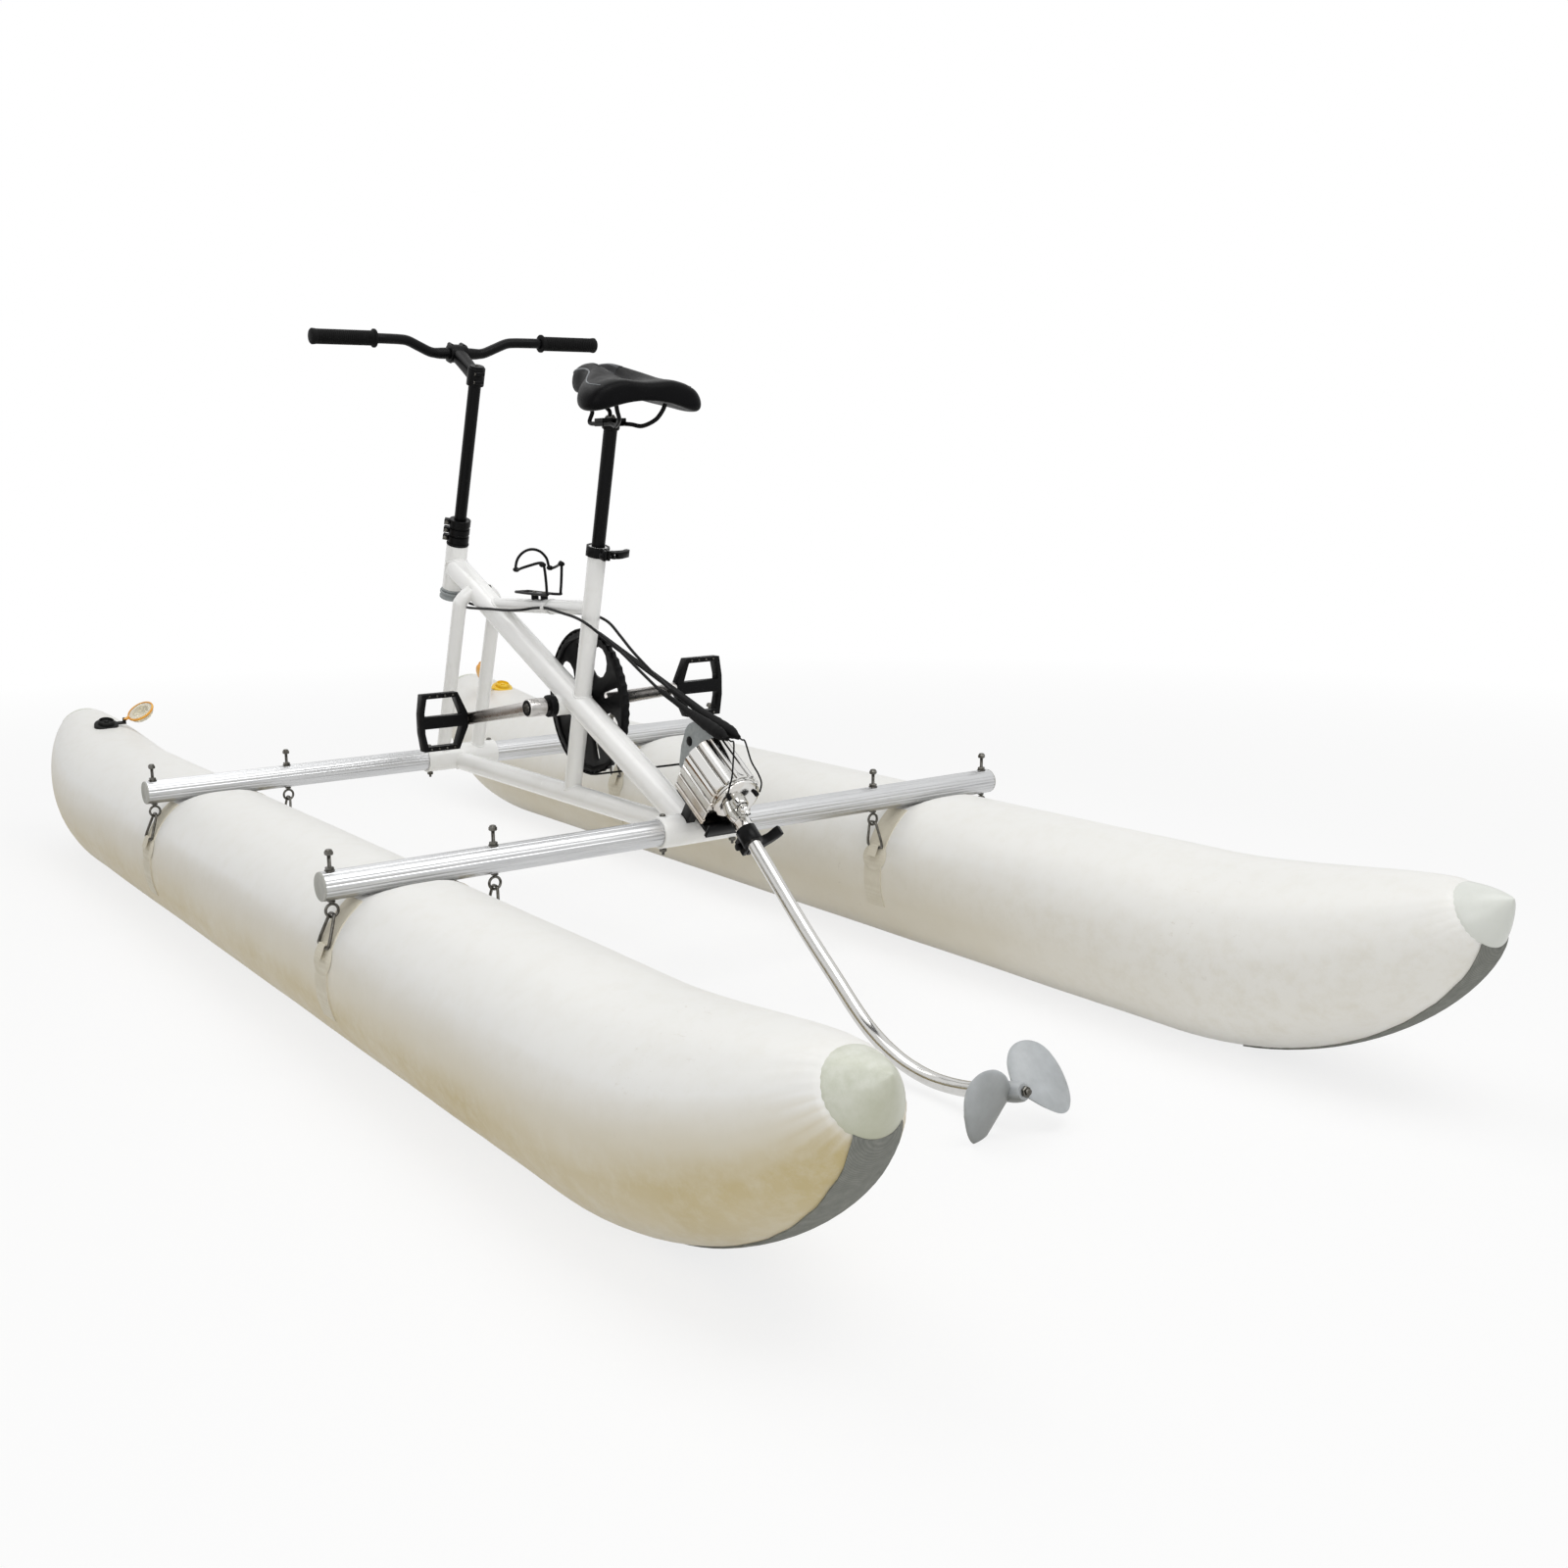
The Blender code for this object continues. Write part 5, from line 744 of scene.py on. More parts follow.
def dented(point, lift=0):
    """Press a point of a float down under the nearest crossbar and up from the ground."""
    x = abs(point.x - SHIFT.x) - BAR_HALF_SPACING
    sink = 2 * FLOAT_Z - BAR_FOOT + 0.004
    limit = (BAR_FOOT - 0.0025 + lift + sink * (1 - exp(-(x / DENT_WIDTH) ** 2))
             + max(0, abs(x) - DENT_REACH))
    z = point.z
    if limit < z + 0.02:
        z = -DENT_SOFTNESS * log(exp(-limit / DENT_SOFTNESS) + exp(-z / DENT_SOFTNESS))
    return Vector((point.x, point.y, max(z, FLOAT_FOOT)))


def body_point(x, y, angle, lift=0):
    """Point on the straight part of a float: the angle is measured from level, outward."""
    reach = FLOAT_RADIUS + lift
    return dented(at(x, y + reach * cos(angle), FLOAT_Z + reach * sin(angle)), lift)


def turned_away(angle, away):
    """Angle of the same height on the side of the float that faces away."""
    return angle if away > 0 else pi - angle


def ripple(point):
    """Slight unevenness of the blown-up fabric."""
    return 0.0009 * noise.noise(point * 4) + 0.0003 * noise.noise(point * 17)


def float_rings(y):
    """Rings from stern to bow, close together under the crossbars."""
    angles = [-pi / 2 + a for a in turns(FLOAT_SIDES)]
    stations = []
    x = -STERN.straight
    while x < BOW.straight:
        stations.append(x)
        x += 0.0075 if abs(abs(x) - BAR_HALF_SPACING) < 0.11 else 0.045
    rings = [STERN.ring(t, y, angles) for t in BEND_SHARES[::-1]]
    for x in stations + [BOW.straight]:
        rings.append([body_point(x, y, a, ripple(at(x, y + cos(a), FLOAT_Z + sin(a))) - 0.0006)
                      for a in angles])
    return rings + [BOW.ring(t, y, angles) for t in BEND_SHARES]


def cap_profile(end):
    """Round-nosed cone from the seam to the tip."""
    shares = [sin(pi / 2 * k / 18) for k in range(2, 19)]
    return [(end.end_radius + r, z) for r, z in CAP_SEAM] + [
        (end.end_radius * max(0, 1 - share ** CAP_FULLNESS) ** (1 / CAP_BLUNTNESS),
         end.cap * share) for share in shares]


def make_wear_strip(name, end, y):
    rings = []
    for t in sorted([0] + BEND_SHARES + [0.988, 0.993, 0.9965, 0.9985, STRIP_END]):
        if t > STRIP_END or end.keel(t) <= STRIP_CLEARANCE:
            continue
        m = end.frame(t, y)
        r = end.radius(t)
        half = (STRIP_WIDTH / 2 + 0.0012 * sin(t * 60)) / r
        angles = [-pi / 2 + half * (j - 6) / 6 for j in range(13)]
        rings.append(arc(m, r + STRIP_THICKNESS, angles) + arc(m, r - 0.002, angles[::-1]))
    bm = bmesh.new()
    skin(bm, rings)
    piece(name, bm, "strip_weave", smooth=50)


def make_floats():
    for side in SIDES:
        name = SIDE_NAMES[side]
        y = side * FLOAT_TRACK
        bm = bmesh.new()
        skin(bm, float_rings(y))
        obj = piece(name + "_float", bm, "float_fabric", node=name + "_pontoon", smooth=60)
        for end_name, end in (("bow", BOW), ("stern", STERN)):
            end_name = "%s_%s" % (name, end_name)
            turned(end_name + "_end", end.frame(1, y), cap_profile(end), 64, "cap_fabric",
                   node=end_name + "_cap", smooth=60)
            make_wear_strip(end_name + "_strip", end, y)


# Tie-downs: a band, a ring and an eye bolt at each side of each float, under each bar

def make_band(name, x, side, away):
    """Webbing band that runs from the ring's foot up over the float and under the bar."""
    high = asin((BAR_FOOT - 0.004 - FLOAT_Z) / FLOAT_RADIUS)
    angles = [turned_away(BAND_LOW + (high - BAND_LOW) * k / 18, away) for k in range(19)]
    rings = []
    for j in range(9):
        along = x - BAND_WIDTH / 2 + BAND_WIDTH * j / 8
        rings.append([body_point(along, side * FLOAT_TRACK, a, BAND_THICKNESS) for a in angles]
                     + [body_point(along, side * FLOAT_TRACK, a, -BAND_THICKNESS)
                        for a in angles[::-1]])
    bm = bmesh.new()
    skin(bm, rings)
    piece(name, bm, "webbing", smooth=50)


def ring_foot(x, side, away):
    """Middle of a ring's lower bar, and the directions out of the float and down it."""
    out = Vector((0, away * cos(RING_ANGLE), sin(RING_ANGLE)))
    low = Vector((0, away * sin(RING_ANGLE), -cos(RING_ANGLE)))
    reach = FLOAT_RADIUS + BAND_THICKNESS + RING_WIRE + 0.001
    return at(x, side * FLOAT_TRACK, FLOAT_Z) + out * reach, out, low


def make_ring(name, x, side, y, away):
    """Steel ring between a bolt's eye and a webbing loop on the float."""
    foot = ring_foot(x, side, away)[0]
    top = at(x, y, EYE_Z - (EYE_RADIUS - EYE_WIRE - RING_WIRE - 0.0003))
    down = (foot - top).normalized()
    drop = (foot - top).length
    half = [(0.006, 0), (0.0105, drop * 0.1), (0.016, drop * 0.45), (0.021, drop * 0.84),
            (0.017, drop)]
    outline = [(-0.006, 0)] + half + [(-u, v) for u, v in half[:0:-1]]
    bm = bmesh.new()
    rod(bm, smooth_path([top + X * u + down * v for u, v in outline], 5, loop=True),
        RING_WIRE, 12, loop=True, side=X.cross(down))
    piece(name, bm, "steel", slot="stainless", smooth=0)


def make_keeper(name, x, side, away):
    """Webbing loop that holds a ring's lower bar."""
    foot, out, low = ring_foot(x, side, away)
    r = KEEPER_RADIUS
    section = [(0.0042, 0.022), (r, 0.006)]
    section += [(r * cos(pi * k / 6), -r * sin(pi * k / 6)) for k in range(1, 7)]
    section += [(-r, 0.01), (-0.003, 0.024)]
    points = [foot + out * u + low * v for u, v in section]
    inner = [p + (foot + low * 0.008 - p).normalized() * 0.0014 for p in points[::-1]]
    bm = bmesh.new()
    skin(bm, [[p + X * edge for p in points + inner] for edge in (-KEEPER_HALF, KEEPER_HALF)])
    piece(name, bm, "webbing", smooth=60, bevel=0.0004)


def make_patch(name, x, side, away):
    """Oval patch glued on the band behind a ring."""
    def on_patch(share, a, lift):
        u, v = PATCH_HALF[0] * share * cos(a), PATCH_HALF[1] * share * sin(a)
        angle = turned_away(PATCH_ANGLE + v / FLOAT_RADIUS, away)
        return body_point(x + u, side * FLOAT_TRACK, angle, lift)

    face = BAND_THICKNESS + PATCH_RISE
    bm = bmesh.new()
    skin(bm, [[on_patch(share, a, lift) for a in (turns(40) if share else [0])]
              for share, lift in ((0, face), (0.55, face), (0.93, face),
                                  (1, BAND_THICKNESS - PATCH_RISE), (0, -0.004))])
    piece(name, bm, "webbing", smooth=60)


def make_eye_bolt(name, x, y):
    m = axis_frame(at(x, y, 0), Z)
    foot = BAR_FOOT - EYE_DROP
    bm = bmesh.new()
    lathe(bm, m, [(0, foot)] + thread(BOLT_RADIUS, foot, BOLT_TOP - 0.004)
          + [(0, BOLT_TOP - 0.002)], 14)
    hex_nut(bm, m, NUT_RADIUS, BAR_TOP + 0.0014, BAR_TOP + 0.0064)
    lathe(bm, m, rounded(BAR_TOP - 0.001, BAR_TOP + 0.0014, 0.0088, 0.0003, 0.002, 2), 28)
    hex_nut(bm, m, NUT_RADIUS, BOLT_TOP - 0.01, BOLT_TOP - 0.003)
    lathe(bm, m, ((0.0062, BOLT_TOP - 0.0034), (0.0056, BOLT_TOP - 0.001),
                  (0.0035, BOLT_TOP), (0, BOLT_TOP + 0.0003)), 20)
    hex_nut(bm, m, NUT_RADIUS * 0.9, BAR_FOOT - 0.0035, BAR_FOOT - 0.0004)
    eye = oval(at(x, y, EYE_Z), Y * EYE_RADIUS, Z * EYE_RADIUS, 32)
    rod(bm, eye, EYE_WIRE, 12, loop=True, side=X)
    piece(name, bm, "steel", smooth=32)


def make_tie_downs():
    places = [(sign * BAR_HALF_SPACING, side, side * y, away * side)
              for sign in SIDES for side in SIDES for y, away in zip(EYE_PLACES, (-1, 1))]
    for i, (x, side, y, away) in enumerate(places):
        name = "tie_%d" % (i + 1)
        make_band(name + "_band", x, side, away)
        make_ring(name + "_ring", x, side, y, away)
        make_keeper(name + "_keeper", x, side, away)
        make_patch(name + "_patch", x, side, away)
        make_eye_bolt(name + "_bolt", x, y)


# Crossbars

def bar_shape(a):
    """Grooves along a drawn bar, in pairs round each quarter."""
    quarter = abs((a + pi / 4) % (pi / 2) - pi / 4)
    wide = 0.05 * exp(-((quarter - 0.22) / 0.05) ** 2)
    narrow = 0.035 * exp(-((quarter - 0.5) / 0.04) ** 2)
    return 1 - wide - narrow


def make_crossbar(name, middle, side):
    near, far = (middle + Y * (side * y) for y in (BAR_INNER_END, BAR_OUTER_END))
    bm = bmesh.new()
    pipe(bm, [near, near.lerp(far, 0.5), far], BAR_RADIUS, BAR_WALL, BAR_SIDES, X, bar_shape)
    piece(name + "_tube", bm, "bar_aluminium", node=name, smooth=50)
    plug = ((0, -0.012), (0.0218, -0.012), (0.022, -0.0005), (0.0246, -0.0003),
            (0.0247, 0.0022), (0.0235, 0.0036), (0.015, 0.003), (0.014, 0.0022), (0, 0.002))
    turned(name + "_plug", axis_frame(far, Y * side), plug, 56, "plug_grey")


def make_sleeve(name, middle):
    """Sleeve between two bars, with a lock bolt through each end."""
    sleeve = bmesh.new()
    bolts = bmesh.new()
    lathe(sleeve, axis_frame(middle, Y),
          rounded(-SLEEVE_HALF, SLEEVE_HALF, SLEEVE_RADIUS, 0.0012, BAR_RADIUS + 0.0003), 72)
    for side in SIDES:
        above, below = (axis_frame(middle + Y * (side * SLEEVE_BOLT_Y) + Z * z, Z)
                        for z in (SLEEVE_RADIUS, -SLEEVE_RADIUS))
        lathe(sleeve, above, ((0.008, -0.003), (0.008, 0.0006), (0.005, 0.0006),
                              (0, 0.0002)), 28)
        lathe(bolts, above, ((0, -0.002), (0.0058, -0.002), (0.0058, 0.003),
                             (0.0042, 0.0048), (0.0022, 0.005), (0.0018, 0.003),
                             (0, 0.0028)), 24)
        lathe(bolts, below, [(0, -0.013)] + thread(0.003, -0.013, 0.002) + [(0, 0.004)], 12)
        hex_nut(bolts, below, 0.0068, -0.0072, -0.0006)
    piece(name + "_tube", sleeve, "frame_paint", node=name)
    piece(name + "_bolts", bolts, "steel", smooth=32)


def make_crossbars():
    for sign, end in ((1, "front"), (-1, "rear")):
        middle = at(sign * BAR_HALF_SPACING, 0, BAR_Z)
        for side in SIDES:
            make_crossbar("%s_%s_crossbar" % (end, SIDE_NAMES[side]), middle, side)
        make_sleeve(end + "_sleeve", middle)


# Frame

STEER = axis_frame(STEER_POINT, (-sin(STEER_LEAN), 0, cos(STEER_LEAN)))
STEER_X = (STEER.to_3x3() @ X).normalized()
STEER_Z = (STEER.to_3x3() @ Z).normalized()
DRIVE = axis_frame(DRIVE_POINT, DRIVE_AXIS, DRIVE_UP)
SEAT_AXIS = Vector((-sin(SEAT_LEAN), 0, cos(SEAT_LEAN)))


def seat_point(z):
    return at(SEAT_FOOT - (z - BASE_Z) * tan(SEAT_LEAN), 0, z)


def drive_point(along, up, y=0):
    return DRIVE_POINT + DRIVE_AXIS * along + DRIVE_UP * up + Y * y


def top_tube_point(x):
    return TOP_FRONT.lerp(TOP_REAR, (TOP_FRONT.x - at(x, 0, 0).x) / (TOP_FRONT.x - TOP_REAR.x))


def weld_bead(bm, main, main_axis, main_radius, start, axis, radius):
    """Bead where a tube that starts inside a main tube comes out of it."""
    m = axis_frame(start, axis, Y)
    ray = m.to_3x3() @ Z
    d = ray - main_axis * ray.dot(main_axis)
    path = []
    for base in arc(m, radius, turns(72)):
        off = base - main
        o = off - main_axis * off.dot(main_axis)
        b = o.dot(d)
        root = b * b - d.dot(d) * (o.dot(o) - main_radius ** 2)
        if root > 0:
            path.append(base + ray * ((sqrt(root) - b) / d.dot(d)))
    rod(bm, path, [0.0021 + 0.0004 * sin(k * 1.9) for k in range(len(path))], 8, loop=True)


def leg_path(side):
    """Points of a front leg, from inside the front sleeve up to the down tube."""
    rise = (LEG_TOP - BAR_Z) * tan(STEER_LEAN)
    return [at(0.376 + rise, side * LEG_OFFSET, BAR_Z), at(0.386, side * LEG_OFFSET, 0.674),
            at(0.376, side * LEG_OFFSET * 0.93, LEG_TOP),
            at(0.366, side * LEG_OFFSET * 0.4, 0.727)]


def frame_tube(name, path, radius, node, per=1):
    bm = bmesh.new()
    pipe(bm, smooth_path(path, per), radius, WALL, 48)
    piece(name, bm, "frame_paint", node=node)


def make_frame_tubes():
    frame_tube("base_rail", [at(-BASE_END, 0, BASE_Z), at(BASE_END, 0, BASE_Z)], BASE_RADIUS,
               "base_tube")
    frame_tube("down_rail", [DOWN_REAR - DOWN_SLOPE * 0.03, DOWN_FRONT + DOWN_SLOPE * 0.028],
               DOWN_RADIUS, "down_tube")
    frame_tube("top_rail", [TOP_FRONT - TOP_SLOPE * 0.04, TOP_REAR + TOP_SLOPE * 0.043],
               TOP_RADIUS, "top_tube")


def make_fork_legs():
    for side in SIDES:
        low, high, *rest = leg_path(side)
        frame_tube(SIDE_NAMES[side] + "_fork_leg",
                   [low.lerp(high, 0.06), low.lerp(high, 0.5), high] + rest, LEG_RADIUS,
                   SIDE_NAMES[side] + "_front_leg", per=8)


def make_frame_barrels():
    foot = seat_point(BASE_Z)
    mast_length = (seat_point(SEAT_TUBE_TOP) - foot).length
    for name, node, m, low, high, radius, bore, sides in (
            ("seat_mast", "seat_tube", axis_frame(foot, SEAT_AXIS), 0.01, mast_length,
             SEAT_TUBE_RADIUS, SEAT_TUBE_BORE, 48),
            ("head_barrel", "head_tube", STEER, HEAD_LOW, HEAD_HIGH, HEAD_RADIUS,
             HEAD_RADIUS - WALL, 56),
            ("bracket_barrel", "bottom_bracket_shell", axis_frame(BRACKET, Y, Z),
             -BRACKET_HALF, BRACKET_HALF, BRACKET_RADIUS, BRACKET_RADIUS - 0.003, 56)):
        turned(name, m, rounded(low, high, radius, 0.0006, bore), sides, "frame_paint",
               node=node)


def make_welds():
    foot = seat_point(BASE_Z)
    front_bar, rear_bar = (at(s * BAR_HALF_SPACING, 0, BAR_Z) for s in SIDES)
    cross = seat_point(SEAT_CROSSING)
    on_down = DOWN_REAR + DOWN_SLOPE * (cross - DOWN_REAR).dot(DOWN_SLOPE)
    beads = [
        (STEER_POINT, STEER_Z, HEAD_RADIUS, DOWN_FRONT, -DOWN_SLOPE, DOWN_RADIUS),
        (DOWN_FRONT, DOWN_SLOPE, DOWN_RADIUS, TOP_FRONT - TOP_SLOPE * 0.03, TOP_SLOPE,
         TOP_RADIUS),
        (foot, SEAT_AXIS, SEAT_TUBE_RADIUS, TOP_REAR + TOP_SLOPE * 0.02, -TOP_SLOPE,
         TOP_RADIUS),
        (at(0, 0, BASE_Z), X, BASE_RADIUS, foot, SEAT_AXIS, SEAT_TUBE_RADIUS),
        (rear_bar, Y, SLEEVE_RADIUS, rear_bar + DOWN_SLOPE * 0.001, DOWN_SLOPE,
         DOWN_RADIUS * 0.92),
        (front_bar, Y, SLEEVE_RADIUS, Vector((front_bar.x, 0, BASE_Z)), -X, BASE_RADIUS),
        (rear_bar, Y, SLEEVE_RADIUS, Vector((rear_bar.x, 0, BASE_Z)), X, BASE_RADIUS)]
    for side in SIDES:
        low, high = leg_path(side)[:2]
        beads += [(front_bar, Y, SLEEVE_RADIUS, low, high - low, LEG_RADIUS),
                  (on_down, DOWN_SLOPE, DOWN_RADIUS, cross - SEAT_AXIS * (side * 0.02),
                   SEAT_AXIS * side, SEAT_TUBE_RADIUS)]
    welds = bmesh.new()
    for bead in beads:
        weld_bead(welds, *bead)
    piece("weld_beads", welds, "frame_paint", smooth=0)


def make_cage():
    m = axis_frame(top_tube_point(CAGE_X), Z, -TOP_SLOPE)
    wire = 0.003
    length = 0.14
    half = 0.016
    rail = TOP_RADIUS + 0.01
    arm = 0.038 + wire
    middle = rail + arm + 0.004
    front = length * 0.62
    right = [(length, -half * 0.5, rail), (length - 0.008, -half, rail), (0.01, -half, rail),
             (0, -half * 1.05, rail + 0.008), (0, -half * 1.3, middle + 0.012),
             (0.01, -half * 1.5, middle + 0.022), (front * 0.6, -arm, middle + 0.012),
             (front, -arm, middle + 0.006)]
    hoop = [(front + 0.004, -arm * cos(a), middle + 0.006 + arm * sin(a))
            for a in (radians(30 * k) for k in range(1, 6))]
    left = [(x, -y, z) for x, y, z in right[::-1]]
    bm = bmesh.new()
    rod(bm, smooth_path([m @ Vector(p) for p in right + hoop + left], 5, loop=True), wire, 12,
        loop=True)
    piece("cage_wire", bm, "black_paint", node="bottle_cage", smooth=0)
    plate = bmesh.new()
    screws = bmesh.new()
    box(plate, m, (0.03, -half, rail - 0.0015), (0.095, half, rail + 0.0015))
    for x in (0.042, 0.083):
        lathe(plate, moved(m, x, 0, 0), ((0.008, TOP_RADIUS - 0.004), (0.008, rail - 0.001)), 28,
              loop=False)
        lathe(screws, moved(m, x, 0, rail + 0.0015),
              ((0, -0.001), (0.0046, -0.001), (0.0046, 0.0018), (0.003, 0.0032),
               (0.0014, 0.0032), (0.0014, 0.0016), (0, 0.0016)), 20)
    piece("cage_plate", plate, "black_paint", bevel=0.0006)
    piece("cage_screws", screws, "steel")
    bm = bmesh.new()
    for side in SIDES:
        for x, y, z in ((front, -arm, middle + 0.006), (0.004, -half * 1.4, middle + 0.018)):
            lathe(bm, axis_frame(m @ Vector((x, side * y, z)), m.to_3x3() @ X, Y),
                  ((0, -0.009), (0.004, -0.008), (0.0052, -0.004), (0.0052, 0.004),
                   (0.004, 0.008), (0, 0.009)), 16)
    piece("cage_tips", bm, "grip_rubber")


# Steering

def make_headset():
    for name, low, high, look in (
            ("upper", HEAD_HIGH + 0.0003, HEAD_HIGH + 0.006, "black_paint"),
            ("lower", HEAD_LOW - 0.006, HEAD_LOW - 0.0003, "cast_grey")):
        name += "_headset_cup"
        turned(name + "_ring", STEER, rounded(low, high, HEAD_RADIUS + 0.001, 0.0018, POST_BORE),
               56, look, node=name, slot="cast_grey")
    top = HEAD_LOW - 0.0066
    low = top - 0.018
    drum = ((POST_BORE, low), (0.0275, low), (0.029, low + 0.0012), (0.029, low + 0.0055),
            (0.0262, low + 0.0085), (0.0262, top - 0.0065), (0.029, top - 0.0045),
            (0.029, top - 0.0008), (0.0282, top), (POST_BORE, top))
    turned("steering_wheel_drum", STEER, drum, 56, "cast_grey", "steering", "steering_drum")
    column = rounded(low - 0.003, POST_TOP - 0.002, POST_RADIUS, 0.0005, POST_RADIUS - 0.0025)
    turned("steering_column", STEER, column, 48, "black_paint", "steering", "handlebar_post")


def make_post_clamp():
    low = COLLAR_LOW
    high = low + COLLAR_HEIGHT
    r = COLLAR_RADIUS
    profile = [(POST_BORE, low), (r - 0.001, low), (r, low + 0.001)]
    for k in (1, 2):
        z = low + COLLAR_HEIGHT * k / 3
        profile += [(r, z - 0.0032), (r - 0.003, z - 0.002), (r - 0.003, z + 0.002),
                    (r, z + 0.0032)]
    profile += [(r, high - 0.001), (r - 0.001, high), (POST_BORE, high)]
    turned("post_collar", STEER, profile, 56, "black_paint", "steering", "post_clamp")
    lugs = bmesh.new()
    bolts = bmesh.new()
    turn = STEER @ Matrix.Rotation(COLLAR_TURN, 4, "Z")
    for k in range(3):
        z = low + COLLAR_HEIGHT * (k + 0.5) / 3
        for side in SIDES:
            box(lugs, turn, (r - 0.004, side * 0.0048 - 0.0032, z - 0.0062),
                (r + 0.0105, side * 0.0048 + 0.0032, z + 0.0062))
        pin = turn @ axis_frame(Vector((r + 0.005, 0, z)), Y, Z)
        lathe(bolts, pin, rounded(-0.0115, 0.0115, 0.0032, 0.0005), 20)
        lathe(bolts, pin, rounded(0.0082, 0.0125, 0.0046, 0.0006), 20)
    piece("post_collar_lugs", lugs, "black_paint", "steering", bevel=0.0008)
    piece("post_collar_bolts", bolts, "steel", "steering")


def make_stem():
    clamp = STEER.inverted() @ BAR_CLAMP
    bm = bmesh.new()
    lathe(bm, STEER, rounded(POST_TOP - 0.034, POST_TOP + 0.006, POST_RADIUS + 0.0055, 0.0015),
          48)
    start = Vector((0.004, 0, POST_TOP - 0.014))
    stop = Vector((clamp.x - 0.004, 0, clamp.z))
    rings = []
    for share in (k / 12 for k in range(13)):
        tall = 0.028 + 0.004 * (1 - share) ** 2 + 0.002 * share
        wide = 0.03 + 0.008 * share ** 2
        ring = oval(start.lerp(stop, share), Y * (wide / 2), Z * (tall / 2), 28, 0.7, 0.7)
        rings.append([STEER @ p for p in ring])
    skin(bm, rings)
    lathe(bm, axis_frame(BAR_CLAMP, Y),
          rounded(-0.021, 0.021, 0.02, 0.0016, HANDLEBAR_RADIUS - 0.001), 56)
    piece("stem_body", bm, "black_paint", "steering", "stem")


def make_stem_bolts():
    middle = POST_TOP - 0.014
    bolts = bmesh.new()
    plate = bmesh.new()
    for side in SIDES:
        for level in SIDES:
            spot = BAR_CLAMP + Y * (side * 0.0145) + STEER_Z * (level * 0.0165) + STEER_X * 0.011
            m = axis_frame(spot, STEER_X, Y)
            lathe(plate, m, rounded(-0.014, 0.004, 0.0052, 0.001), 24)
            lathe(bolts, m, socket_head(0.001, 0.0034, 0.0062, 0.002, 0.0066, 0.0048), 20)
        m = axis_frame(STEER @ Vector((-0.0165, 0, middle + side * 0.009)), Y)
        lathe(plate, m, rounded(-0.01, 0.01, 0.0056, 0.001), 24)
        lathe(bolts, m, socket_head(0.008, 0.0034, 0.0125, 0.002, 0.0128, 0.011), 20)
    m = moved(STEER, 0, 0, POST_TOP + 0.006)
    lathe(plate, m, rounded(-0.001, 0.0032, 0.0165, 0.0012), 40)
    lathe(bolts, m, socket_head(0.002, 0.0042, 0.0046, 0.0022, 0.005, 0.0036), 24)
    piece("stem_lugs", plate, "black_paint", "steering")
    piece("stem_bolts", bolts, "steel", "steering")


def make_handlebar():
    half = [BAR_CLAMP + Vector((-sweep * HANDLEBAR_SWEEP, y, rise * HANDLEBAR_RISE))
            for y, rise, sweep in (
                (0, 0, 0), (0.03, 0, 0), (0.05, 0, 0), (0.068, 0.1, 0.05),
                (0.094, 0.5, 0.18), (0.12, 0.9, 0.35), (0.14, 1, 0.5),
                (0.178, 1, 0.95), (0.2, 1, 1), (0.28, 1, 1), (GRIP_END - 0.004, 1, 1))]
    path = smooth_path([Vector((p.x, -p.y, p.z)) for p in half[:0:-1]] + half)
    radii = [HANDLEBAR_RADIUS + 0.0018 * max(0, 1 - (abs(p.y) / 0.055) ** 4) for p in path]
    bm = bmesh.new()
    rod(bm, path, radii, 32, side=X)
    piece("handlebar_tube", bm, "black_paint", "steering", "handlebar", smooth=60)
    r = GRIP_RADIUS
    bore = HANDLEBAR_RADIUS + 0.0003
    profile = [(bore, GRIP_START), (r + 0.0032, GRIP_START), (r + 0.004, GRIP_START + 0.001),
               (r + 0.004, GRIP_START + 0.0045), (r, GRIP_START + 0.007)]
    z = GRIP_START + 0.012
    while z < GRIP_END - 0.014:
        profile += [(r, z), (r - 0.001, z + 0.0006), (r - 0.001, z + 0.0018), (r, z + 0.0024)]
        z += GRIP_PITCH
    floor = GRIP_END - 0.003
    profile += [(r + 0.001, GRIP_END - 0.006), (r + 0.001, floor),
                (r - 0.0015, GRIP_END - 0.0004), (0, GRIP_END), (0, floor), (bore, floor)]
    middle = BAR_CLAMP + Vector((-HANDLEBAR_SWEEP, 0, HANDLEBAR_RISE))
    for side in SIDES:
        name = SIDE_NAMES[side] + "_grip"
        turned(name + "_sleeve", axis_frame(middle, Y * side), profile, 48, "grip_rubber",
               "steering", name, smooth=50)


# Seat

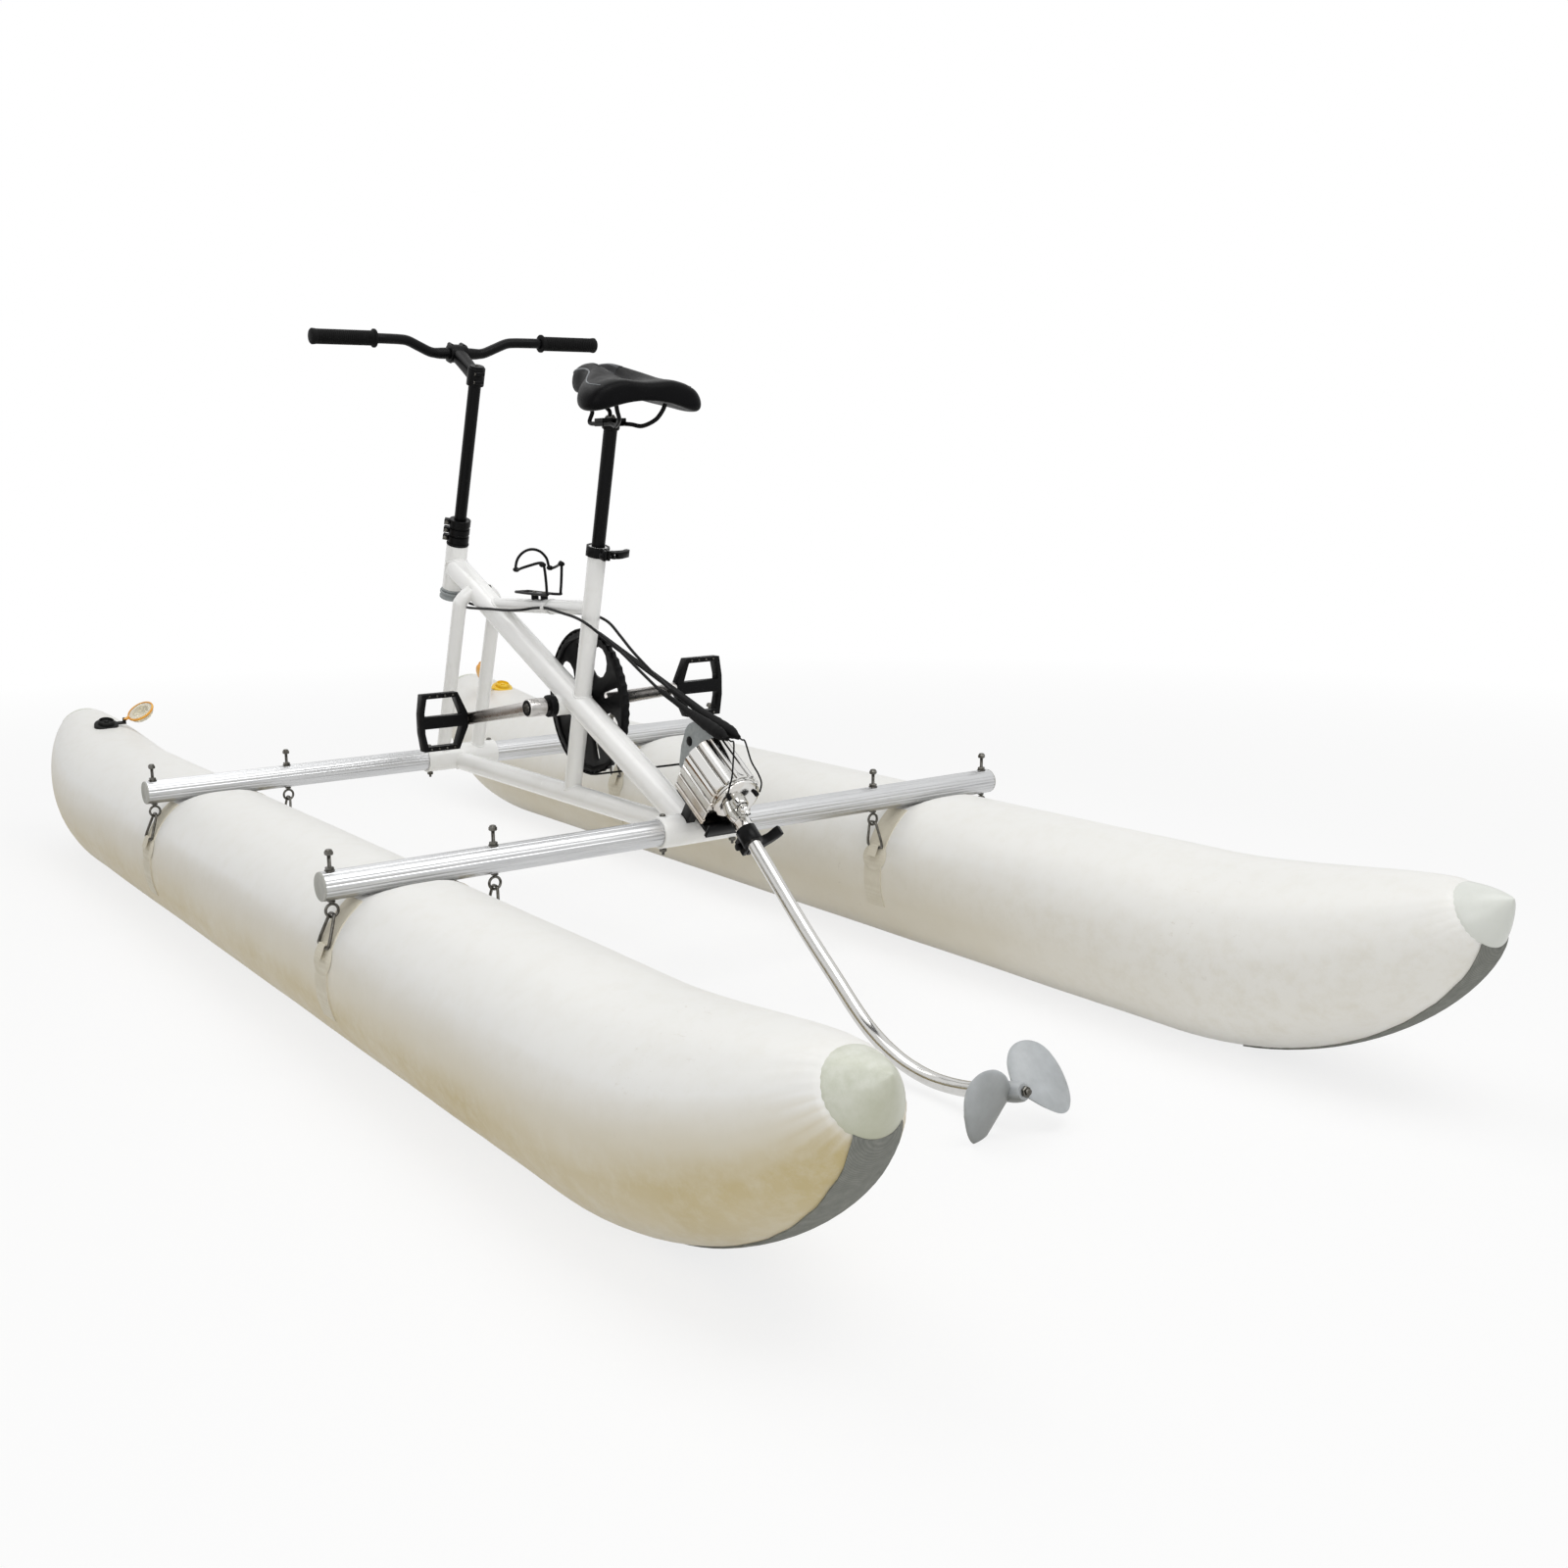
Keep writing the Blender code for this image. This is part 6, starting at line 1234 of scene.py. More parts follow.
def saddle_section(share):
    """Half width, top, underside and arch of the saddle at a share of its length."""
    stations = (
        (0, 0.014, 0.106, 0.086, 0), (0.04, 0.026, 0.12, 0.074, 0),
        (0.13, 0.034, 0.127, 0.064, 0.01), (0.3, 0.041, 0.126, 0.055, 0.02),
        (0.44, 0.058, 0.118, 0.043, 0.028), (0.57, 0.088, 0.107, 0.029, 0.036),
        (0.69, 0.113, 0.096, 0.018, 0.042), (0.8, 0.125, 0.09, 0.009, 0.047),
        (0.9, 0.126, 0.087, 0.007, 0.047), (0.965, 0.118, 0.083, 0.013, 0.036),
        (1, 0.1, 0.076, 0.03, 0.014))
    last = len(stations) - 1
    i = max(k for k in range(last) if share >= stations[k][0])
    before, low, high, after = (stations[min(last, max(0, i + k))] for k in (-1, 0, 1, 2))
    span = high[0] - low[0]
    t = (share - low[0]) / span
    values = []
    for a, b, c, d in zip(before[1:], low[1:], high[1:], after[1:]):
        rise_b = (c - a) / (high[0] - before[0]) * span
        rise_c = (d - b) / (after[0] - low[0]) * span
        values.append(b + rise_b * t + (3 * (c - b) - 2 * rise_b - rise_c) * t ** 2
                      + (rise_b + rise_c - 2 * (c - b)) * t ** 3)
    return values


def make_saddle():
    base = seat_point(SEAT_POST_TOP).z
    top_rows = []
    rings = []
    for i in range(SADDLE_ROWS + 1):
        share = 0.35 * (0.5 - 0.5 * cos(pi * i / SADDLE_ROWS)) + 0.65 * i / SADDLE_ROWS
        half, crown, floor, arch = saddle_section(share)
        end = min(1, min(share, 1 - share) / 0.03)
        squeeze = 0.72 + 0.28 * sqrt(max(0, 1 - (1 - end) ** 2))
        x = SADDLE_NOSE + (SADDLE_BACK - SADDLE_NOSE) * share
        channel = 0.014 * exp(-((share - 0.46) / 0.26) ** 4)
        upper = []
        lower = []
        for k in range(SADDLE_COLUMNS):
            u = sin(pi / 2 * (k - SADDLE_MIDDLE) / SADDLE_MIDDLE)
            groove = channel * exp(-(u * half / 0.013) ** 4)
            seam = 0.0012 * exp(-((abs(u) - 0.8) / 0.022) ** 2)
            swell = 0.004 * exp(-((abs(u) - 0.45) / 0.25) ** 2) * min(1, share * 3)
            top_z = crown + swell - 0.003 - groove - seam
            low_z = floor + arch * (1 - u * u)
            mid = low_z + (top_z - low_z) * 0.45
            shape = sqrt(max(0, 1 - u ** 4)) * squeeze
            upper.append(at(x, u * half, base + mid + (top_z - mid) * shape))
            lower.append(at(x, u * half, base + mid - (mid - low_z) * shape))
        top_rows.append(upper)
        rings.append(upper + lower[-2:0:-1])
    bm = bmesh.new()
    skin(bm, rings)
    obj = piece("saddle_cushion", bm, "saddle_cover", "seat", "saddle", smooth=0, subdivide=1)
    bm = bmesh.new()
    for side in SIDES:
        path = [row[SADDLE_MIDDLE + side * 12] + Z * 0.0002 for row in top_rows[3:-4]]
        rod(bm, path, [0.0021 - 0.001 * k / len(path) for k in range(len(path))], 8)
    piece("saddle_piping", bm, "saddle_seam", "seat", smooth=0)
    bm = bmesh.new()
    skin(bm, [[p + Z * 0.0007 for p in row[14:27]] + [p - Z * 0.0012 for p in row[26:13:-1]]
              for row in top_rows[3:22]])
    piece("saddle_channel_panel", bm, "saddle_panel", "seat", smooth=60)


def make_rails():
    head = seat_point(SEAT_POST_TOP)
    nose = at(SADDLE_NOSE, 0, 0).x
    back = at(SADDLE_BACK, 0, 0).x
    bm = bmesh.new()
    for side in SIDES:
        path = [Vector((x, side * y, head.z + z)) for x, y, z in (
            (nose - 0.045, 0.012, 0.062), (nose - 0.06, 0.018, 0.046),
            (nose - 0.075, 0.02, 0.034), (head.x + 0.04, 0.0225, 0.014),
            (head.x, 0.0225, 0.011), (head.x - 0.04, 0.0225, 0.008),
            (back + 0.08, 0.03, 0.004), (back + 0.05, 0.04, 0.014),
            (back + 0.04, 0.05, 0.03), (back + 0.036, 0.055, 0.044))]
        rod(bm, smooth_path(path), 0.0042, 16)
    piece("rail_wires", bm, "black_paint", "seat", "saddle_rails", smooth=0)


def make_rail_clamp():
    head = seat_point(SEAT_POST_TOP)
    bm = bmesh.new()
    r = SEAT_POST_RADIUS
    lathe(bm, axis_frame(head, SEAT_AXIS),
          ((0, 0.0003), (r + 0.003, 0.0003), (r + 0.004, 0.004), (r + 0.0035, 0.014),
           (0.011, 0.022), (0, 0.022)), 40)
    flat = Matrix.Translation(head)
    box(bm, flat, (-0.016, -0.027, 0.006), (0.016, 0.027, 0.0128))
    box(bm, flat, (-0.0155, -0.027, 0.0134), (0.0155, 0.027, 0.021))
    piece("rail_clamp", bm, "black_paint", "seat", bevel=0.001)
    bm = bmesh.new()
    for x in (-0.011, 0.011):
        m = moved(flat, x, 0, 0.021)
        hex_nut(bm, m, 0.005, -0.001, 0.0036)
        lathe(bm, m, rounded(0.002, 0.0062, 0.0026, 0.0004), 16)
    piece("rail_clamp_bolts", bm, "steel", "seat")


def make_seat_column():
    top = seat_point(SEAT_TUBE_TOP)
    length = (seat_point(SEAT_POST_TOP) - top).length
    turned("seat_column", axis_frame(top, SEAT_AXIS),
           rounded(-0.15, length, SEAT_POST_RADIUS, 0.0004, SEAT_POST_RADIUS - 0.0025), 48,
           "black_paint", "seat", "seat_post")


# Cranks

def make_cranks():
    stations = ((0, 0.082, 0.0985, 0.0165), (0.14, 0.086, 0.1005, 0.015),
                (0.5, 0.112, 0.126, 0.0135), (0.8, 0.135, 0.149, 0.0128),
                (0.92, 0.143, 0.157, 0.0125), (1, 0.143, 0.157, 0.0115))
    for side in SIDES:
        name = SIDE_NAMES[side]
        along = Vector((side * cos(CRANK_DROP), 0, -side * sin(CRANK_DROP)))
        m = axis_frame(BRACKET, Y * side, along)
        tip = BRACKET + along * CRANK_LENGTH
        tip_m = axis_frame(tip, Y * side, along)
        upright = m.to_3x3() @ Y
        bm = bmesh.new()
        lathe(bm, m, rounded(0.06, 0.1, 0.019, 0.002, 0.0088), 48)
        skin(bm, [oval(BRACKET + along * (CRANK_LENGTH * share) + Y * (side * (low + high) / 2),
                       upright * half, Y * (side * (high - low) / 2), 24, 0.75, 0.6)
                  for share, low, high, half in stations])
        lathe(bm, tip_m, rounded(0.1434, 0.1566, 0.0132, 0.0016), 40)
        piece(name + "_crank_arm", bm, "crank_alloy", "crankset", name + "_crank", smooth=34)
        cap = ((0, 0.098), (0.0165, 0.098), (0.0165, 0.1012), (0.015, 0.1024),
               (0.0125, 0.1022), (0.0118, 0.0985), (0, 0.0985))
        turned(name + "_crank_cap", m, cap, 40, "black_plastic", "crankset")
        bm = bmesh.new()
        hex_nut(bm, m, 0.008, 0.099, 0.1016)
        lathe(bm, tip_m, ((0, 0.1555), (0.0078, 0.1555), (0.0078, 0.1592), (0.0052, 0.1594),
                          (0.005, 0.259), (0, 0.2594)), 28)
        lathe(bm, tip_m, ((0, 0.1428), (0.0062, 0.1428), (0.0062, 0.1424), (0, 0.1424)), 28)
        piece(name + "_crank_steel", bm, "steel", "crankset")
        make_pedal_pins(name, side, tip)
    dress(["crank_axle"], "steel")
    dress(["left_bracket_cup", "right_bracket_cup"], "black_plastic", 0.0008)
    dress(["belt_pulley", "small_pulley"], "black_plastic", 0.0004)
    dress(["drive_belt"], "belt_rubber", 0.0006)
    dress(["left_pedal", "right_pedal"], "black_plastic", 0.0012)


def make_pedal_pins(name, side, tip):
    """Grip pins on both faces of a pedal, along its upper and lower edges."""
    pin = ((0, -0.001), (0.0021, -0.001), (0.0021, 0.0024), (0.0015, 0.003), (0, 0.003))
    bm = bmesh.new()
    for level in SIDES:
        for y in (PEDAL_PIN_Y + PEDAL_PIN_SPACING * k for k in range(4)):
            for face in SIDES:
                spot = Vector((tip.x + face * PEDAL_FACE, side * y, tip.z + level * PEDAL_PIN_Z))
                lathe(bm, axis_frame(spot, X * face, Y), pin, 12)
    piece(name + "_pedal_pins", bm, "steel", name + "_pedal_body")


# Drive unit and leg

def housing_outline():
    """Round, fluted top and straight fluted sides, seen along the output axis."""
    def reach(position):
        """Distance from the middle, at a position counted in flutes."""
        return HOUSING_RADIUS - FLUTE_DEPTH * exp(-((position % 1 - 0.5) / 0.1) ** 2)

    top = [(reach(a * 6 / pi) * cos(a), reach(a * 6 / pi) * sin(a))
           for a in (pi / 2 - pi * k / 108 for k in range(109))]
    side = [(-x, reach(x / FLUTE_SPACING)) for x in (HOUSING_DEPTH * k / 58 for k in range(1, 58))]
    side.append((-HOUSING_DEPTH, HOUSING_RADIUS - 0.003))
    return top + [(x, -y) for x, y in side] + side[::-1]


def make_leg_socket():
    """Polished socket that carries the leg under the turning head."""
    top, below = (at(x, 0, z) for x, z in LEG_PATH[:2])
    along = (below - top).normalized()
    start = drive_point(HEAD_CAP_HIGH - 0.004, -0.034)
    bm = bmesh.new()
    lathe(bm, axis_frame(top - along * 0.016, along, Y),
          rounded(0, 0.03, LEG_TUBE_RADIUS + 0.0035, 0.0015, LEG_TUBE_RADIUS + 0.0003), 48)
    path = smooth_path([start, start.lerp(top, 0.5) + DRIVE_AXIS * 0.004, top - along * 0.01], 5)
    rod(bm, path, [0.0145 - 0.002 * k / (len(path) - 1) for k in range(len(path))], 28)
    piece("leg_socket", bm, "polished_alloy", "leg", smooth=40)


def make_gearbox():
    outline = housing_outline()
    bm = bmesh.new()
    skin(bm, [[DRIVE @ Vector((x * shrink, y * shrink, z)) for x, y in outline]
              for z, shrink in ((HOUSING_FRONT, 0.965), (HOUSING_FRONT + HOUSING_EDGE, 1),
                                (HOUSING_REAR - HOUSING_EDGE, 1), (HOUSING_REAR, 0.965))])
    barrel = piece("gearbox_barrel", bm, "polished_alloy", node="gearbox_housing", smooth=30)
    # Faces at the bottom of the flutes take the dark groove material: painted shade in the
    # hollows.
    barrel.data.materials.append(MATERIALS["groove_shade"])
    into = DRIVE.inverted()
    for polygon in barrel.data.polygons:
        spot = into @ polygon.center
        reach = hypot(spot.x, spot.y) if spot.x > 0 else abs(spot.y)
        if (reach < HOUSING_RADIUS - 0.002 and spot.x > 0.001 - HOUSING_DEPTH
                and HOUSING_FRONT + 0.001 <= spot.z <= HOUSING_REAR - 0.001):
            polygon.material_index = 1


def make_swivel():
    near = HEAD_CAP_LOW
    far = HEAD_CAP_HIGH
    r = HEAD_CAP_RADIUS
    cap = ((0.0113, near), (r - 0.0015, near), (r, near + 0.0015), (r, near + 0.005),
           (r - 0.0014, near + 0.0056), (r - 0.0014, near + 0.0066), (r, near + 0.0072),
           (r - 0.0004, far - 0.0048), (r - 0.0022, far - 0.0026), (r - 0.0065, far - 0.001),
           (r - 0.014, far), (0.015, far + 0.0006), (0.014, far + 0.012),
           (0.0113, far + 0.013))
    turned("swivel_cap", DRIVE, cap, 72, "polished_alloy", "leg", "swivel_head", smooth=30)
    bm = bmesh.new()
    lathe(bm, DRIVE, ((r - 0.0018, near + 0.0054), (r - 0.0008, near + 0.0054),
                      (r - 0.0008, near + 0.0068), (r - 0.0018, near + 0.0068)), 72)
    for side in SIDES:
        spot = drive_point(far - 0.002, 0.0182, side * 0.0298)
        lathe(bm, axis_frame(spot, DRIVE_AXIS, Y), rounded(0, 0.0095, 0.0044, 0.0008), 20)
    piece("swivel_seal", bm, "black_plastic", "leg")


def make_drive_plates():
    dress(["output_coupling"], "polished_alloy", 0.0003)
    dress(["drive_bracket"], "black_paint", 0.001)
    dress(["side_plate"], "cast_grey", 0.001)
    bm = bmesh.new()
    for up in (-0.06, 0.04):
        spot = drive_point(-0.037, up)
        spot.y = middle_of("side_plate").y - 0.006
        hex_nut(bm, axis_frame(spot, -Y), 0.0056, -0.0005, 0.0038)
    for side in SIDES:
        spot = drive_point(-0.03, -HOUSING_DEPTH - 0.0074, side * 0.034)
        hex_nut(bm, axis_frame(spot, -DRIVE_UP, Y), 0.0062, -0.0004, 0.0042)
    piece("drive_bolts", bm, "steel")


def blade_rings(turn):
    """Rings of one paddle-shaped blade, from the hub to its round tip."""
    stations = ((0.12, 0.17, 0.003), (0.26, 0.4, 0.0028), (0.46, 0.56, 0.0024),
                (0.68, 0.57, 0.0018), (0.87, 0.45, 0.0015), (0.97, 0.26, 0.0011),
                (1, 0.015, 0.0008))
    rings = []
    for share, width, thick in smooth_path([Vector(s) for s in stations], 5):
        twist = BLADE_PITCH + BLADE_TWIST * (0.58 - share)
        w = BLADE_CHORD * max(width, 0.012)
        chord = Vector((cos(twist), 0, sin(twist)))
        normal = Vector((-sin(twist), 0, cos(twist)))
        rings.append([turn @ (Y * (PROPELLER_RADIUS * share) + chord * (w * cos(a))
                              + normal * (thick * 0.9 * flattened(sin(a), 0.7)
                                          + 0.1 * w * sin(a) ** 2)) for a in turns(36)])
    return rings


def make_leg():
    points = [at(x, 0, z) for x, z in LEG_PATH]
    end = points[-1]
    bm = bmesh.new()
    pipe(bm, smooth_path(points), LEG_TUBE_RADIUS, 0.0015, 48)
    piece("leg_pipe", bm, "stainless", "leg", "leg_tube", smooth=60)
    dress(["leg_clamp", "seat_clamp_lever"], "black_paint", 0.0008)
    dress(["leg_clamp_lever"], "black_paint", 0.001)
    dress(["seat_clamp"], "black_paint", 0.0006)
    bush = ((0.005, -0.01), (0.0112, -0.01), (0.0112, 0.0006), (0.013, 0.0008),
            (0.0128, 0.0036), (0.008, 0.0052), (0.005, 0.0052))
    turned("leg_bush", axis_frame(end, end - points[-2], Z), bush, 40, "black_plastic", "leg")


def make_propeller():
    end = at(LEG_PATH[-1][0], 0, LEG_PATH[-1][1])
    m = axis_frame(PROPELLER, PROPELLER - end, Z)
    shaft_end = -(PROPELLER - end).length - 0.011
    bm = bmesh.new()
    lathe(bm, m, ((0, shaft_end), (0.0045, shaft_end), (0.0045, -0.0235), (0, -0.023)), 28)
    hex_nut(bm, m, 0.0088, 0.0245, 0.031)
    lathe(bm, m, [(0, 0.028)] + thread(0.004, 0.03, 0.036) + [(0, 0.0372)], 20)
    piece("propeller_steel", bm, "steel", "propeller_body", smooth=34)
    bm = bmesh.new()
    lathe(bm, m, ((0.0046, -0.0235), (0.0125, -0.0235), (0.014, -0.022), (0.0155, -0.014),
                  (0.0165, 0), (0.0164, 0.008), (0.015, 0.019), (0.0125, 0.0238),
                  (0.0046, 0.024)), 48)
    for half_turn in (0, pi):
        skin(bm, blade_rings(m @ Matrix.Rotation(BLADE_TURN + half_turn, 4, "Z")))
    piece("propeller_blades", bm, "propeller_grey", "propeller_body", "propeller", smooth=50)


# Cables

def make_cables():
    for side in SIDES:
        name = SIDE_NAMES[side] + "_steering_cable"
        *route, knee, last = (at(x, side * y, z) for x, y, z in
                              CABLE_ROUTE + (BOOT_KNEE, BOOT_END))
        out = (last - knee).normalized()
        boot = [route[-1].lerp(knee, s) for s in (0.04, 0.1, 0.3, 0.55, 0.8)]
        boot += [knee] + [knee.lerp(last, s) for s in (0.25, 0.5, 0.75, 0.84, 0.93, 1)]
        sizes = smooth_path([Vector((s, 0, 0)) for s in BOOT_SIZES], 4)
        radii = [BOOT_RADIUS * size.x + (0.0005 * sin(i * 2.4) if 26 < i < 40 else 0)
                 for i, size in enumerate(sizes)]
        wire = [last - out * 0.004, last + out * 0.01, last + out * 0.02]
        wire += [drive_point(HEAD_CAP_HIGH + along, up, side * y) for along, up, y in (
            (-0.032, 0.068, 0.02), (-0.012, 0.054, 0.029), (-0.001, 0.04, 0.0355),
            (0.004, 0.0222, 0.036))]
        for ending, path, size, sides, look, node, slot, smooth in (
                ("_line", smooth_path(route + [route[-1].lerp(knee, 0.12)]), CABLE_RADIUS, 16,
                 "cable_black", name, None, 0),
                ("_boot", smooth_path(boot, 4), radii, 24, "grip_rubber", None, None, 60),
                ("_wire", smooth_path(wire), WIRE_RADIUS, 10, "cable_black", None, "steel", 0)):
            bm = bmesh.new()
            rod(bm, path, size, sides)
            piece(name + ending, bm, look, node=node, slot=slot, smooth=smooth)


def make_cable_tie():
    """White tie round both cables and the top tube."""
    centre = top_tube_point(TIE_X)
    up = TOP_SLOPE.cross(Y)
    up = up if up.z > 0 else -up
    reach = TOP_RADIUS + 0.0006
    bulge = 0.0078
    outline = [((reach + bulge * max(0, 1 - abs(sin(a)) * 1.15)) * cos(a), reach * sin(a))
               for a in turns(32)]
    bm = bmesh.new()
    skin(bm, [[centre + TOP_SLOPE * edge + Y * (u * grow) + up * (v * grow) for u, v in outline]
              for edge, grow in ((-0.002, 1), (-0.002, 1 + 0.0011 / reach),
                                 (0.002, 1 + 0.0011 / reach), (0.002, 1))], loop=True)
    box(bm, axis_frame(centre + Y * (reach + bulge) - up * 0.002, Y, TOP_SLOPE),
        (-0.0032, -0.0036, -0.001), (0.0032, 0.0036, 0.004))
    piece("cable_tie", bm, "white_plastic", bevel=0.0003)


# Valves

def valve_frame(side):
    t = asin((VALVE_X - BOW.straight) / BOW.bend_radius) / BOW.bend
    across = BOW.frame(t, side * FLOAT_TRACK)
    up = across.to_3x3() @ Y
    return axis_frame(across.translation + up * (BOW.radius(t) + VALVE_LIFT), up)


def make_valves():
    r = NECK_RADIUS
    seat = ((0, -0.01), (VALVE_RADIUS, -0.01), (VALVE_RADIUS, 0.0006),
            (VALVE_RADIUS * 0.97, 0.0024), (VALVE_RADIUS * 0.84, 0.004), (r, 0.0044),
            (r, 0.011), (r - 0.0015, 0.013), (r - 0.004, 0.0135), (r - 0.005, 0.008),
            (0.006, 0.008), (0.0045, 0.0115), (0, 0.012))
    for side in SIDES:
        name = SIDE_NAMES[side]
        m = valve_frame(side)
        hinge_y = -side * HINGE_REACH
        bm = bmesh.new()
        lathe(bm, m, seat, 56)
        for z in (0.007, 0.0095):
            lathe(bm, m, ((r - 0.001, z - 0.0007), (r + 0.0008, z), (r - 0.001, z + 0.0007)), 56)
        near, far = sorted((-side * (VALVE_RADIUS - 0.006), hinge_y - side * 0.004))
        box(bm, m, (-0.007, near, 0.0004), (0.007, far, 0.003))
        for ear in ((0.0053, 0.0068), (-0.0068, -0.0053)):
            box(bm, m, (ear[0], hinge_y - 0.003, 0.002),
                (ear[1], hinge_y + 0.003, HINGE_Z + 0.003))
        look = "valve_rubber" if side > 0 else "yellow_plastic"
        piece(name + "_valve_seat", bm, look, node=name + "_valve_base", smooth=34)
        hinge = moved(m, 0, hinge_y, HINGE_Z)
        swung = hinge @ Matrix.Rotation(side * CAP_OPEN[side], 4, "X")
        make_valve_cap(name, side, moved(swung, 0, -hinge_y, 0.0012))


def make_valve_cap(name, side, cap):
    body = name + "_cap"
    inner = NECK_RADIUS + 0.002
    roof = VALVE_CAP_ROOF
    outer = VALVE_CAP_RADIUS
    dome = [(inner, 0.0012), (outer - 0.005, 0.0012)]
    dome += [((outer - 0.0045) * cos(a) ** 0.6, roof * 0.35 + (roof * 0.65 + 0.0012) * sin(a))
             for a in (pi / 2 * k / 8 for k in range(8))]
    dome += [(0, roof + 0.0012), (0, roof - 0.0016), (inner * 0.8, roof - 0.003),
             (inner, roof - 0.007)]
    # Painted shade: the right cap's dome takes the orange colour, standing for its yellow plastic
    # in shade.
    turned(body + "_dome", cap, dome, 56, "clear_plastic" if side > 0 else "orange_rubber_and_shade",
           body, name + "_valve_cap", smooth=50)
    bm = bmesh.new()
    lathe(bm, cap, rounded(-0.0005, 0.0052, outer, 0.002, outer - 0.0042), 56)
    near, far = sorted((-side * (outer - 0.005), -side * (HINGE_REACH + 0.0012)))
    box(bm, cap, (-0.0046, near, -0.0024), (0.0046, far, 0.0016))
    piece(body + "_rim", bm, "orange_rubber_and_shade", body, smooth=34)


# Stage

def make_camera():
    data = bpy.data.cameras.new("photo_camera")
    data.sensor_width = 36
    data.lens = FOCAL_PIXELS * data.sensor_width / IMAGE_SIZE
    data.shift_x = (IMAGE_SIZE / 2 - AIM_PIXEL[0]) / IMAGE_SIZE
    data.shift_y = (AIM_PIXEL[1] - IMAGE_SIZE / 2) / IMAGE_SIZE
    ahead = Vector((cos(CAMERA_YAW) * cos(CAMERA_PITCH),
                    sin(CAMERA_YAW) * cos(CAMERA_PITCH), sin(CAMERA_PITCH)))
    right = Vector((sin(CAMERA_YAW), -cos(CAMERA_YAW), 0))
    up = right.cross(ahead)
    r = right * cos(CAMERA_ROLL) + up * sin(CAMERA_ROLL)
    u = up * cos(CAMERA_ROLL) - right * sin(CAMERA_ROLL)
    camera = linked("photo_camera", data)
    m = Matrix((r, u, -ahead)).transposed().to_4x4()
    m.translation = at(*CAMERA_POINT)
    camera.matrix_world = m
    bpy.context.scene.camera = camera


def make_lights():
    for name, point, target_z, size, power in (
            ("key_light", (-2.4, -0.6, 4.6), 0.3, (3.4, 2.6), 85),
            ("top_light", (1.4, 0.6, 4.6), 0.3, (3.4, 3), 55),
            ("fill_light", (-4.4, 3.4, 2.6), 0.4, (2.4, 2), 44)):
        data = bpy.data.lights.new(name, "AREA")
        data.shape = "RECTANGLE"
        data.size, data.size_y = size
        data.energy = power
        light = linked(name, data)
        light.location = point
        aim = Vector((0, 0, target_z)) - Vector(point)
        light.rotation_euler = aim.to_track_quat("-Z", "Y").to_euler()


def stage_panel(name, m, half_x, half_y):
    """Flat rectangle of the stage, in the look of its own name."""
    bm = bmesh.new()
    bm.faces.new([bm.verts.new(m @ Vector((u * half_x, v * half_y, 0)))
                  for u, v in ((-1, -1), (1, -1), (1, 1), (-1, 1))])
    obj = mesh_object(name, bm, name)
    return obj


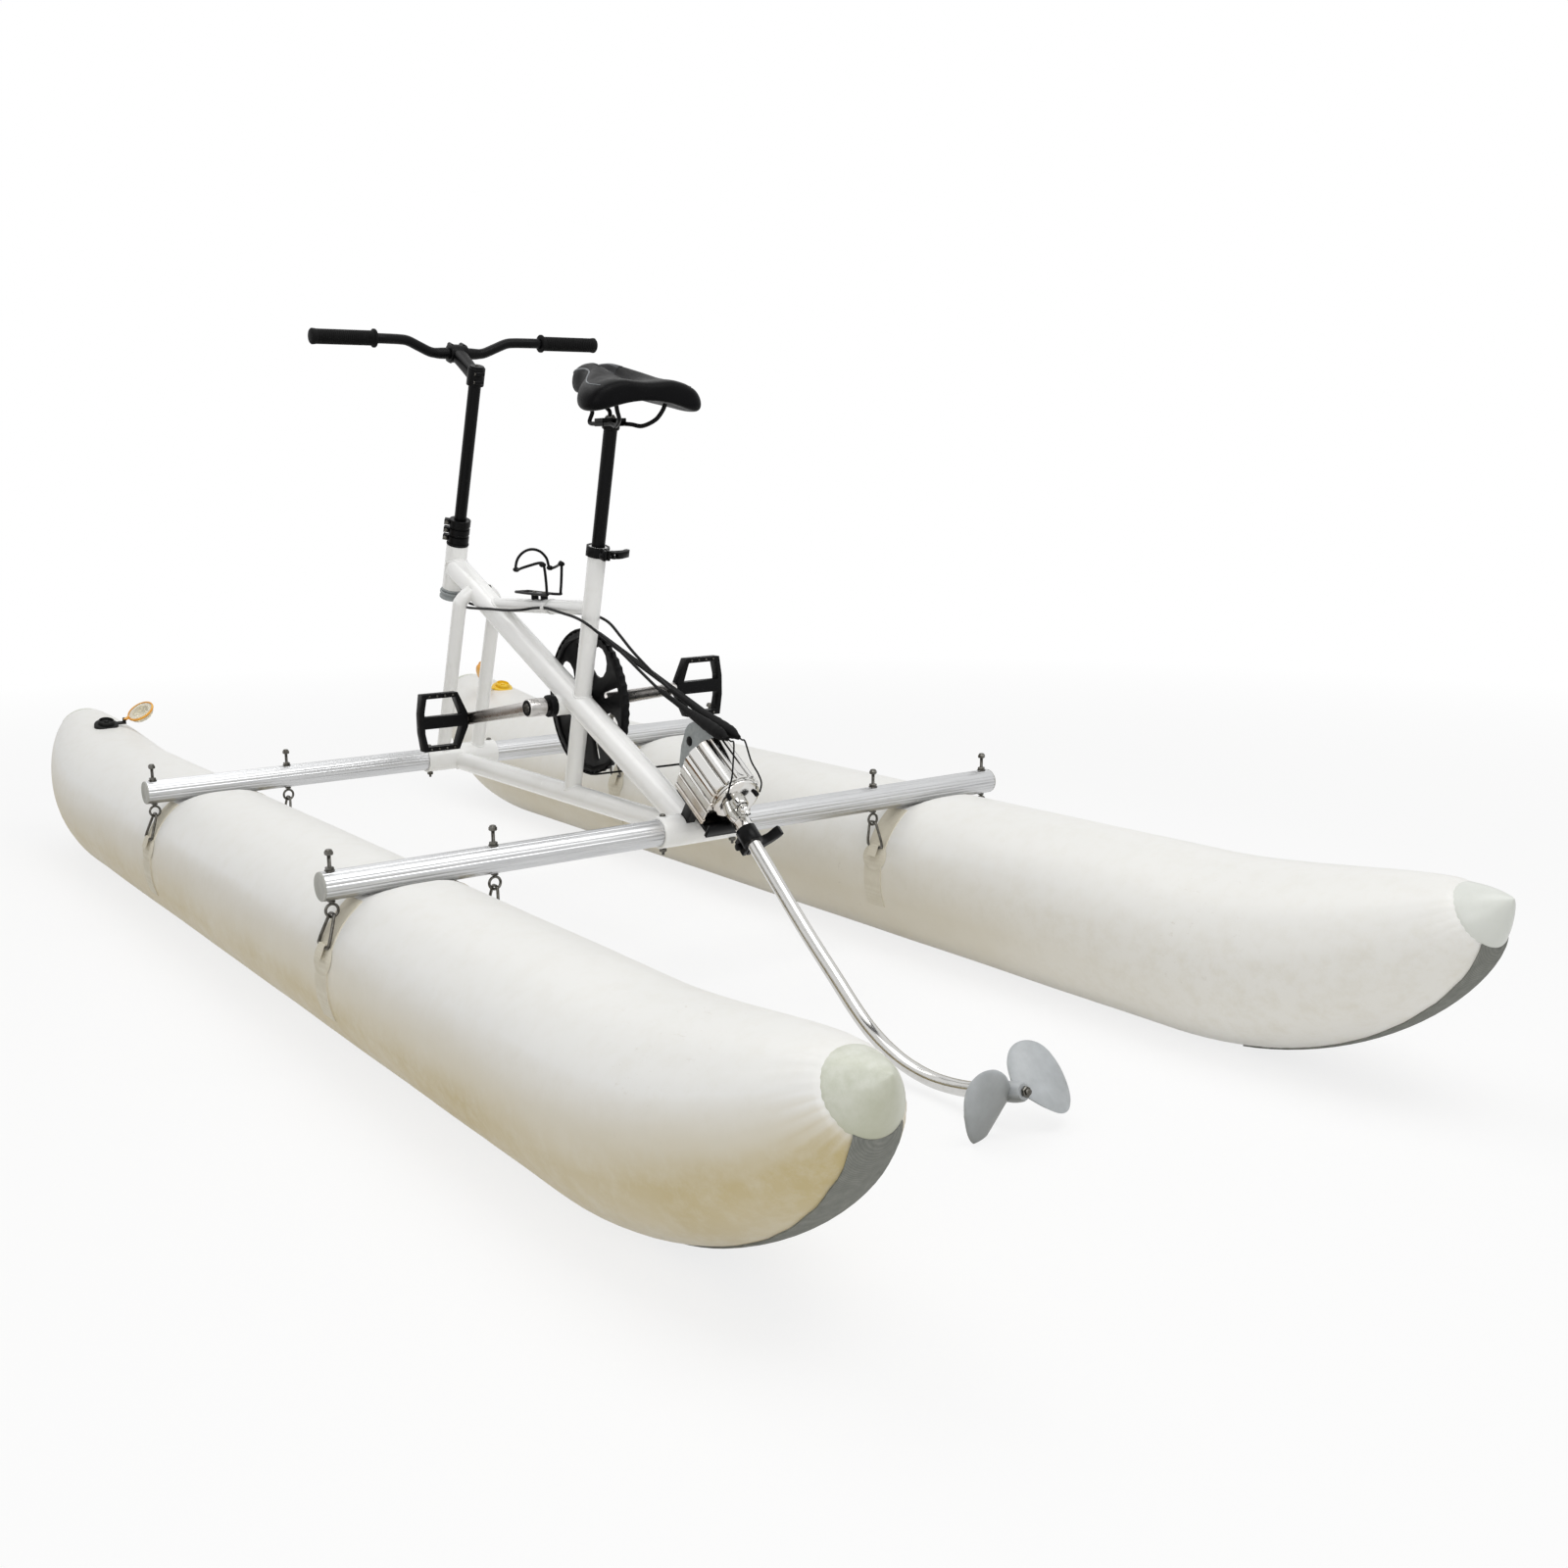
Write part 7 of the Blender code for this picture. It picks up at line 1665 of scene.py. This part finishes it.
def make_cards():
    """Dark and warm panels beside the craft that only the polished metal sees."""
    for name, colour, centre, facing, size in (
            ("warm_card", (0.16, 0.09, 0.04), (0.9, 2.1, 0.3), (-0.6, -0.8, 0), (2.4, 0.55)),
            ("left_card", (0.03, 0.03, 0.03), (-1.6, 2.9, 0.55), (0.2, -1, 0), (2.6, 0.22)),
            ("right_card", (0.05, 0.05, 0.05), (-0.6, -2.9, 0.45), (0, 1, 0), (2.6, 0.3)),
            ("rear_card", (0.1, 0.1, 0.1), (-2.7, -2.3, 0.1), (0.8, 0.5, 0), (2.6, 0.35)),
            ("front_card", (0.05, 0.05, 0.05), (2.7, -2.1, 0.95), (-0.8, 0.55, 0), (3.4, 0.3)),
            ("roof_card", (0.03, 0.03, 0.03), (-0.9, 0.4, 3.2), (0, 0, -1), (0.35, 5))):
        clouded(name, colour, 1, (3, 2), (0, 1), [c * 1.6 for c in colour],
                specular_ior_level=0)
        across = X if name == "roof_card" else Z.cross(Vector(facing))
        card = stage_panel(name, axis_frame(at(*centre), facing, across), size[0] / 2,
                           size[1] / 2)
        card.visible_camera = False
        card.visible_diffuse = False
        card.visible_shadow = False
        card.visible_transmission = False


def make_floor():
    """Floor that catches soft shadows and turns to plain white away from the craft."""
    look = clouded("floor", (0.9, 0.9, 0.895), 0.85, (1.5, 3), (0, 1), (0.895, 0.895, 0.89),
                   specular_ior_level=0.2)
    white = look.add("Emission", "Emission", {"Color": (1, 1, 1, 1)})
    fade = look.spread(look.near((0, 0, 0), FLOOR_FADE), 0, 0.6, 1, FLOOR_WHITE)
    blend = look.add("MixShader", "Shader", {"Fac": look.times(seen_rays(look.tree), fade),
                                             1: look.shader.outputs["BSDF"], 2: white})
    look.tree.links.new(blend, look.tree.nodes["Material Output"].inputs["Surface"])
    stage_panel("floor", Matrix.Translation((0, 0, FLOOR_Z)), FLOOR_HALF, FLOOR_HALF)


def make_world():
    """Plain white to look at, and a dimmer white that lights."""
    world = bpy.data.worlds.new("studio")
    world.use_nodes = True
    bpy.context.scene.world = world
    tree = world.node_tree
    base = tree.nodes["Background"]
    base.inputs["Color"].default_value = (1, 1, 1, 1)
    base.inputs["Strength"].default_value = WORLD_LIGHT
    shown = add_node(tree, "Background", "Background", {"Color": (1, 1, 1, 1), "Strength": 1})
    blend = add_node(tree, "MixShader", "Shader", {"Fac": seen_rays(tree),
                                                   1: base.outputs["Background"], 2: shown})
    tree.links.new(blend, tree.nodes["World Output"].inputs["Surface"])


def main():
    bpy.context.scene.view_settings.view_transform = "Standard"
    for make in (make_float_fabric, make_cap_fabric, make_weaves, make_paints_and_metals,
                 make_plastics, make_saddle_covers, make_camera, make_floor, make_world,
                 make_lights, make_cards, make_floats, make_tie_downs, make_crossbars,
                 make_frame_tubes, make_frame_barrels, make_fork_legs, make_welds, make_cage,
                 make_headset, make_post_clamp, make_stem, make_stem_bolts, make_handlebar,
                 make_saddle, make_rails, make_rail_clamp, make_seat_column, make_cranks,
                 make_gearbox, make_swivel, make_leg_socket, make_drive_plates, make_leg,
                 make_propeller, make_cables, make_cable_tie, make_valves):
        make()


main()
bpy.context.view_layer.update()
